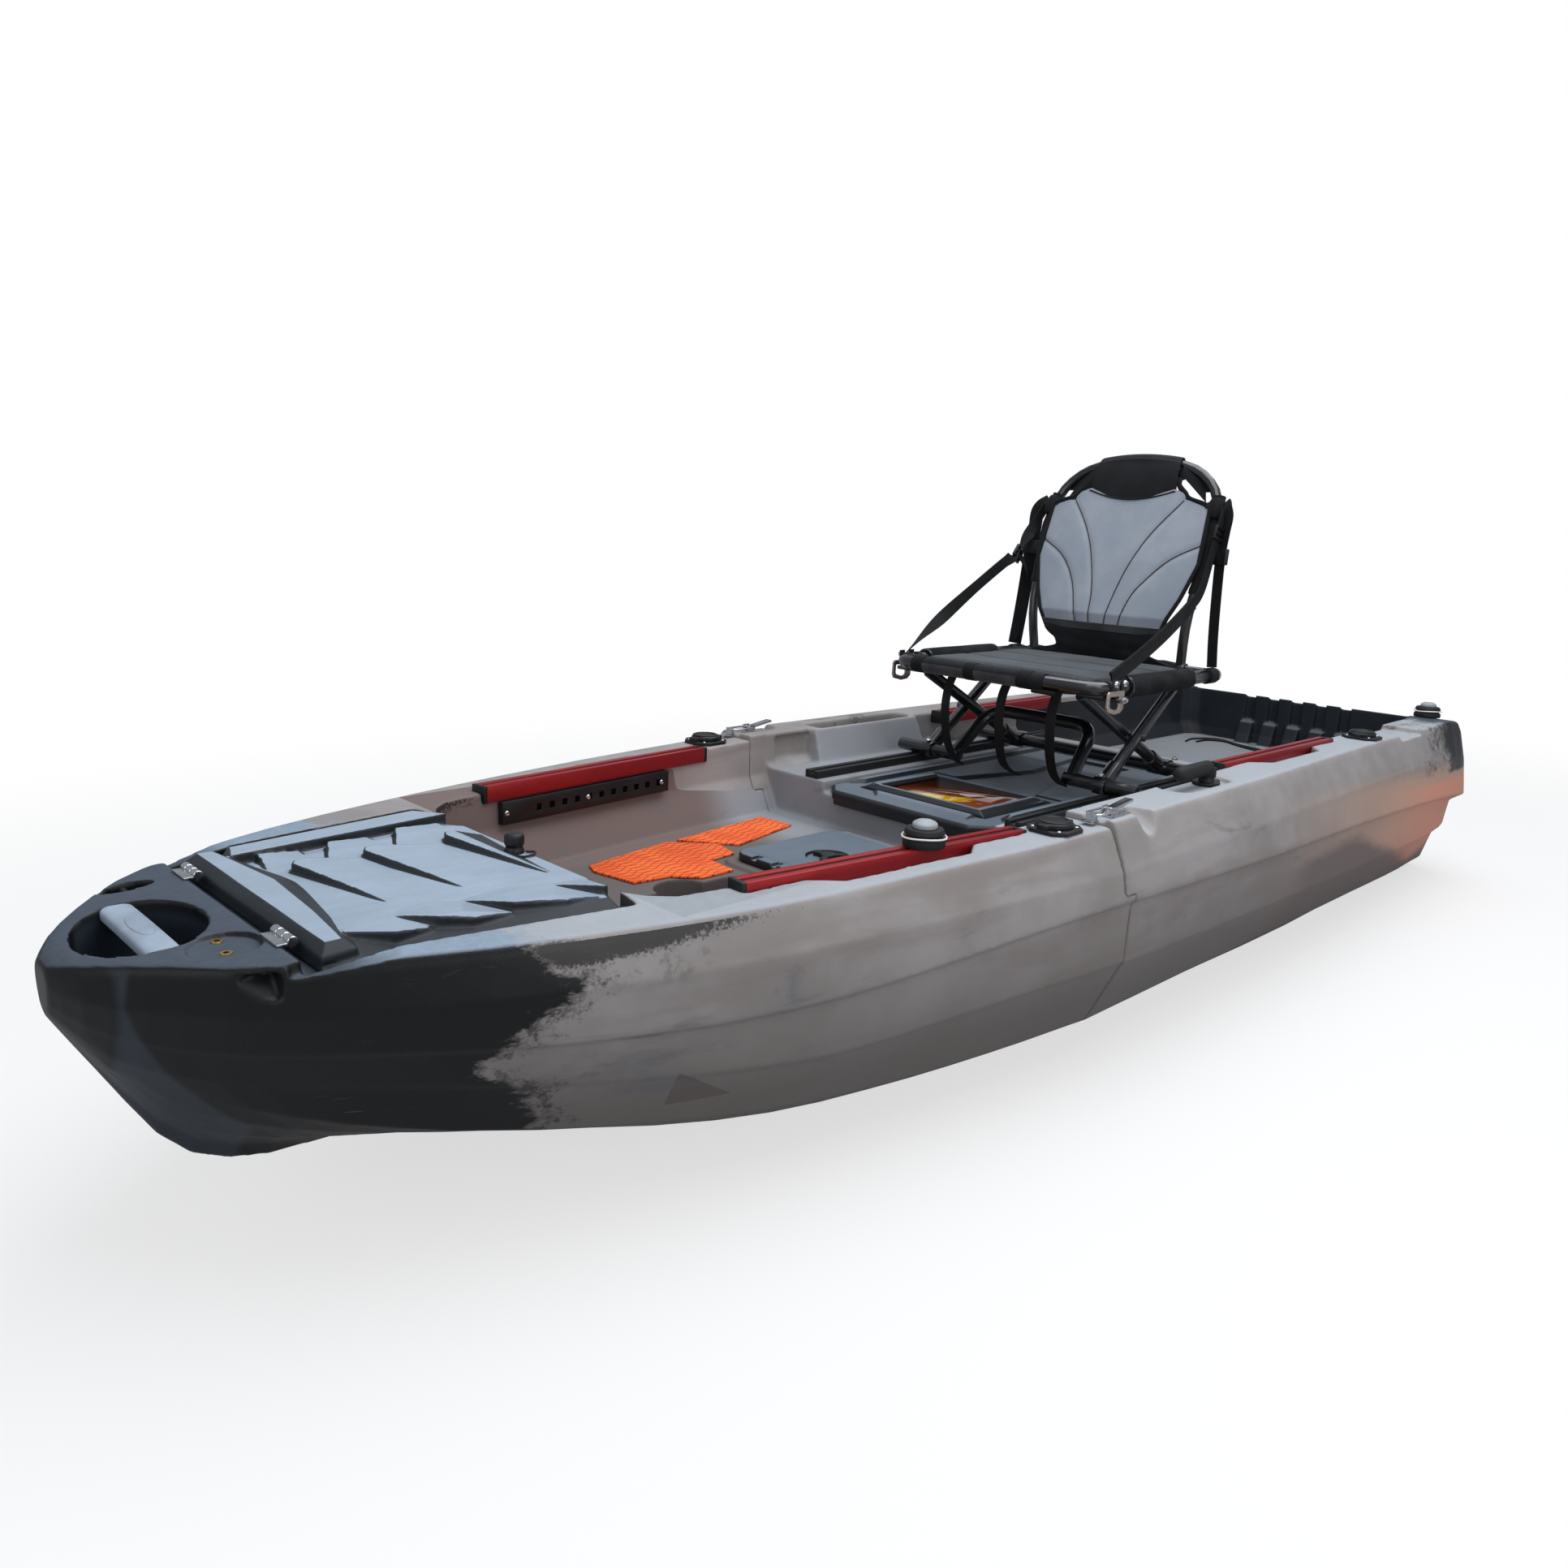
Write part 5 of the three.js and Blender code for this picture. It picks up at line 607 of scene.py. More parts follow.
# Making of pieces
def smoothing_group(degrees):
    """Node group that shades a mesh smooth except over edges that turn by more than the angle."""
    group = bpy.data.node_groups.new(f"smooth_{degrees}", "GeometryNodeTree")
    group.interface.new_socket("Geometry", in_out="INPUT", socket_type="NodeSocketGeometry")
    group.interface.new_socket("Geometry", in_out="OUTPUT", socket_type="NodeSocketGeometry")
    source = group.nodes.new("NodeGroupInput")
    result = group.nodes.new("NodeGroupOutput")
    faces = group.nodes.new("GeometryNodeSetShadeSmooth")
    faces.domain = "FACE"
    edges = group.nodes.new("GeometryNodeSetShadeSmooth")
    edges.domain = "EDGE"
    angle = group.nodes.new("GeometryNodeInputMeshEdgeAngle")
    under = group.nodes.new("FunctionNodeCompare")
    under.data_type = "FLOAT"
    under.operation = "LESS_THAN"
    under.inputs[1].default_value = math.radians(degrees)
    group.links.new(source.outputs[0], faces.inputs["Geometry"])
    group.links.new(angle.outputs["Unsigned Angle"], under.inputs[0])
    group.links.new(faces.outputs[0], edges.inputs["Geometry"])
    group.links.new(under.outputs[0], edges.inputs["Shade Smooth"])
    group.links.new(edges.outputs[0], result.inputs[0])
    return group


# Edges that turn by more than these are kept sharp or are bevelled; points closer than the last are one
SMOOTH = smoothing_group(38)
BEVEL_OVER = math.radians(28)
SAME_PLACE = 0.00002


def soften(obj, bevel):
    """Rounds the edges of a piece and shades it smooth between them."""
    if bevel:
        rounding = obj.modifiers.new("rounded_edges", "BEVEL")
        rounding.width = bevel
        rounding.segments = 2
        rounding.limit_method = "ANGLE"
        rounding.angle_limit = BEVEL_OVER
        rounding.use_clamp_overlap = True
    shading = obj.modifiers.new("shading", "NODES")
    shading.node_group = SMOOTH


def coat(obj, finish):
    """Gives an object one finish."""
    obj.data.materials.clear()
    obj.data.materials.append(finish)


def dress(node, finish, bevel):
    """Gives a CAD node its finish, and the rounded edges of the real part."""
    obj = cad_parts[node]
    coat(obj, finish)
    weld = obj.modifiers.new("weld", "WELD")
    weld.merge_threshold = SAME_PLACE
    flat = obj.modifiers.new("flat_faces", "DECIMATE")
    flat.decimate_type = "DISSOLVE"
    flat.angle_limit = math.radians(0.8)
    soften(obj, bevel)


def baked(obj):
    """The mesh of an object with its modifiers applied."""
    graph = bpy.context.evaluated_depsgraph_get()
    graph.update()
    return bpy.data.meshes.new_from_object(obj.evaluated_get(graph))


def remesh(obj, voxel):
    """Puts an even net of faces over an object."""
    modifier = obj.modifiers.new("remesh", "REMESH")
    modifier.mode = "VOXEL"
    modifier.voxel_size = voxel


def outer_shell(mesh):
    """Takes away closed inner skins that nothing can see."""
    left = set(mesh.verts)
    shells = []
    while left:
        stack = [left.pop()]
        shell = []
        while stack:
            vertex = stack.pop()
            shell.append(vertex)
            for edge in vertex.link_edges:
                other = edge.other_vert(vertex)
                if other in left:
                    left.remove(other)
                    stack.append(other)
        shells.append(shell)

    def length(shell):
        along = [vertex.co.x for vertex in shell]
        return max(along) - min(along)

    shells.sort(key=length)
    for shell in shells[:-1]:
        bmesh.ops.delete(mesh, geom=shell, context="VERTS")


def moulding(name, node, finish, body, voxel, passes, keep, forms=(), whole=False):
    """A CAD node with fuller forms on it, or those forms alone where they are whole, softened as a moulding is."""
    mesh = bmesh.new()
    if not whole:
        mesh.from_mesh(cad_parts[node].data)
        bmesh.ops.remove_doubles(mesh, verts=mesh.verts, dist=SAME_PLACE)
        outer_shell(mesh)
    for form in forms:
        corners = [mesh.verts.new(point) for point in form]
        hull = bmesh.ops.convex_hull(mesh, input=corners)
        spare = [g for g in hull["geom_interior"] + hull["geom_unused"] if isinstance(g, bmesh.types.BMVert)]
        bmesh.ops.delete(mesh, geom=list(set(spare)), context="VERTS")
    draft = linked(name + "_draft", finished(name, mesh))
    remesh(draft, voxel)
    smooth = draft.modifiers.new("smooth", "SMOOTH")
    smooth.iterations = passes
    smooth.factor = 0.5
    if keep < 1:
        fewer = draft.modifiers.new("fewer", "DECIMATE")
        fewer.ratio = keep
    piece = linked(name, baked(draft))
    bpy.data.objects.remove(draft)
    coat(piece, finish)
    piece.data.shade_smooth()
    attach(piece, body)
    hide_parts(node)


def lifted(form, top):
    """Points of a form whose heights are in mm over a face."""
    return [(x, y, top + rise / 1000) for x, y, rise in form]


def lid_forms():
    """The bow lid: its plate, the beam along its front, and the raised scales; heights over the plate in mm."""
    seat, top = 0.363, 0.381
    edge = [(0.976, -0.264), (1.304, -0.207), (1.304, 0.207), (0.976, 0.264), (0.950, 0.158), (0.950, -0.158)]
    crest = [(0.976, -0.165), (1.299, -0.125), (1.299, 0.163), (0.976, 0.217), (0.953, 0.152), (0.953, -0.152)]
    plate = [(x, y, z) for x, y in edge for z in (seat, seat + 0.003)] + [(x, y, top) for x, y in crest]
    raised = [
        [(1.290, -0.192, 9), (1.294, 0.188, 9), (1.272, -0.192, 9), (1.266, -0.12, 9), (1.256, -0.04, 9),
         (1.266, 0.10, 9), (1.276, 0.188, 9), (1.303, -0.201, -2), (1.303, 0.201, -2), (1.266, -0.208, -1),
         (1.258, -0.13, -1), (1.228, -0.042, -1), (1.252, 0.11, -1), (1.264, 0.198, -1)],
        [(1.262, -0.158, 9), (0.957, -0.196, 9), (0.985, -0.243, 8), (1.250, -0.202, 8), (1.258, -0.208, -6),
         (0.978, -0.252, -6)],
        [(1.240, -0.100, 0.4), (1.232, -0.160, 6), (1.190, -0.089, 0.4), (1.176, -0.164, 0.4)],
        [(1.179, -0.073, 0.4), (1.142, -0.165, 6), (1.088, -0.081, 0.4), (1.082, -0.175, 0.4)],
        [(1.088, -0.081, 0.4), (1.044, -0.178, 6), (0.985, -0.091, 0.4), (0.974, -0.186, 0.4)],
        [(1.221, -0.078, 12), (1.214, -0.090, 12), (1.196, -0.096, 11), (1.180, 0.091, 0.5), (1.116, -0.082, 0.3),
         (1.146, 0.095, 0.3)],
        [(1.131, -0.082, 12), (1.123, -0.096, 12), (1.104, -0.100, 11), (1.088, 0.093, 0.5), (1.022, -0.088, 0.3),
         (1.056, 0.100, 0.3)],
        [(1.017, -0.090, 12), (1.010, -0.104, 12), (0.996, -0.106, 11), (0.978, 0.109, 0.5), (0.958, -0.100, 0.3),
         (0.984, 0.060, 0.3)],
        [(1.256, 0.101, 0.5), (1.264, 0.165, 6), (1.222, 0.196, 6), (1.181, 0.192, 0.5), (1.207, 0.125, 0.3),
         (1.186, 0.094, 0.3)],
        [(1.207, 0.125, 0.6), (1.173, 0.190, 10.5), (1.142, 0.184, 8), (1.137, 0.204, 5), (1.092, 0.202, 0.5),
         (1.115, 0.131, 0.3), (1.148, 0.112, 0.3)],
        [(1.115, 0.131, 0.6), (1.087, 0.197, 10.5), (1.034, 0.197, 7.5), (1.028, 0.213, 5), (0.982, 0.212, 0.5),
         (1.004, 0.141, 0.3), (1.046, 0.118, 0.3)],
        [(1.004, 0.141, 0.6), (0.975, 0.206, 10), (0.966, 0.205, 9), (0.957, 0.146, 0.3)],
    ]
    forms = [plate]
    for form in raised:
        base = [(x, y, top - 0.009) for x, y, _ in form]
        forms.append(base + lifted(form, top))
    return forms


# Forms on the centre lid: a raised frame round the flap's window, and behind it a ramp and strips beside a sunken V
FLAP_TOP, SEAT_LID_TOP = 0.3353, 0.3333
FLAP_FORMS = [
    [(0.149, -0.130, 0), (0.149, 0.134, 0), (0.131, -0.112, 7), (0.131, 0.112, 7), (0.139, -0.118, 7),
     (0.139, 0.120, 7), (0.1295, -0.110, -2), (0.1295, 0.110, -2)],
    [(0.139, 0.109, 7), (0.139, 0.121, 7), (-0.030, 0.109, 6), (-0.030, 0.116, 6), (0.149, 0.136, 0),
     (-0.040, 0.130, 0), (0.1295, 0.1065, -2), (-0.036, 0.1065, -2)],
    [(0.139, -0.109, 8), (0.130, -0.126, 8), (-0.030, -0.109, 6), (-0.030, -0.120, 6), (0.149, -0.136, 0),
     (-0.040, -0.134, 0), (0.1295, -0.1065, -2), (-0.036, -0.1065, -2)],
]
SEAT_LID_FORMS = [
    [(0.190, -0.069, 0), (0.190, 0.126, 0), (0.156, -0.098, 5), (0.156, 0.120, 5), (0.156, -0.110, -3),
     (0.156, 0.134, -3)],
    [(-0.074, -0.148, 0), (-0.074, -0.098, 0), (-0.262, -0.045, 0), (-0.262, -0.148, 0), (-0.074, -0.148, -9),
     (-0.074, -0.090, -9), (-0.266, -0.040, -9), (-0.262, -0.148, -9)],
    [(-0.262, -0.045, 0), (-0.262, -0.148, 0), (-0.445, -0.070, -1), (-0.445, -0.148, -1), (-0.266, -0.040, -9),
     (-0.262, -0.148, -9), (-0.445, -0.066, -9), (-0.445, -0.148, -9)],
    [(-0.074, 0.148, 0), (-0.074, 0.090, 0), (-0.258, 0.034, 0), (-0.258, 0.148, 0), (-0.074, 0.148, -9),
     (-0.074, 0.082, -9), (-0.262, 0.029, -9), (-0.258, 0.148, -9)],
    [(-0.258, 0.034, 0), (-0.258, 0.148, 0), (-0.445, 0.070, -1), (-0.445, 0.148, -1), (-0.262, 0.029, -9),
     (-0.258, 0.148, -9), (-0.445, 0.066, -9), (-0.445, 0.148, -9)],
]


def evenly(low, high, count):
    """Numbers from low to high, evenly spaced."""
    return [low + (high - low) * i / (count - 1) for i in range(count)]


def curve_through(points, steps=8):
    """Smooth line through the points."""
    points = [Vector(p) for p in points]
    line = []
    for i in range(len(points) - 1):
        before = points[i - 1] if i else points[0] * 2 - points[1]
        after = points[i + 2] if i + 2 < len(points) else points[-1] * 2 - points[-2]
        a, b = points[i], points[i + 1]
        for step in range(steps):
            t = step / steps
            line.append(0.5 * (2 * a + (b - before) * t + (2 * before - 5 * a + 4 * b - after) * t * t
                               + (3 * a - 3 * b + after - before) * t ** 3))
    line.append(points[-1])
    return line


def near(points):
    """Quick search for the nearest of many points."""
    tree = KDTree(len(points))
    for number, point in enumerate(points):
        tree.insert(point, number)
    tree.balance()
    return tree


def way_at(points, i):
    """The way that a line of points runs at one of them."""
    return points[min(i + 1, len(points) - 1)] - points[max(i - 1, 0)]


class Piece:
    """A mesh being built for one piece, in metres in the row frame."""

    def __init__(self, name):
        self.name = name
        self.mesh = bmesh.new()

    def skin(self, rows, closed=False, ends=False):
        """Faces over rows of points; closed joins each row's ends, and ends caps the first and last row."""
        rings = [[self.mesh.verts.new(point) for point in row] for row in rows]
        count = len(rings[0])
        for low, high in zip(rings, rings[1:]):
            for i in range(count if closed else count - 1):
                j = (i + 1) % count
                self.mesh.faces.new((low[i], low[j], high[j], high[i]))
        if ends:
            self.mesh.faces.new(list(reversed(rings[0])))
            self.mesh.faces.new(rings[-1])
        return self

    def tube(self, path, radius, sides):
        """Round bar along a path; radius is one number, or one for each point."""
        points = [Vector(p) for p in path]
        radii = radius if isinstance(radius, (list, tuple)) else [radius] * len(points)
        side = None
        rows = []
        for i, point in enumerate(points):
            along = way_at(points, i).normalized()
            side = along.orthogonal().normalized() if side is None else side
            side = (side - along * side.dot(along)).normalized()
            rise = along.cross(side)
            turns = [2 * math.pi * k / sides for k in range(sides)]
            rows.append([point + radii[i] * (math.cos(t) * side + math.sin(t) * rise) for t in turns])
        return self.skin(rows, closed=True, ends=True)

    def strap(self, path, across, width, thick):
        """Flat webbing along a path; across is the way of its width, one or one for each point."""
        points = [Vector(p) for p in path]
        acrosses = across if isinstance(across, list) else [across] * len(points)
        half, deep = width / 2, thick / 2
        corner = deep * 0.7
        section = [(-half, -deep + corner), (-half + corner, -deep), (half - corner, -deep), (half, -deep + corner),
                   (half, deep - corner), (half - corner, deep), (-half + corner, deep), (-half, deep - corner)]
        rows = []
        for i, point in enumerate(points):
            along = way_at(points, i).normalized()
            side = Vector(acrosses[i])
            side = (side - along * side.dot(along)).normalized()
            face = along.cross(side)
            rows.append([point + u * side + v * face for u, v in section])
        return self.skin(rows, closed=True, ends=True)

    def turned(self, profile, centre, axis, sides):
        """Lathe work: profile gives radius and height along the axis from the centre."""
        turn = Vector((0, 0, 1)).rotation_difference(Vector(axis)).to_matrix()
        rows = []
        for radius, height in profile:
            ring = [(max(radius, 1e-6) * math.cos(2 * math.pi * k / sides),
                     max(radius, 1e-6) * math.sin(2 * math.pi * k / sides), height) for k in range(sides)]
            rows.append([Vector(centre) + turn @ Vector(point) for point in ring])
        return self.skin(rows, closed=True, ends=True)

    def plate(self, outline, low, high):
        """Upright slab over an outline of x and y."""
        return self.skin([[(x, y, z) for x, y in outline] for z in (low, high)], closed=True, ends=True)

    def bar(self, start, end, across, width, thick):
        """Straight flat bar from start to end."""
        start, end = Vector(start), Vector(end)
        along = (end - start).normalized()
        side = Vector(across)
        side = (side - along * side.dot(along)).normalized() * width / 2
        face = along.cross(side.normalized()) * thick / 2
        rows = [[p - side - face, p + side - face, p + side + face, p - side + face] for p in (start, end)]
        return self.skin(rows, closed=True, ends=True)

    def bare(self, merge=0.000005):
        """The mesh as an object, with points that lie closer than the merge distance made one."""
        bmesh.ops.remove_doubles(self.mesh, verts=self.mesh.verts, dist=merge)
        bmesh.ops.recalc_face_normals(self.mesh, faces=self.mesh.faces)
        return linked(self.name, finished(self.name, self.mesh))

    def done(self, finish, body, slot, bevel=0.0, stands_for=()):
        """The piece with its finish, riding on its body; stands_for names the CAD nodes that it replaces."""
        obj = self.bare()
        coat(obj, finish)
        soften(obj, bevel)
        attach(obj, body)
        if stands_for:
            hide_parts(*stands_for)
        return obj


# What pieces share: both sides, and a finish with its body and slot
SIDES = ((1, "port"), (-1, "starboard"))
SEAT_CLOTH = (DARK_CLOTH, "seat_pan", "seat_fabric")
SEAT_TAPE = (WEBBING, "seat_pan", "webbing")
SEAT_BLACK = (BLACK, "seat_pan", "black_plastic")

# Hull modules and lids
for word in ("front", "rear"):
    moulding(f"{word}_module", f"{word}_hull", HULL, "hull", 0.0032, 3, 0.3)
moulding("bow_lid", "front_hatch_lid", LID, "front_lid", 0.0019, 2, 0.5, lid_forms(), whole=True)
moulding("seat_lid", "centre_hatch_lid", DECK_LID, "hull", 0.0024, 2, 0.5,
         [lifted(form, SEAT_LID_TOP) for form in SEAT_LID_FORMS])
moulding("seat_lid_flap", "window_flap", FLAP_LID, "centre_flap", 0.0019, 1, 0.6,
         [lifted(form, FLAP_TOP) for form in FLAP_FORMS])
moulding("floor_lid", "floor_hatch_cover", FLOOR_LID, "floor_hatch", 0.0018, 2, 0.6)

# CAD nodes that stay: how their names start, their finish and the round of their edges
KEPT = [
    (("bow_tie_bar",), BLACK, 0.0),
    (("foot_track",), BLACK, 0.0006),
    (("seat_track", "front_rod_socket", "rear_rod_socket"), BLACK, 0.0008),
    (("rudder_base",), BLACK, 0.001),
    (("twist_latch", "front_rod_cap", "rear_rod_cap"), BLACK, 0.0012),
    (("lid_knob",), BLACK, 0.0015),
    (("toggle_keeper",), STEEL, 0.0004),
    (("front_lid_hinge", "toggle_base"), STEEL, 0.0005),
    (("toggle_lever",), STEEL, 0.0006),
    (("amber_window",), PANE, 0.0008),
    (("front_floor_mat", "rear_floor_mat"), MAT, 0.001),
    (("front_gear_rail", "rear_gear_rail"), RED, 0.0008),
    (("rail_mount_cap", "stern_mount_cap"), CAP_GREY, 0.0012),
    (("rail_mount_base", "stern_mount_base", "rudder_lever"), RUBBER, 0.0012),
    (("tank_cord",), RUBBER, 0.0),
    (("outer_seat_leg", "inner_seat_leg", "backrest_frame"), TUBE, 0.0008),
    (("seat_front_frame", "seat_rear_bar", "pan_frame"), TUBE, 0.001),
]
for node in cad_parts:
    for starts, finish, bevel in KEPT:
        if node.startswith(starts):
            dress(node, finish, bevel)

# Seat: the pan, whose tubes run at one height
PAN_Z = 0.549
PAN_HALF = 0.225
PAN_SEAM_DEEP, BACK_SEAM_DEEP, SEAM_WIDE = 0.0045, 0.0026, 0.005
FRONT_TUBE_X = -0.030
CLOTH_STEPS = 20


def pad_slab():
    """The pan's pad before it is blown up, a little smaller than the real one."""
    rows = []
    for x in evenly(-0.393, -0.050, 25):
        behind = -0.043 - x
        half = 0.200 - 0.012 * max(0.0, 1 - behind / 0.03)
        crown = 0.001 + 0.003 * min(1.0, behind / 0.06)
        upper = [(x, y, PAN_Z + 0.0055 + crown * (1 - (y / half) ** 2)) for y in evenly(half, -half, 25)]
        lower = [(x, y, PAN_Z - 0.002) for y in evenly(-half, half, 25)]
        rows.append(upper + lower)
    return rows


def blown(name, rows, voxel, pressure, cap):
    """Cloth that a foam filling pushes out: a closed skin, blown up by simulation, then held near its start."""
    obj = Piece(name).skin(rows, closed=True, ends=True).bare(merge=0.00001)
    remesh(obj, voxel)
    even = baked(obj)
    obj.modifiers.clear()
    obj.data = even
    start = [vertex.co.copy() for vertex in even.vertices]
    cloth = obj.modifiers.new("cloth", "CLOTH")
    cloth.settings.use_pressure = True
    cloth.settings.uniform_pressure_force = pressure
    cloth.settings.effector_weights.gravity = 0
    cloth.settings.quality = 5
    cloth.point_cache.frame_start = 1
    cloth.point_cache.frame_end = CLOTH_STEPS
    for step in range(1, CLOTH_STEPS + 1):
        scene.frame_set(step)
    full = baked(obj)
    scene.frame_set(1)
    obj.modifiers.clear()
    obj.data = full
    for vertex, rest in zip(full.vertices, start):
        moved = vertex.co - rest
        if moved.length > cap:
            vertex.co = rest + moved * (cap / moved.length)
    return obj


pan_pad = blown("pan_pad", pad_slab(), 0.005, 4.0, 0.006)
PAN_SEAMS = [
    [(-0.30, -0.19), (-0.27, -0.10), (-0.262, 0.0), (-0.27, 0.10), (-0.30, 0.19)],
    [(-0.19, -0.19), (-0.165, -0.10), (-0.157, 0.0), (-0.165, 0.10), (-0.19, 0.19)],
    [(-0.075, -0.19), (-0.073, 0.0), (-0.075, 0.19)],
]
seam_points = near([p for seam in PAN_SEAMS for p in curve_through([(x, y, 0) for x, y in seam], 24)])
for vertex in pan_pad.data.vertices:
    gap = seam_points.find((vertex.co.x, vertex.co.y, 0))[2]
    if vertex.co.z > PAN_Z + 0.002:
        vertex.co.z -= PAN_SEAM_DEEP * math.exp(-(gap / SEAM_WIDE) ** 2)
coat(pan_pad, PAN_CLOTH)
finer = pan_pad.modifiers.new("finer", "SUBSURF")
finer.levels = finer.render_levels = 1
pan_pad.data.shade_smooth()
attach(pan_pad, "seat_pan")
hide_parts("pan_sling")

# Foam sleeves on the pan's sides
SLEEVE_LINE = [(-0.338, 0.8), (-0.3375, 0.93), (-0.333, 1.0), (-0.28, 1.02), (-0.225, 1.0), (-0.17, 1.02),
               (-0.118, 1.0), (-0.1125, 0.93), (-0.112, 0.8)]
for side, word in SIDES:
    line = [(x, side * PAN_HALF, PAN_Z) for x, _ in SLEEVE_LINE]
    sleeve = Piece(f"foam_sleeve_{word}").tube(line, [0.0193 * size for _, size in SLEEVE_LINE], 28)
    sleeve.done(FOAM, "seat_pan", "seat_fabric")

# Backrest: the middle of its tube as x and z, and rows of height, half width and crown of its cover
TUBE_LINE = [(-0.413, 0.555), (-0.400, 0.650), (-0.449, 0.813), (-0.472, 0.890), (-0.485, 0.935), (-0.490, 0.951),
             (-0.491, 0.960)]
COVER_ROWS = [(0.5614, 0.118, 0.007), (0.615, 0.132, 0.011), (0.690, 0.166, 0.010), (0.756, 0.186, 0.010),
              (0.862, 0.180, 0.005), (0.898, 0.150, 0.003), (0.916, 0.112, 0.001), (0.962, 0.092, 0.0)]


def between(rows, key, value):
    """Numbers of a table at a value of its key column, on straight lines between its rows."""
    for low, high in zip(rows, rows[1:]):
        if value <= high[key]:
            break
    t = min(1.0, max(0.0, (value - low[key]) / (high[key] - low[key])))
    return [a + t * (b - a) for a, b in zip(low, high)]


def back_face(u, z, lift=0.0):
    """Point on the front of the backrest: u runs from -1 to 1 across it."""
    _, wide, crown = between(COVER_ROWS, 0, z)
    x = between(TUBE_LINE, 1, z)[0] + 0.0163 + crown * (1 - u * u) + lift
    return Vector((x, u * wide, z))


def mesh_top(u):
    """Height of the mesh's upper edge: a hollow line under the head panel, then down to its corners."""
    side = abs(u)
    if side < 0.62:
        return 0.881 + 0.017 * (side / 0.62) ** 2
    return 0.898 - 0.036 * ((side - 0.62) / 0.38) ** 1.3


SEAMS = [
    [(-1.0, 0.794), (-0.66, 0.760), (-0.49, 0.715), (-0.42, 0.665), (-0.40, 0.626)],
    [(-0.80, 0.880), (-0.47, 0.824), (-0.29, 0.768), (-0.18, 0.695), (-0.17, 0.626)],
    [(0.71, 0.876), (0.38, 0.811), (0.22, 0.753), (0.14, 0.694), (0.08, 0.626)],
    [(1.0, 0.795), (0.67, 0.763), (0.46, 0.718), (0.36, 0.685), (0.31, 0.626)],
]
SEAM_LINES = [curve_through([(u * between(COVER_ROWS, 0, z)[1], z, 0) for u, z in seam], 24) for seam in SEAMS]
back_lines = near([p for line in SEAM_LINES for p in line])
MESH_SHARE, MESH_FOOT = 0.985, 0.617


def thicken(obj, thick, offset=-1.0):
    """Gives a skin its thickness, before it is shaded."""
    wall = obj.modifiers.new("thickness", "SOLIDIFY")
    wall.thickness = thick
    wall.offset = offset
    obj.modifiers.move(len(obj.modifiers) - 1, 0)
    return obj


rows = []
for t in evenly(0.0, 1.0, 90):
    row = []
    for u in evenly(-1, 1, 90):
        point = back_face(u * MESH_SHARE, MESH_FOOT + t * (mesh_top(u) - MESH_FOOT))
        gap = back_lines.find((point.y, point.z, 0))[2]
        point.x -= BACK_SEAM_DEEP * math.exp(-(gap / SEAM_WIDE) ** 2)
        rim = min(1.0, (1 - abs(u)) / 0.05)
        point.x -= 0.004 * (1 - rim) ** 2
        row.append(point)
    rows.append(row)
back_obj = Piece("back_mesh_panel").skin(rows).done(BACK_MESH, "seat_pan", "back_mesh", stands_for=["backrest_cover"])
thicken(back_obj, 0.003, -1.0 if sum(face.normal.x for face in back_obj.data.polygons) > 0 else 1.0)

# Stitching, just proud of the bottom of each sewn line, and the hem under the mesh
for number, line in enumerate(SEAM_LINES):
    path = [back_face(p.x / between(COVER_ROWS, 0, p.y)[1] * MESH_SHARE, p.y, -0.0022) for p in line]
    thread = Piece(f"back_stitching_{number}").tube(path, 0.0013, 6)
    thread.done(THREAD, "seat_pan", "back_mesh")
hem = Piece("back_hem").skin([[back_face(u * MESH_SHARE, z, 0.0012) for u in evenly(-1, 1, 60)]
                              for z in evenly(0.6165, 0.631, 4)])
thicken(hem.done(NET, "seat_pan", "back_mesh"), 0.0024)


def head_point(u, t):
    """The head panel: up its front to t = 1, then over the top tube and a little way down behind."""
    y = u * (0.096 - 0.006 * t)
    drop = 0.008 * (y / 0.09) ** 2
    if t <= 1:
        low = mesh_top(abs(y) / 0.150) - 0.006
        z = low + t * (0.957 - drop - low)
        x = between(TUBE_LINE, 1, z)[0] + 0.0175 + 0.003 * (1 - u * u) + 0.003 * math.sin(math.pi * t)
        return Vector((x + 0.0006 * math.sin(41 * y + 9 * z), y, z))
    turn = (t - 1) * math.pi
    if turn > math.pi:
        return Vector((-0.505, y, 0.952 - drop - 0.02 * (turn - math.pi)))
    return Vector((-0.489 + 0.0155 * math.cos(turn), y, 0.954 - drop + 0.013 * math.sin(turn)))


# Head panel and its piping
head = Piece("head_panel")
head.skin([[head_point(u, t) for u in evenly(-1, 1, 41)] for t in evenly(0, 1, 22)[:-1] + evenly(1, 2.6, 16)])
thicken(head.done(*SEAT_CLOTH), 0.0032)
line = [head_point(u, 0.02) + Vector((0.0012, 0, 0)) for u in evenly(-1, 1, 41)]
Piece("head_panel_piping").tube(line, 0.0016, 8).done(*SEAT_CLOTH)

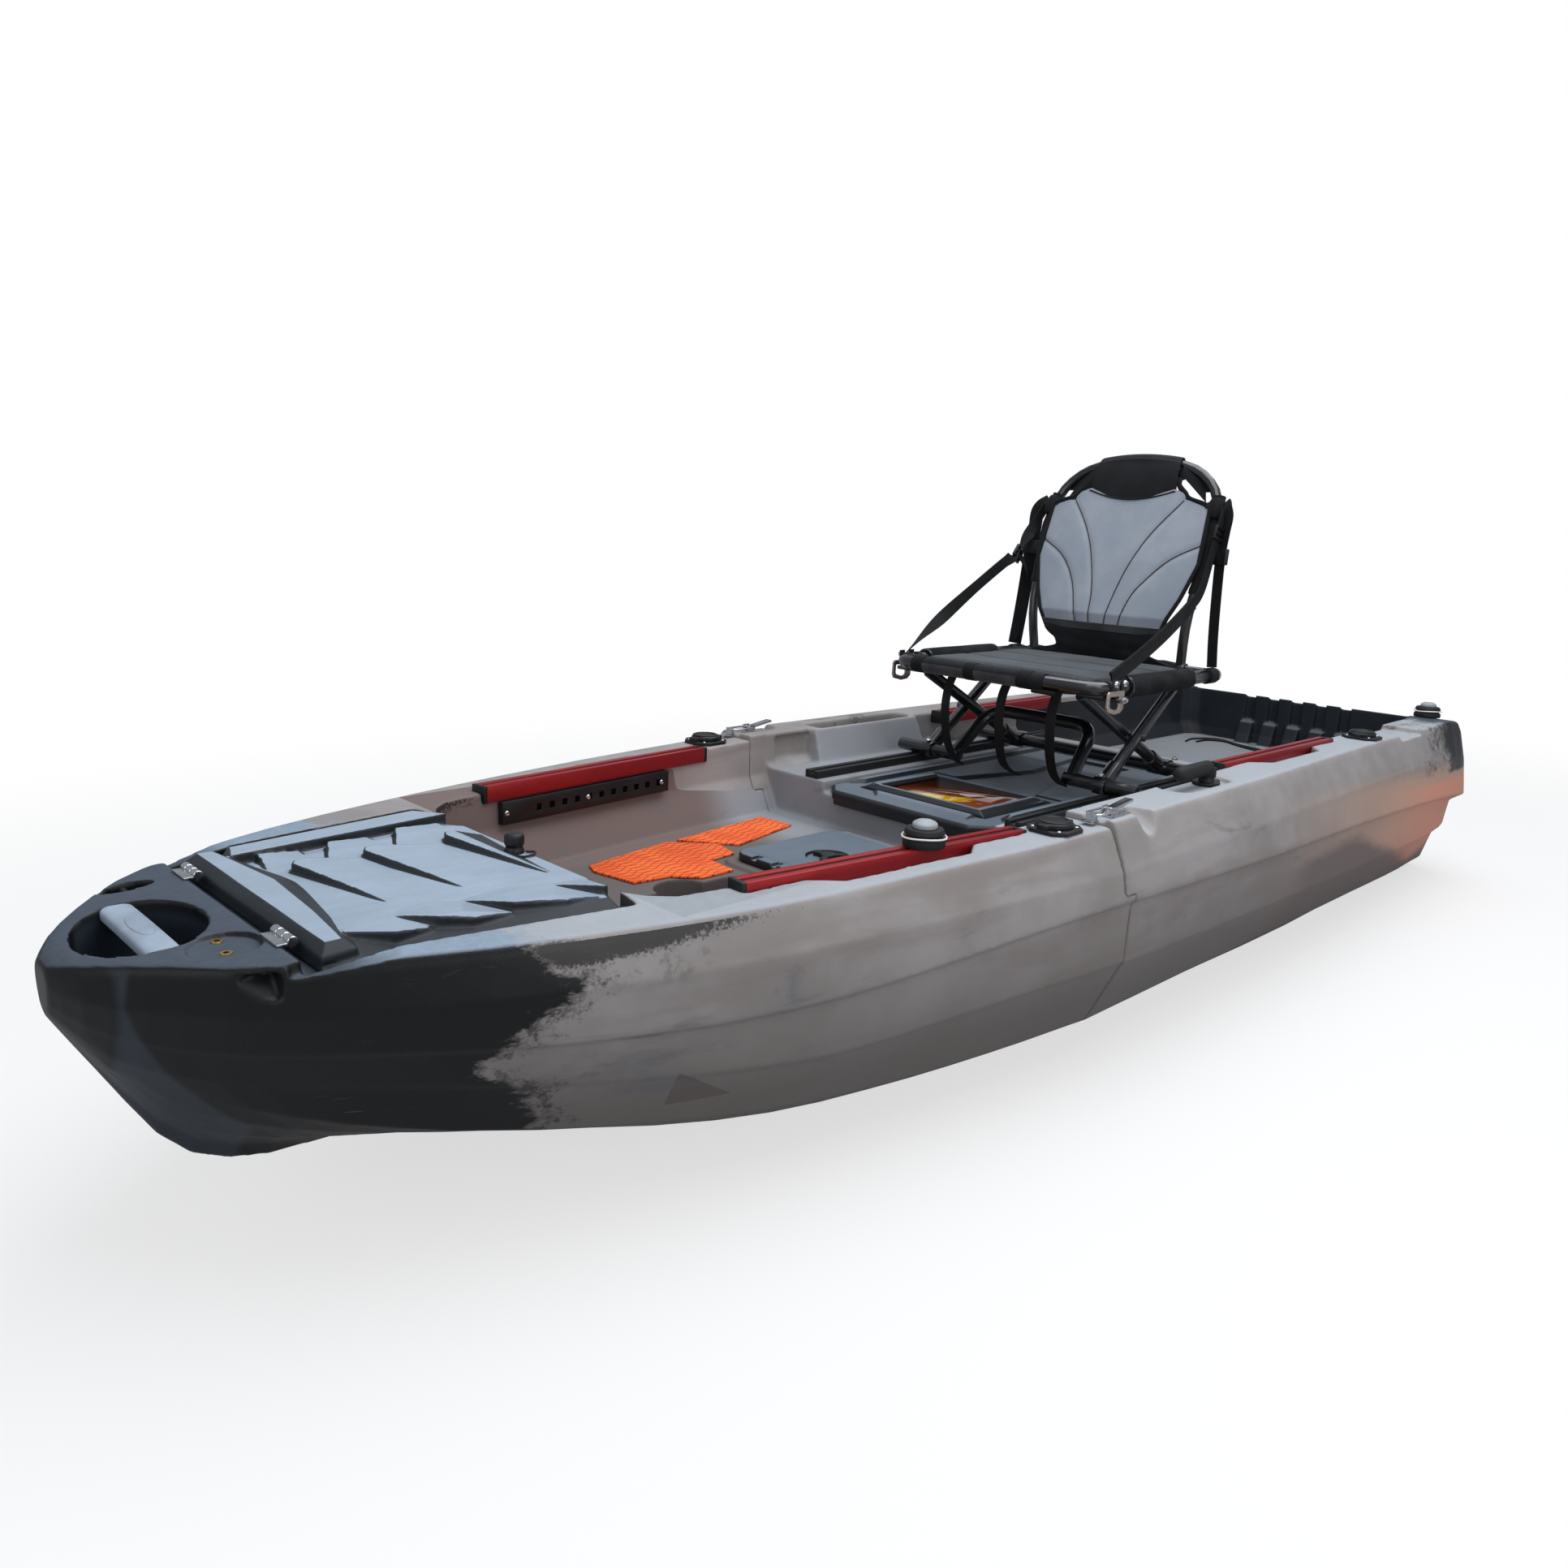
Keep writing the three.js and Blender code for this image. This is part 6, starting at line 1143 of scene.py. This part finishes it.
# Shoulder edging and gussets, and the sleeves and edging down both sides
SHOULDER = [(0.96, 0.862), (0.93, 0.868), (0.86, 0.878), (0.78, 0.889), (0.70, 0.899), (0.655, 0.908), (0.64, 0.918)]
BACK_TUBE_HALF = [(0.650, 0.176), (0.813, 0.187), (0.890, 0.178)]
for side, word in SIDES:
    notch = Piece(f"shoulder_edging_{word}")
    line = curve_through([(between(TUBE_LINE, 1, z)[0] + 0.0165, side * u * 0.150 * (1.17 if u > 0.9 else 1), z)
                          for u, z in SHOULDER], 5)
    notch.strap(line, (0.25, side * 0.5, 0.8), 0.013, 0.0042)
    line = [(-0.4745, side * 0.096, 0.916), (-0.480, side * 0.094, 0.930), (-0.483, side * 0.092, 0.944)]
    notch.strap(curve_through(line, 5), (0, 1, 0), 0.012, 0.0046)
    notch.done(*SEAT_CLOTH)

    rows = []
    for t in evenly(0, 1, 9):
        rows.append([Vector((-0.474 + 0.008 * t, side * (0.094 + 0.062 * t), 0.925 - 0.050 * t)),
                     Vector((-0.476, side * (0.096 + 0.052 * t), 0.942 - 0.048 * t)),
                     Vector((-0.489 + 0.012 * t, side * (0.100 + 0.068 * t), 0.950 - 0.056 * t))])
    thicken(Piece(f"shoulder_gusset_{word}").skin(rows).done(*SEAT_CLOTH), 0.003)

    line = []
    for z in evenly(0.700, 0.884, 22):
        y = between(BACK_TUBE_HALF, 0, z)[1]
        line.append((between(TUBE_LINE, 1, z)[0], side * (y + 0.0006), z))
    creased = [0.0124 + 0.0006 * math.sin(1.9 * i) for i in range(len(line))]
    Piece(f"back_sleeve_{word}").tube(line, creased, 20).done(*SEAT_CLOTH)

    line = [back_face(side * 0.975, z, 0.0005) for z in evenly(MESH_FOOT, 0.872, 30)]
    Piece(f"back_side_edging_{word}").strap(line, (0, 1, 0), 0.0085, 0.0042).done(*SEAT_CLOTH)

# Lumbar pad, and its sleeve round the lower tube
LUMBAR = [(0.556, 0.170), (0.561, 0.166), (0.566, 0.150), (0.572, 0.122), (0.578, 0.104), (0.584, 0.098),
          (0.592, 0.102), (0.602, 0.117), (0.612, 0.128), (0.622, 0.132)]
rows = []
for z in evenly(0.556, 0.6225, 26):
    half = between(LUMBAR, 0, z)[1]
    t = (z - 0.556) / 0.0665
    row = []
    for u in evenly(-1, 1, 61):
        bulge = 0.010 * (1 - u * u) * t + 0.004 * math.sin(math.pi * t)
        fold = 0.0016 * math.sin(70 * z * math.pi + 2.2 * u) * (1 - t) * (0.4 + abs(u))
        row.append((-0.4002 + 0.0095 * t + bulge + fold, u * half, z))
    rows.append(row)
thicken(Piece("lumbar_pad").skin(rows).done(*SEAT_CLOTH), 0.007)
creased = [0.0128 + 0.0008 * math.sin(1.3 * i) for i in range(40)]
Piece("lumbar_sleeve").tube([(-0.413, y, 0.5555) for y in evenly(-0.168, 0.168, 40)], creased, 20).done(*SEAT_CLOTH)

# Front of the pan: cloth wrapped round the front tube, with strips of net under its bands
wrap = Piece("front_wrap")
wrap.tube([(FRONT_TUBE_X, y, PAN_Z) for y in evenly(-0.176, 0.118, 40)],
          [0.0150 + 0.0004 * math.sin(1.7 * i) for i in range(40)], 24)
wrap.skin([[(FRONT_TUBE_X - 0.020 * t, y, PAN_Z + 0.0148 - 0.001 * t) for y in evenly(-0.176, 0.118, 30)]
           for t in evenly(0, 1, 4)])
wrap.done(*SEAT_CLOTH)
for number, (low, high) in enumerate([(-0.152, -0.054), (-0.030, 0.064)]):
    net = Piece(f"front_net_{number}")
    net.skin([[(FRONT_TUBE_X + 0.0160 * math.cos(a), y, PAN_Z + 0.0160 * math.sin(a)) for y in evenly(low, high, 24)]
              for a in evenly(0.30, -1.45, 10)])
    thicken(net.done(NET, "seat_pan", "seat_fabric"), 0.0006)


def cuff(name, line, low, high, sides, finish):
    """Short sleeve along four points of a tube, with a smaller radius at both its ends."""
    Piece(name).tube(line, [low, high, high, low], sides).done(*finish)


for number, (low, high) in enumerate([(-0.180, -0.152), (-0.054, -0.030), (0.064, 0.092)]):
    line = [(FRONT_TUBE_X, y, PAN_Z) for y in (low, low + 0.0015, high - 0.0015, high)]
    cuff(f"front_band_{number}", line, 0.0152, 0.0168, 24, SEAT_TAPE)
tab = Piece("front_tab").strap([(-0.026, 0.098, 0.5325), (-0.026, 0.146, 0.5325)], (1, 0, 0), 0.022, 0.007)
tab.done(*SEAT_TAPE, bevel=0.001)


# Straps
def upright(path):
    """For each point of a path the way across it, in the upright plane that it runs in."""
    return [way_at(path, i).cross(Vector((0, 1, 0))).normalized() for i in range(len(path))]


WEBBING_WIDE, WEBBING_THICK = 0.0245, 0.0022
side_port = curve_through([(-0.066, 0.2255, 0.566), (-0.150, 0.220, 0.594), (-0.251, 0.213, 0.632),
                           (-0.350, 0.2095, 0.683), (-0.385, 0.209, 0.712), (-0.407, 0.2085, 0.767),
                           (-0.430, 0.2075, 0.820), (-0.452, 0.203, 0.860)], 8)
doubled = side_port[:26]
strap = Piece("side_strap_near")
strap.strap(side_port, upright(side_port), WEBBING_WIDE, WEBBING_THICK)
strap.strap(doubled, [w + Vector((0, 0.3, 0)) for w in upright(doubled)], WEBBING_WIDE, WEBBING_THICK)
strap.done(*SEAT_TAPE, stands_for=["side_strap_port"])

side_star = curve_through([(-0.060, -0.2255, 0.566), (-0.110, -0.2215, 0.602), (-0.186, -0.2165, 0.652),
                           (-0.270, -0.212, 0.703), (-0.340, -0.2095, 0.742), (-0.378, -0.209, 0.760),
                           (-0.405, -0.2085, 0.790), (-0.436, -0.2070, 0.826), (-0.458, -0.202, 0.858)], 8)
twist = []
for i, way in enumerate(upright(side_star)):
    t = i / (len(side_star) - 1)
    if t < 0.5:
        share = min(1.0, t / 0.35)
    elif t < 0.62:
        share = max(0.0, 1 - (t - 0.5) / 0.12)
    else:
        share = min(1.0, (t - 0.62) / 0.3)
    twist.append(way * share + Vector((0.7, 0.7, 0.2)) * (1 - share))
strap = Piece("side_strap_far").strap(side_star, twist, WEBBING_WIDE, WEBBING_THICK)
strap.done(*SEAT_TAPE, stands_for=["side_strap_starboard"])

tail = curve_through([(-0.384, -0.209, 0.755), (-0.402, -0.211, 0.744), (-0.425, -0.214, 0.722),
                      (-0.441, -0.217, 0.690), (-0.446, -0.220, 0.655), (-0.443, -0.223, 0.620),
                      (-0.433, -0.225, 0.590), (-0.420, -0.226, 0.570)], 7)
strap = Piece("side_strap_tail")
strap.strap(tail, [w * 0.6 + Vector((0.5, 0.5, 0.1)) for w in upright(tail)], WEBBING_WIDE, 0.002)
strap.done(*SEAT_TAPE)


def slider(name, centre, along, across):
    """Moulded adjuster: two side bars and three bars between them, with the webbing threaded through."""
    length, width, thick = 0.026, 0.031, 0.0055
    along, across = Vector(along).normalized(), Vector(across)
    across = (across - along * across.dot(along)).normalized()
    centre = Vector(centre)
    piece = Piece(name)
    for edge in (-1, 1):
        middle = centre + across * edge * width / 2
        piece.bar(middle - along * length / 2, middle + along * length / 2, across, 0.004, thick)
    for place in (-1, 0, 1):
        middle = centre + along * place * (length / 2 - 0.002)
        piece.bar(middle - across * width / 2, middle + across * width / 2, along, 0.0045, thick * 1.2)
    piece.done(*SEAT_BLACK, bevel=0.0008)


slider("adjuster_far", (-0.380, -0.209, 0.758), (-0.6, 0, 0.75), (0.75, 0.2, 0.6))
slider("adjuster_near", (-0.428, 0.2085, 0.815), (-0.35, 0, 0.93), (0.93, 0, 0.35))

for side, word in SIDES:
    hang = curve_through([(-0.462, side * 0.1955, 0.872), (-0.452, side * 0.206, 0.862), (-0.446, side * 0.214, 0.846),
                          (-0.441, side * 0.2135, 0.815), (-0.434, side * 0.214, 0.772),
                          (-0.429, side * 0.218, 0.690), (-0.425, side * 0.223, 0.620),
                          (-0.4225, side * 0.2285, 0.5655)], 7)
    across = (0.42, side * 0.9, 0)
    Piece(f"rear_strap_{word}").strap(hang, across, 0.028, 0.0024).done(*SEAT_TAPE)
    buckle = Piece(f"rear_buckle_{word}")
    buckle.bar((-0.4325, side * 0.2145, 0.758), (-0.4345, side * 0.2145, 0.788), across, 0.036, 0.0085)
    buckle.bar((-0.4305, side * 0.2195, 0.764), (-0.4320, side * 0.2195, 0.782), across, 0.022, 0.006)
    buckle.done(*SEAT_BLACK, bevel=0.0018)
    line = [(x, side * PAN_HALF, PAN_Z) for x in (-0.438, -0.4365, -0.4085, -0.407)]
    cuff(f"rear_cuff_{word}", line, 0.0130, 0.0152, 24, SEAT_TAPE)
    line = [(-0.452, side * 0.1835, 0.842), (-0.4535, side * 0.1835, 0.846), (-0.4625, side * 0.1815, 0.874),
            (-0.464, side * 0.1812, 0.878)]
    cuff(f"shoulder_loop_{word}", line, 0.0130, 0.0150, 20, SEAT_TAPE)
    tip = Piece(f"pan_tube_end_{word}")
    tip.turned([(0.0, 0.0), (0.0115, 0.0), (0.0128, 0.0012), (0.0128, 0.010), (0.0126, 0.0105), (0.0, 0.0105)],
               (-0.4485, side * PAN_HALF, PAN_Z), (1, 0, 0), 28)
    tip.done(STEEL, "seat_pan", "bright_steel")

for number, (y, reach) in enumerate([(-0.103, 0.0), (0.022, 0.012), (0.132, 0.004)]):
    belt = curve_through([(-0.052, y, 0.534), (-0.040, y, 0.512), (-0.030, y + 0.003, 0.480),
                          (-0.032, y + 0.004, 0.445), (-0.048, y - 0.002, 0.410), (-0.075, y - 0.008, 0.376),
                          (-0.110 - reach, y - 0.014, 0.352)], 8)
    belt_obj = Piece(f"under_strap_{number}").strap(belt, (0.15, 1, 0), 0.022, 0.0022).done(*SEAT_TAPE)
    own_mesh(belt_obj)


# Metal on the seat
def bolt(name, centre, axis, radius, height, body, finish=STEEL, nut=False):
    """Screw head: a rounded pan with a round socket sunk in it, or a plain hexagon nut."""
    piece = Piece(name)
    if nut:
        piece.turned([(0, 0), (radius, 0), (radius, height * 0.8), (radius * 0.86, height), (0, height)],
                     centre, axis, 6)
        piece.turned([(0, height), (radius * 0.5, height), (radius * 0.5, height * 1.5), (0, height * 1.5)],
                     centre, axis, 14)
    else:
        piece.turned([(0, 0), (radius, 0), (radius, height * 0.45), (radius * 0.8, height * 0.9),
                      (radius * 0.5, height), (radius * 0.46, height * 0.4), (0, height * 0.4)], centre, axis, 20)
    piece.done(finish, body, "bright_steel")


CLAMP_X = (-0.086, -0.058)
for side, word in SIDES:
    clamp = Piece(f"strap_clamp_{word}")
    for x in CLAMP_X:
        clamp.tube([(x + step, side * PAN_HALF, PAN_Z) for step in (-0.007, -0.006, 0.006, 0.007)],
                   [0.0128, 0.0146, 0.0146, 0.0128], 24)
        clamp.strap([(x, side * 0.2385, 0.540), (x, side * 0.2385, 0.5665)], (1, 0, 0), 0.015, 0.003)
    clamp.done(*SEAT_BLACK, bevel=0.0006)
    for number, x in enumerate(CLAMP_X):
        bolt(f"clamp_bolt_{word}_{number}", (x, side * 0.240, 0.5585), (0, side, 0), 0.0062, 0.005, "seat_pan")


CATCH_FACES = (0.2382, 0.2418)
PLATE_OUTER = [(-0.087, 0.547), (-0.038, 0.547), (-0.034, 0.543), (-0.033, 0.520), (-0.037, 0.512),
               (-0.060, 0.5065), (-0.078, 0.508), (-0.087, 0.515)]
PLATE_WINDOW = [(-0.070, 0.538), (-0.043, 0.538), (-0.0415, 0.536), (-0.0415, 0.523), (-0.044, 0.519),
                (-0.060, 0.5145), (-0.068, 0.516), (-0.0715, 0.520)]


def slotted_plate(side, word):
    """D-shaped catch with a window and its bolt, from flat stainless sheet."""
    name = f"slotted_catch_{word}"
    faces = [side * y for y in CATCH_FACES]
    piece = Piece(name)
    for y in faces:
        rings = [[piece.mesh.verts.new((x, y, z)) for x, z in line] for line in (PLATE_OUTER, PLATE_WINDOW)]
        for i in range(len(PLATE_OUTER)):
            j = (i + 1) % len(PLATE_OUTER)
            piece.mesh.faces.new((rings[0][i], rings[0][j], rings[1][j], rings[1][i]))
    for line in (PLATE_OUTER, PLATE_WINDOW):
        piece.skin([[(x, y, z) for x, z in line] for y in faces], closed=True)
    piece.done(PLATE, "seat_pan", "plate_steel", bevel=0.0007, stands_for=[f"latch_plate_{word}"])
    bolt(name + "_bolt", (-0.079, faces[1], 0.531), (0, side, 0), 0.0068, 0.007, "seat_pan", nut=True)


for side, word in SIDES:
    slotted_plate(side, word)

# Gear rails: their ends and tops, a dark strip sunk in the slot as painted shade, and end caps
RAILS = (("front", ((0.848, 0.297), (0.364, 0.352)), 0.397), ("rear", ((-0.292, 0.325), (-0.760, 0.330)), 0.411))
for word, ends, top in RAILS:
    for side, hand in SIDES:
        fore, aft = (Vector((x, side * y, top)) for x, y in ends)
        along = (fore - aft).normalized()
        flat = along.cross(Vector((0, 0, 1)))
        inset, sunk = along * 0.002, Vector((0, 0, 0.0031))
        # A dark strip in the rail's slot: painted shade
        slot = Piece(f"{word}_rail_slot_shade_{hand}").bar(aft + inset - sunk, fore - inset - sunk, flat, 0.0086, 0.0006)
        slot.done(RUBBER, "hull", "black_plastic")
        for number, (place, way) in enumerate(((fore, 1), (aft, -1))):
            middle = place - Vector((0, 0, 0.0133))
            cap = Piece(f"{word}_rail_end_{number}_{hand}")
            cap.bar(middle - along * way * 0.004, middle + along * way * 0.003, flat, 0.0312, 0.0276)
            cap.done(BLACK, "hull", "black_plastic", bevel=0.0015)

# Brass inserts in the round pad on the port side of the bow, each with a dark disc in its bore as painted shade
INSERT_RADIUS, INSERT_BORE, INSERT_HIGH = 0.0062, 0.0030, 0.0016
for number, (x, y) in enumerate([(1.361, 0.086), (1.365, 0.124)]):
    insert = Piece(f"deck_insert_{number}_port")
    insert.turned([(INSERT_BORE, 0), (INSERT_RADIUS, 0), (INSERT_RADIUS, INSERT_HIGH * 0.7),
                   (INSERT_RADIUS - 0.12 * INSERT_HIGH, INSERT_HIGH), (INSERT_BORE, INSERT_HIGH), (INSERT_BORE, 0)],
                  (x, y, 0.3751), (0, 0, 1), 28)
    insert.done(BRASS, "hull", "bright_steel")
    # Dark disc in the insert's bore: painted shade
    bolt(f"deck_insert_bore_shade_{number}_port", (x, y, 0.3749), (0, 0, 1), 0.0032, 0.0010, "hull", RUBBER)

# Carrying handle
HANDLE_X = 1.408
grip = Piece("handle_grip")
section = [(0.0169 * math.copysign(abs(math.cos(a)) ** 0.62, math.cos(a)),
            0.0089 * math.copysign(abs(math.sin(a)) ** 0.62, math.sin(a))) for a in evenly(0, 2 * math.pi, 41)[:-1]]
grip.skin([[(HANDLE_X + u, y, 0.3693 + v + 0.0008 * (1 - (y / 0.084) ** 2)) for u, v in section]
           for y in evenly(-0.0836, 0.0836, 24)], closed=True, ends=True)
grip.done(GREY, "hull", "grey_plastic", stands_for=["bow_handle"])
oval = [(HANDLE_X + 0.010 * math.cos(a), 0.036 * math.sin(a)) for a in evenly(0, 2 * math.pi, 49)[:-1]]
Piece("handle_pad").plate(oval, 0.3770, 0.3797).done(GREY, "hull", "grey_plastic", bevel=0.001)

# Screws, hinge knuckles and bolts on both sides
TRACK_SLOPE = 0.1182
for side, hand in SIDES:
    for number, x in enumerate((0.812, 0.648, 0.480)):
        place = (x, side * (0.2773 + TRACK_SLOPE * (0.820 - x)), 0.351)
        bolt(f"track_screw_{number}_{hand}", place, (0, -side, 0), 0.0042, 0.0022, "hull")
    for number, step in enumerate((-0.016, 0, 0.016)):
        y = side * 0.136 + step
        line = [(1.313, y + reach, 0.386) for reach in (-0.0068, -0.0062, 0.0062, 0.0068)]
        cuff(f"lid_hinge_knuckle_{number}_{hand}", line, 0.0050, 0.0056, 20, (STEEL, "hull", "bright_steel"))
    for number, (x, body) in enumerate(((-0.110, "seat_front"), (-0.375, "seat_rear"))):
        bolt(f"foot_bolt_{number}_{hand}", (x, side * 0.199, 0.3845), (0, 0, 1), 0.0055, 0.0045, body, nut=True)
    crossing = Piece(f"crossing_bolt_{hand}")
    crossing.turned([(0, 0), (0.0068, 0), (0.0068, 0.003), (0.0045, 0.0052), (0, 0.0055)],
                    (-0.2226, side * 0.2095, 0.446), (0, side, 0), 18)
    crossing.done(STEEL, "seat_front", "bright_steel")

leash = curve_through([(0.958, 0.012, 0.3835), (0.950, 0.020, 0.3838), (0.957, 0.030, 0.3836),
                       (0.972, 0.029, 0.3832), (0.977, 0.019, 0.3836), (0.974, 0.010, 0.3850)], 6)
Piece("knob_leash").tube(leash, 0.0016, 8).done(RUBBER, "front_lid", "black_plastic")


def plan_of(node):
    """A round CAD node's middle as x and y, half its length and width, and its lowest and highest points."""
    low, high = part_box(node)
    middle = ((low[0] + high[0]) / 2, (low[1] + high[1]) / 2)
    return middle, (high[0] - low[0]) / 2, (high[1] - low[1]) / 2, low[2], high[2]


# Gear mounts: a white tether ring round each base, and a button on each cap
for word, carrier in (("rail_mount", "rail_mount"), ("stern_mount", "hull")):
    (x, y), radius, _, foot, head = plan_of(f"{word}_base")
    height = foot + (head - foot) * 0.62
    line = [(x + (radius + 0.0006) * math.cos(a), y + (radius + 0.0006) * math.sin(a),
             height + 0.0012 * math.sin(2 * a)) for a in evenly(0, 2 * math.pi, 60)]
    Piece(f"{word}_tether").tube(line, 0.0013, 8).done(WHITE, carrier, "grey_plastic")
    (x, y), radius, _, _, head = plan_of(f"{word}_cap")
    button = Piece(f"{word}_button")
    button.turned([(0, 0), (radius * 0.70, 0), (radius * 0.70, 0.0012), (radius * 0.62, 0.0022), (0, 0.0026)],
                  (x, y, head - 0.0012), (0, 0, 1), 32)
    button.done(CAP_GREY, f"{word}_top", "grey_plastic")

# Rod holders: a rim on each cap, and four screws round its socket
SCREW_CIRCLE = 0.0315
for word in ("front_rod", "rear_rod"):
    for side, hand in SIDES:
        (x, y), _, radius, _, head = plan_of(f"{word}_cap_{hand}")
        rim = Piece(f"{word}_cap_rim_{hand}")
        rim.turned([(radius * 0.80, 0), (radius * 0.86, 0.0012), (radius * 0.80, 0.0020), (radius * 0.72, 0.0020),
                    (radius * 0.66, 0.0006), (radius * 0.66, -0.0005), (radius * 0.80, -0.0005)],
                   (x, y, head - 0.0004), (0, 0, 1), 36)
        rim.done(BLACK, f"{word}_cap_body_{hand}", "black_plastic")
        (x, y), _, _, _, head = plan_of(f"{word}_socket_{hand}")
        for number, turn in enumerate((45, 135, 225, 315)):
            a = math.radians(turn)
            place = (x + SCREW_CIRCLE * math.cos(a), y + SCREW_CIRCLE * math.sin(a), head - 0.0003)
            bolt(f"{word}_screw_{number}_{hand}", place, (0, 0, 1), 0.0032, 0.0014, "hull")
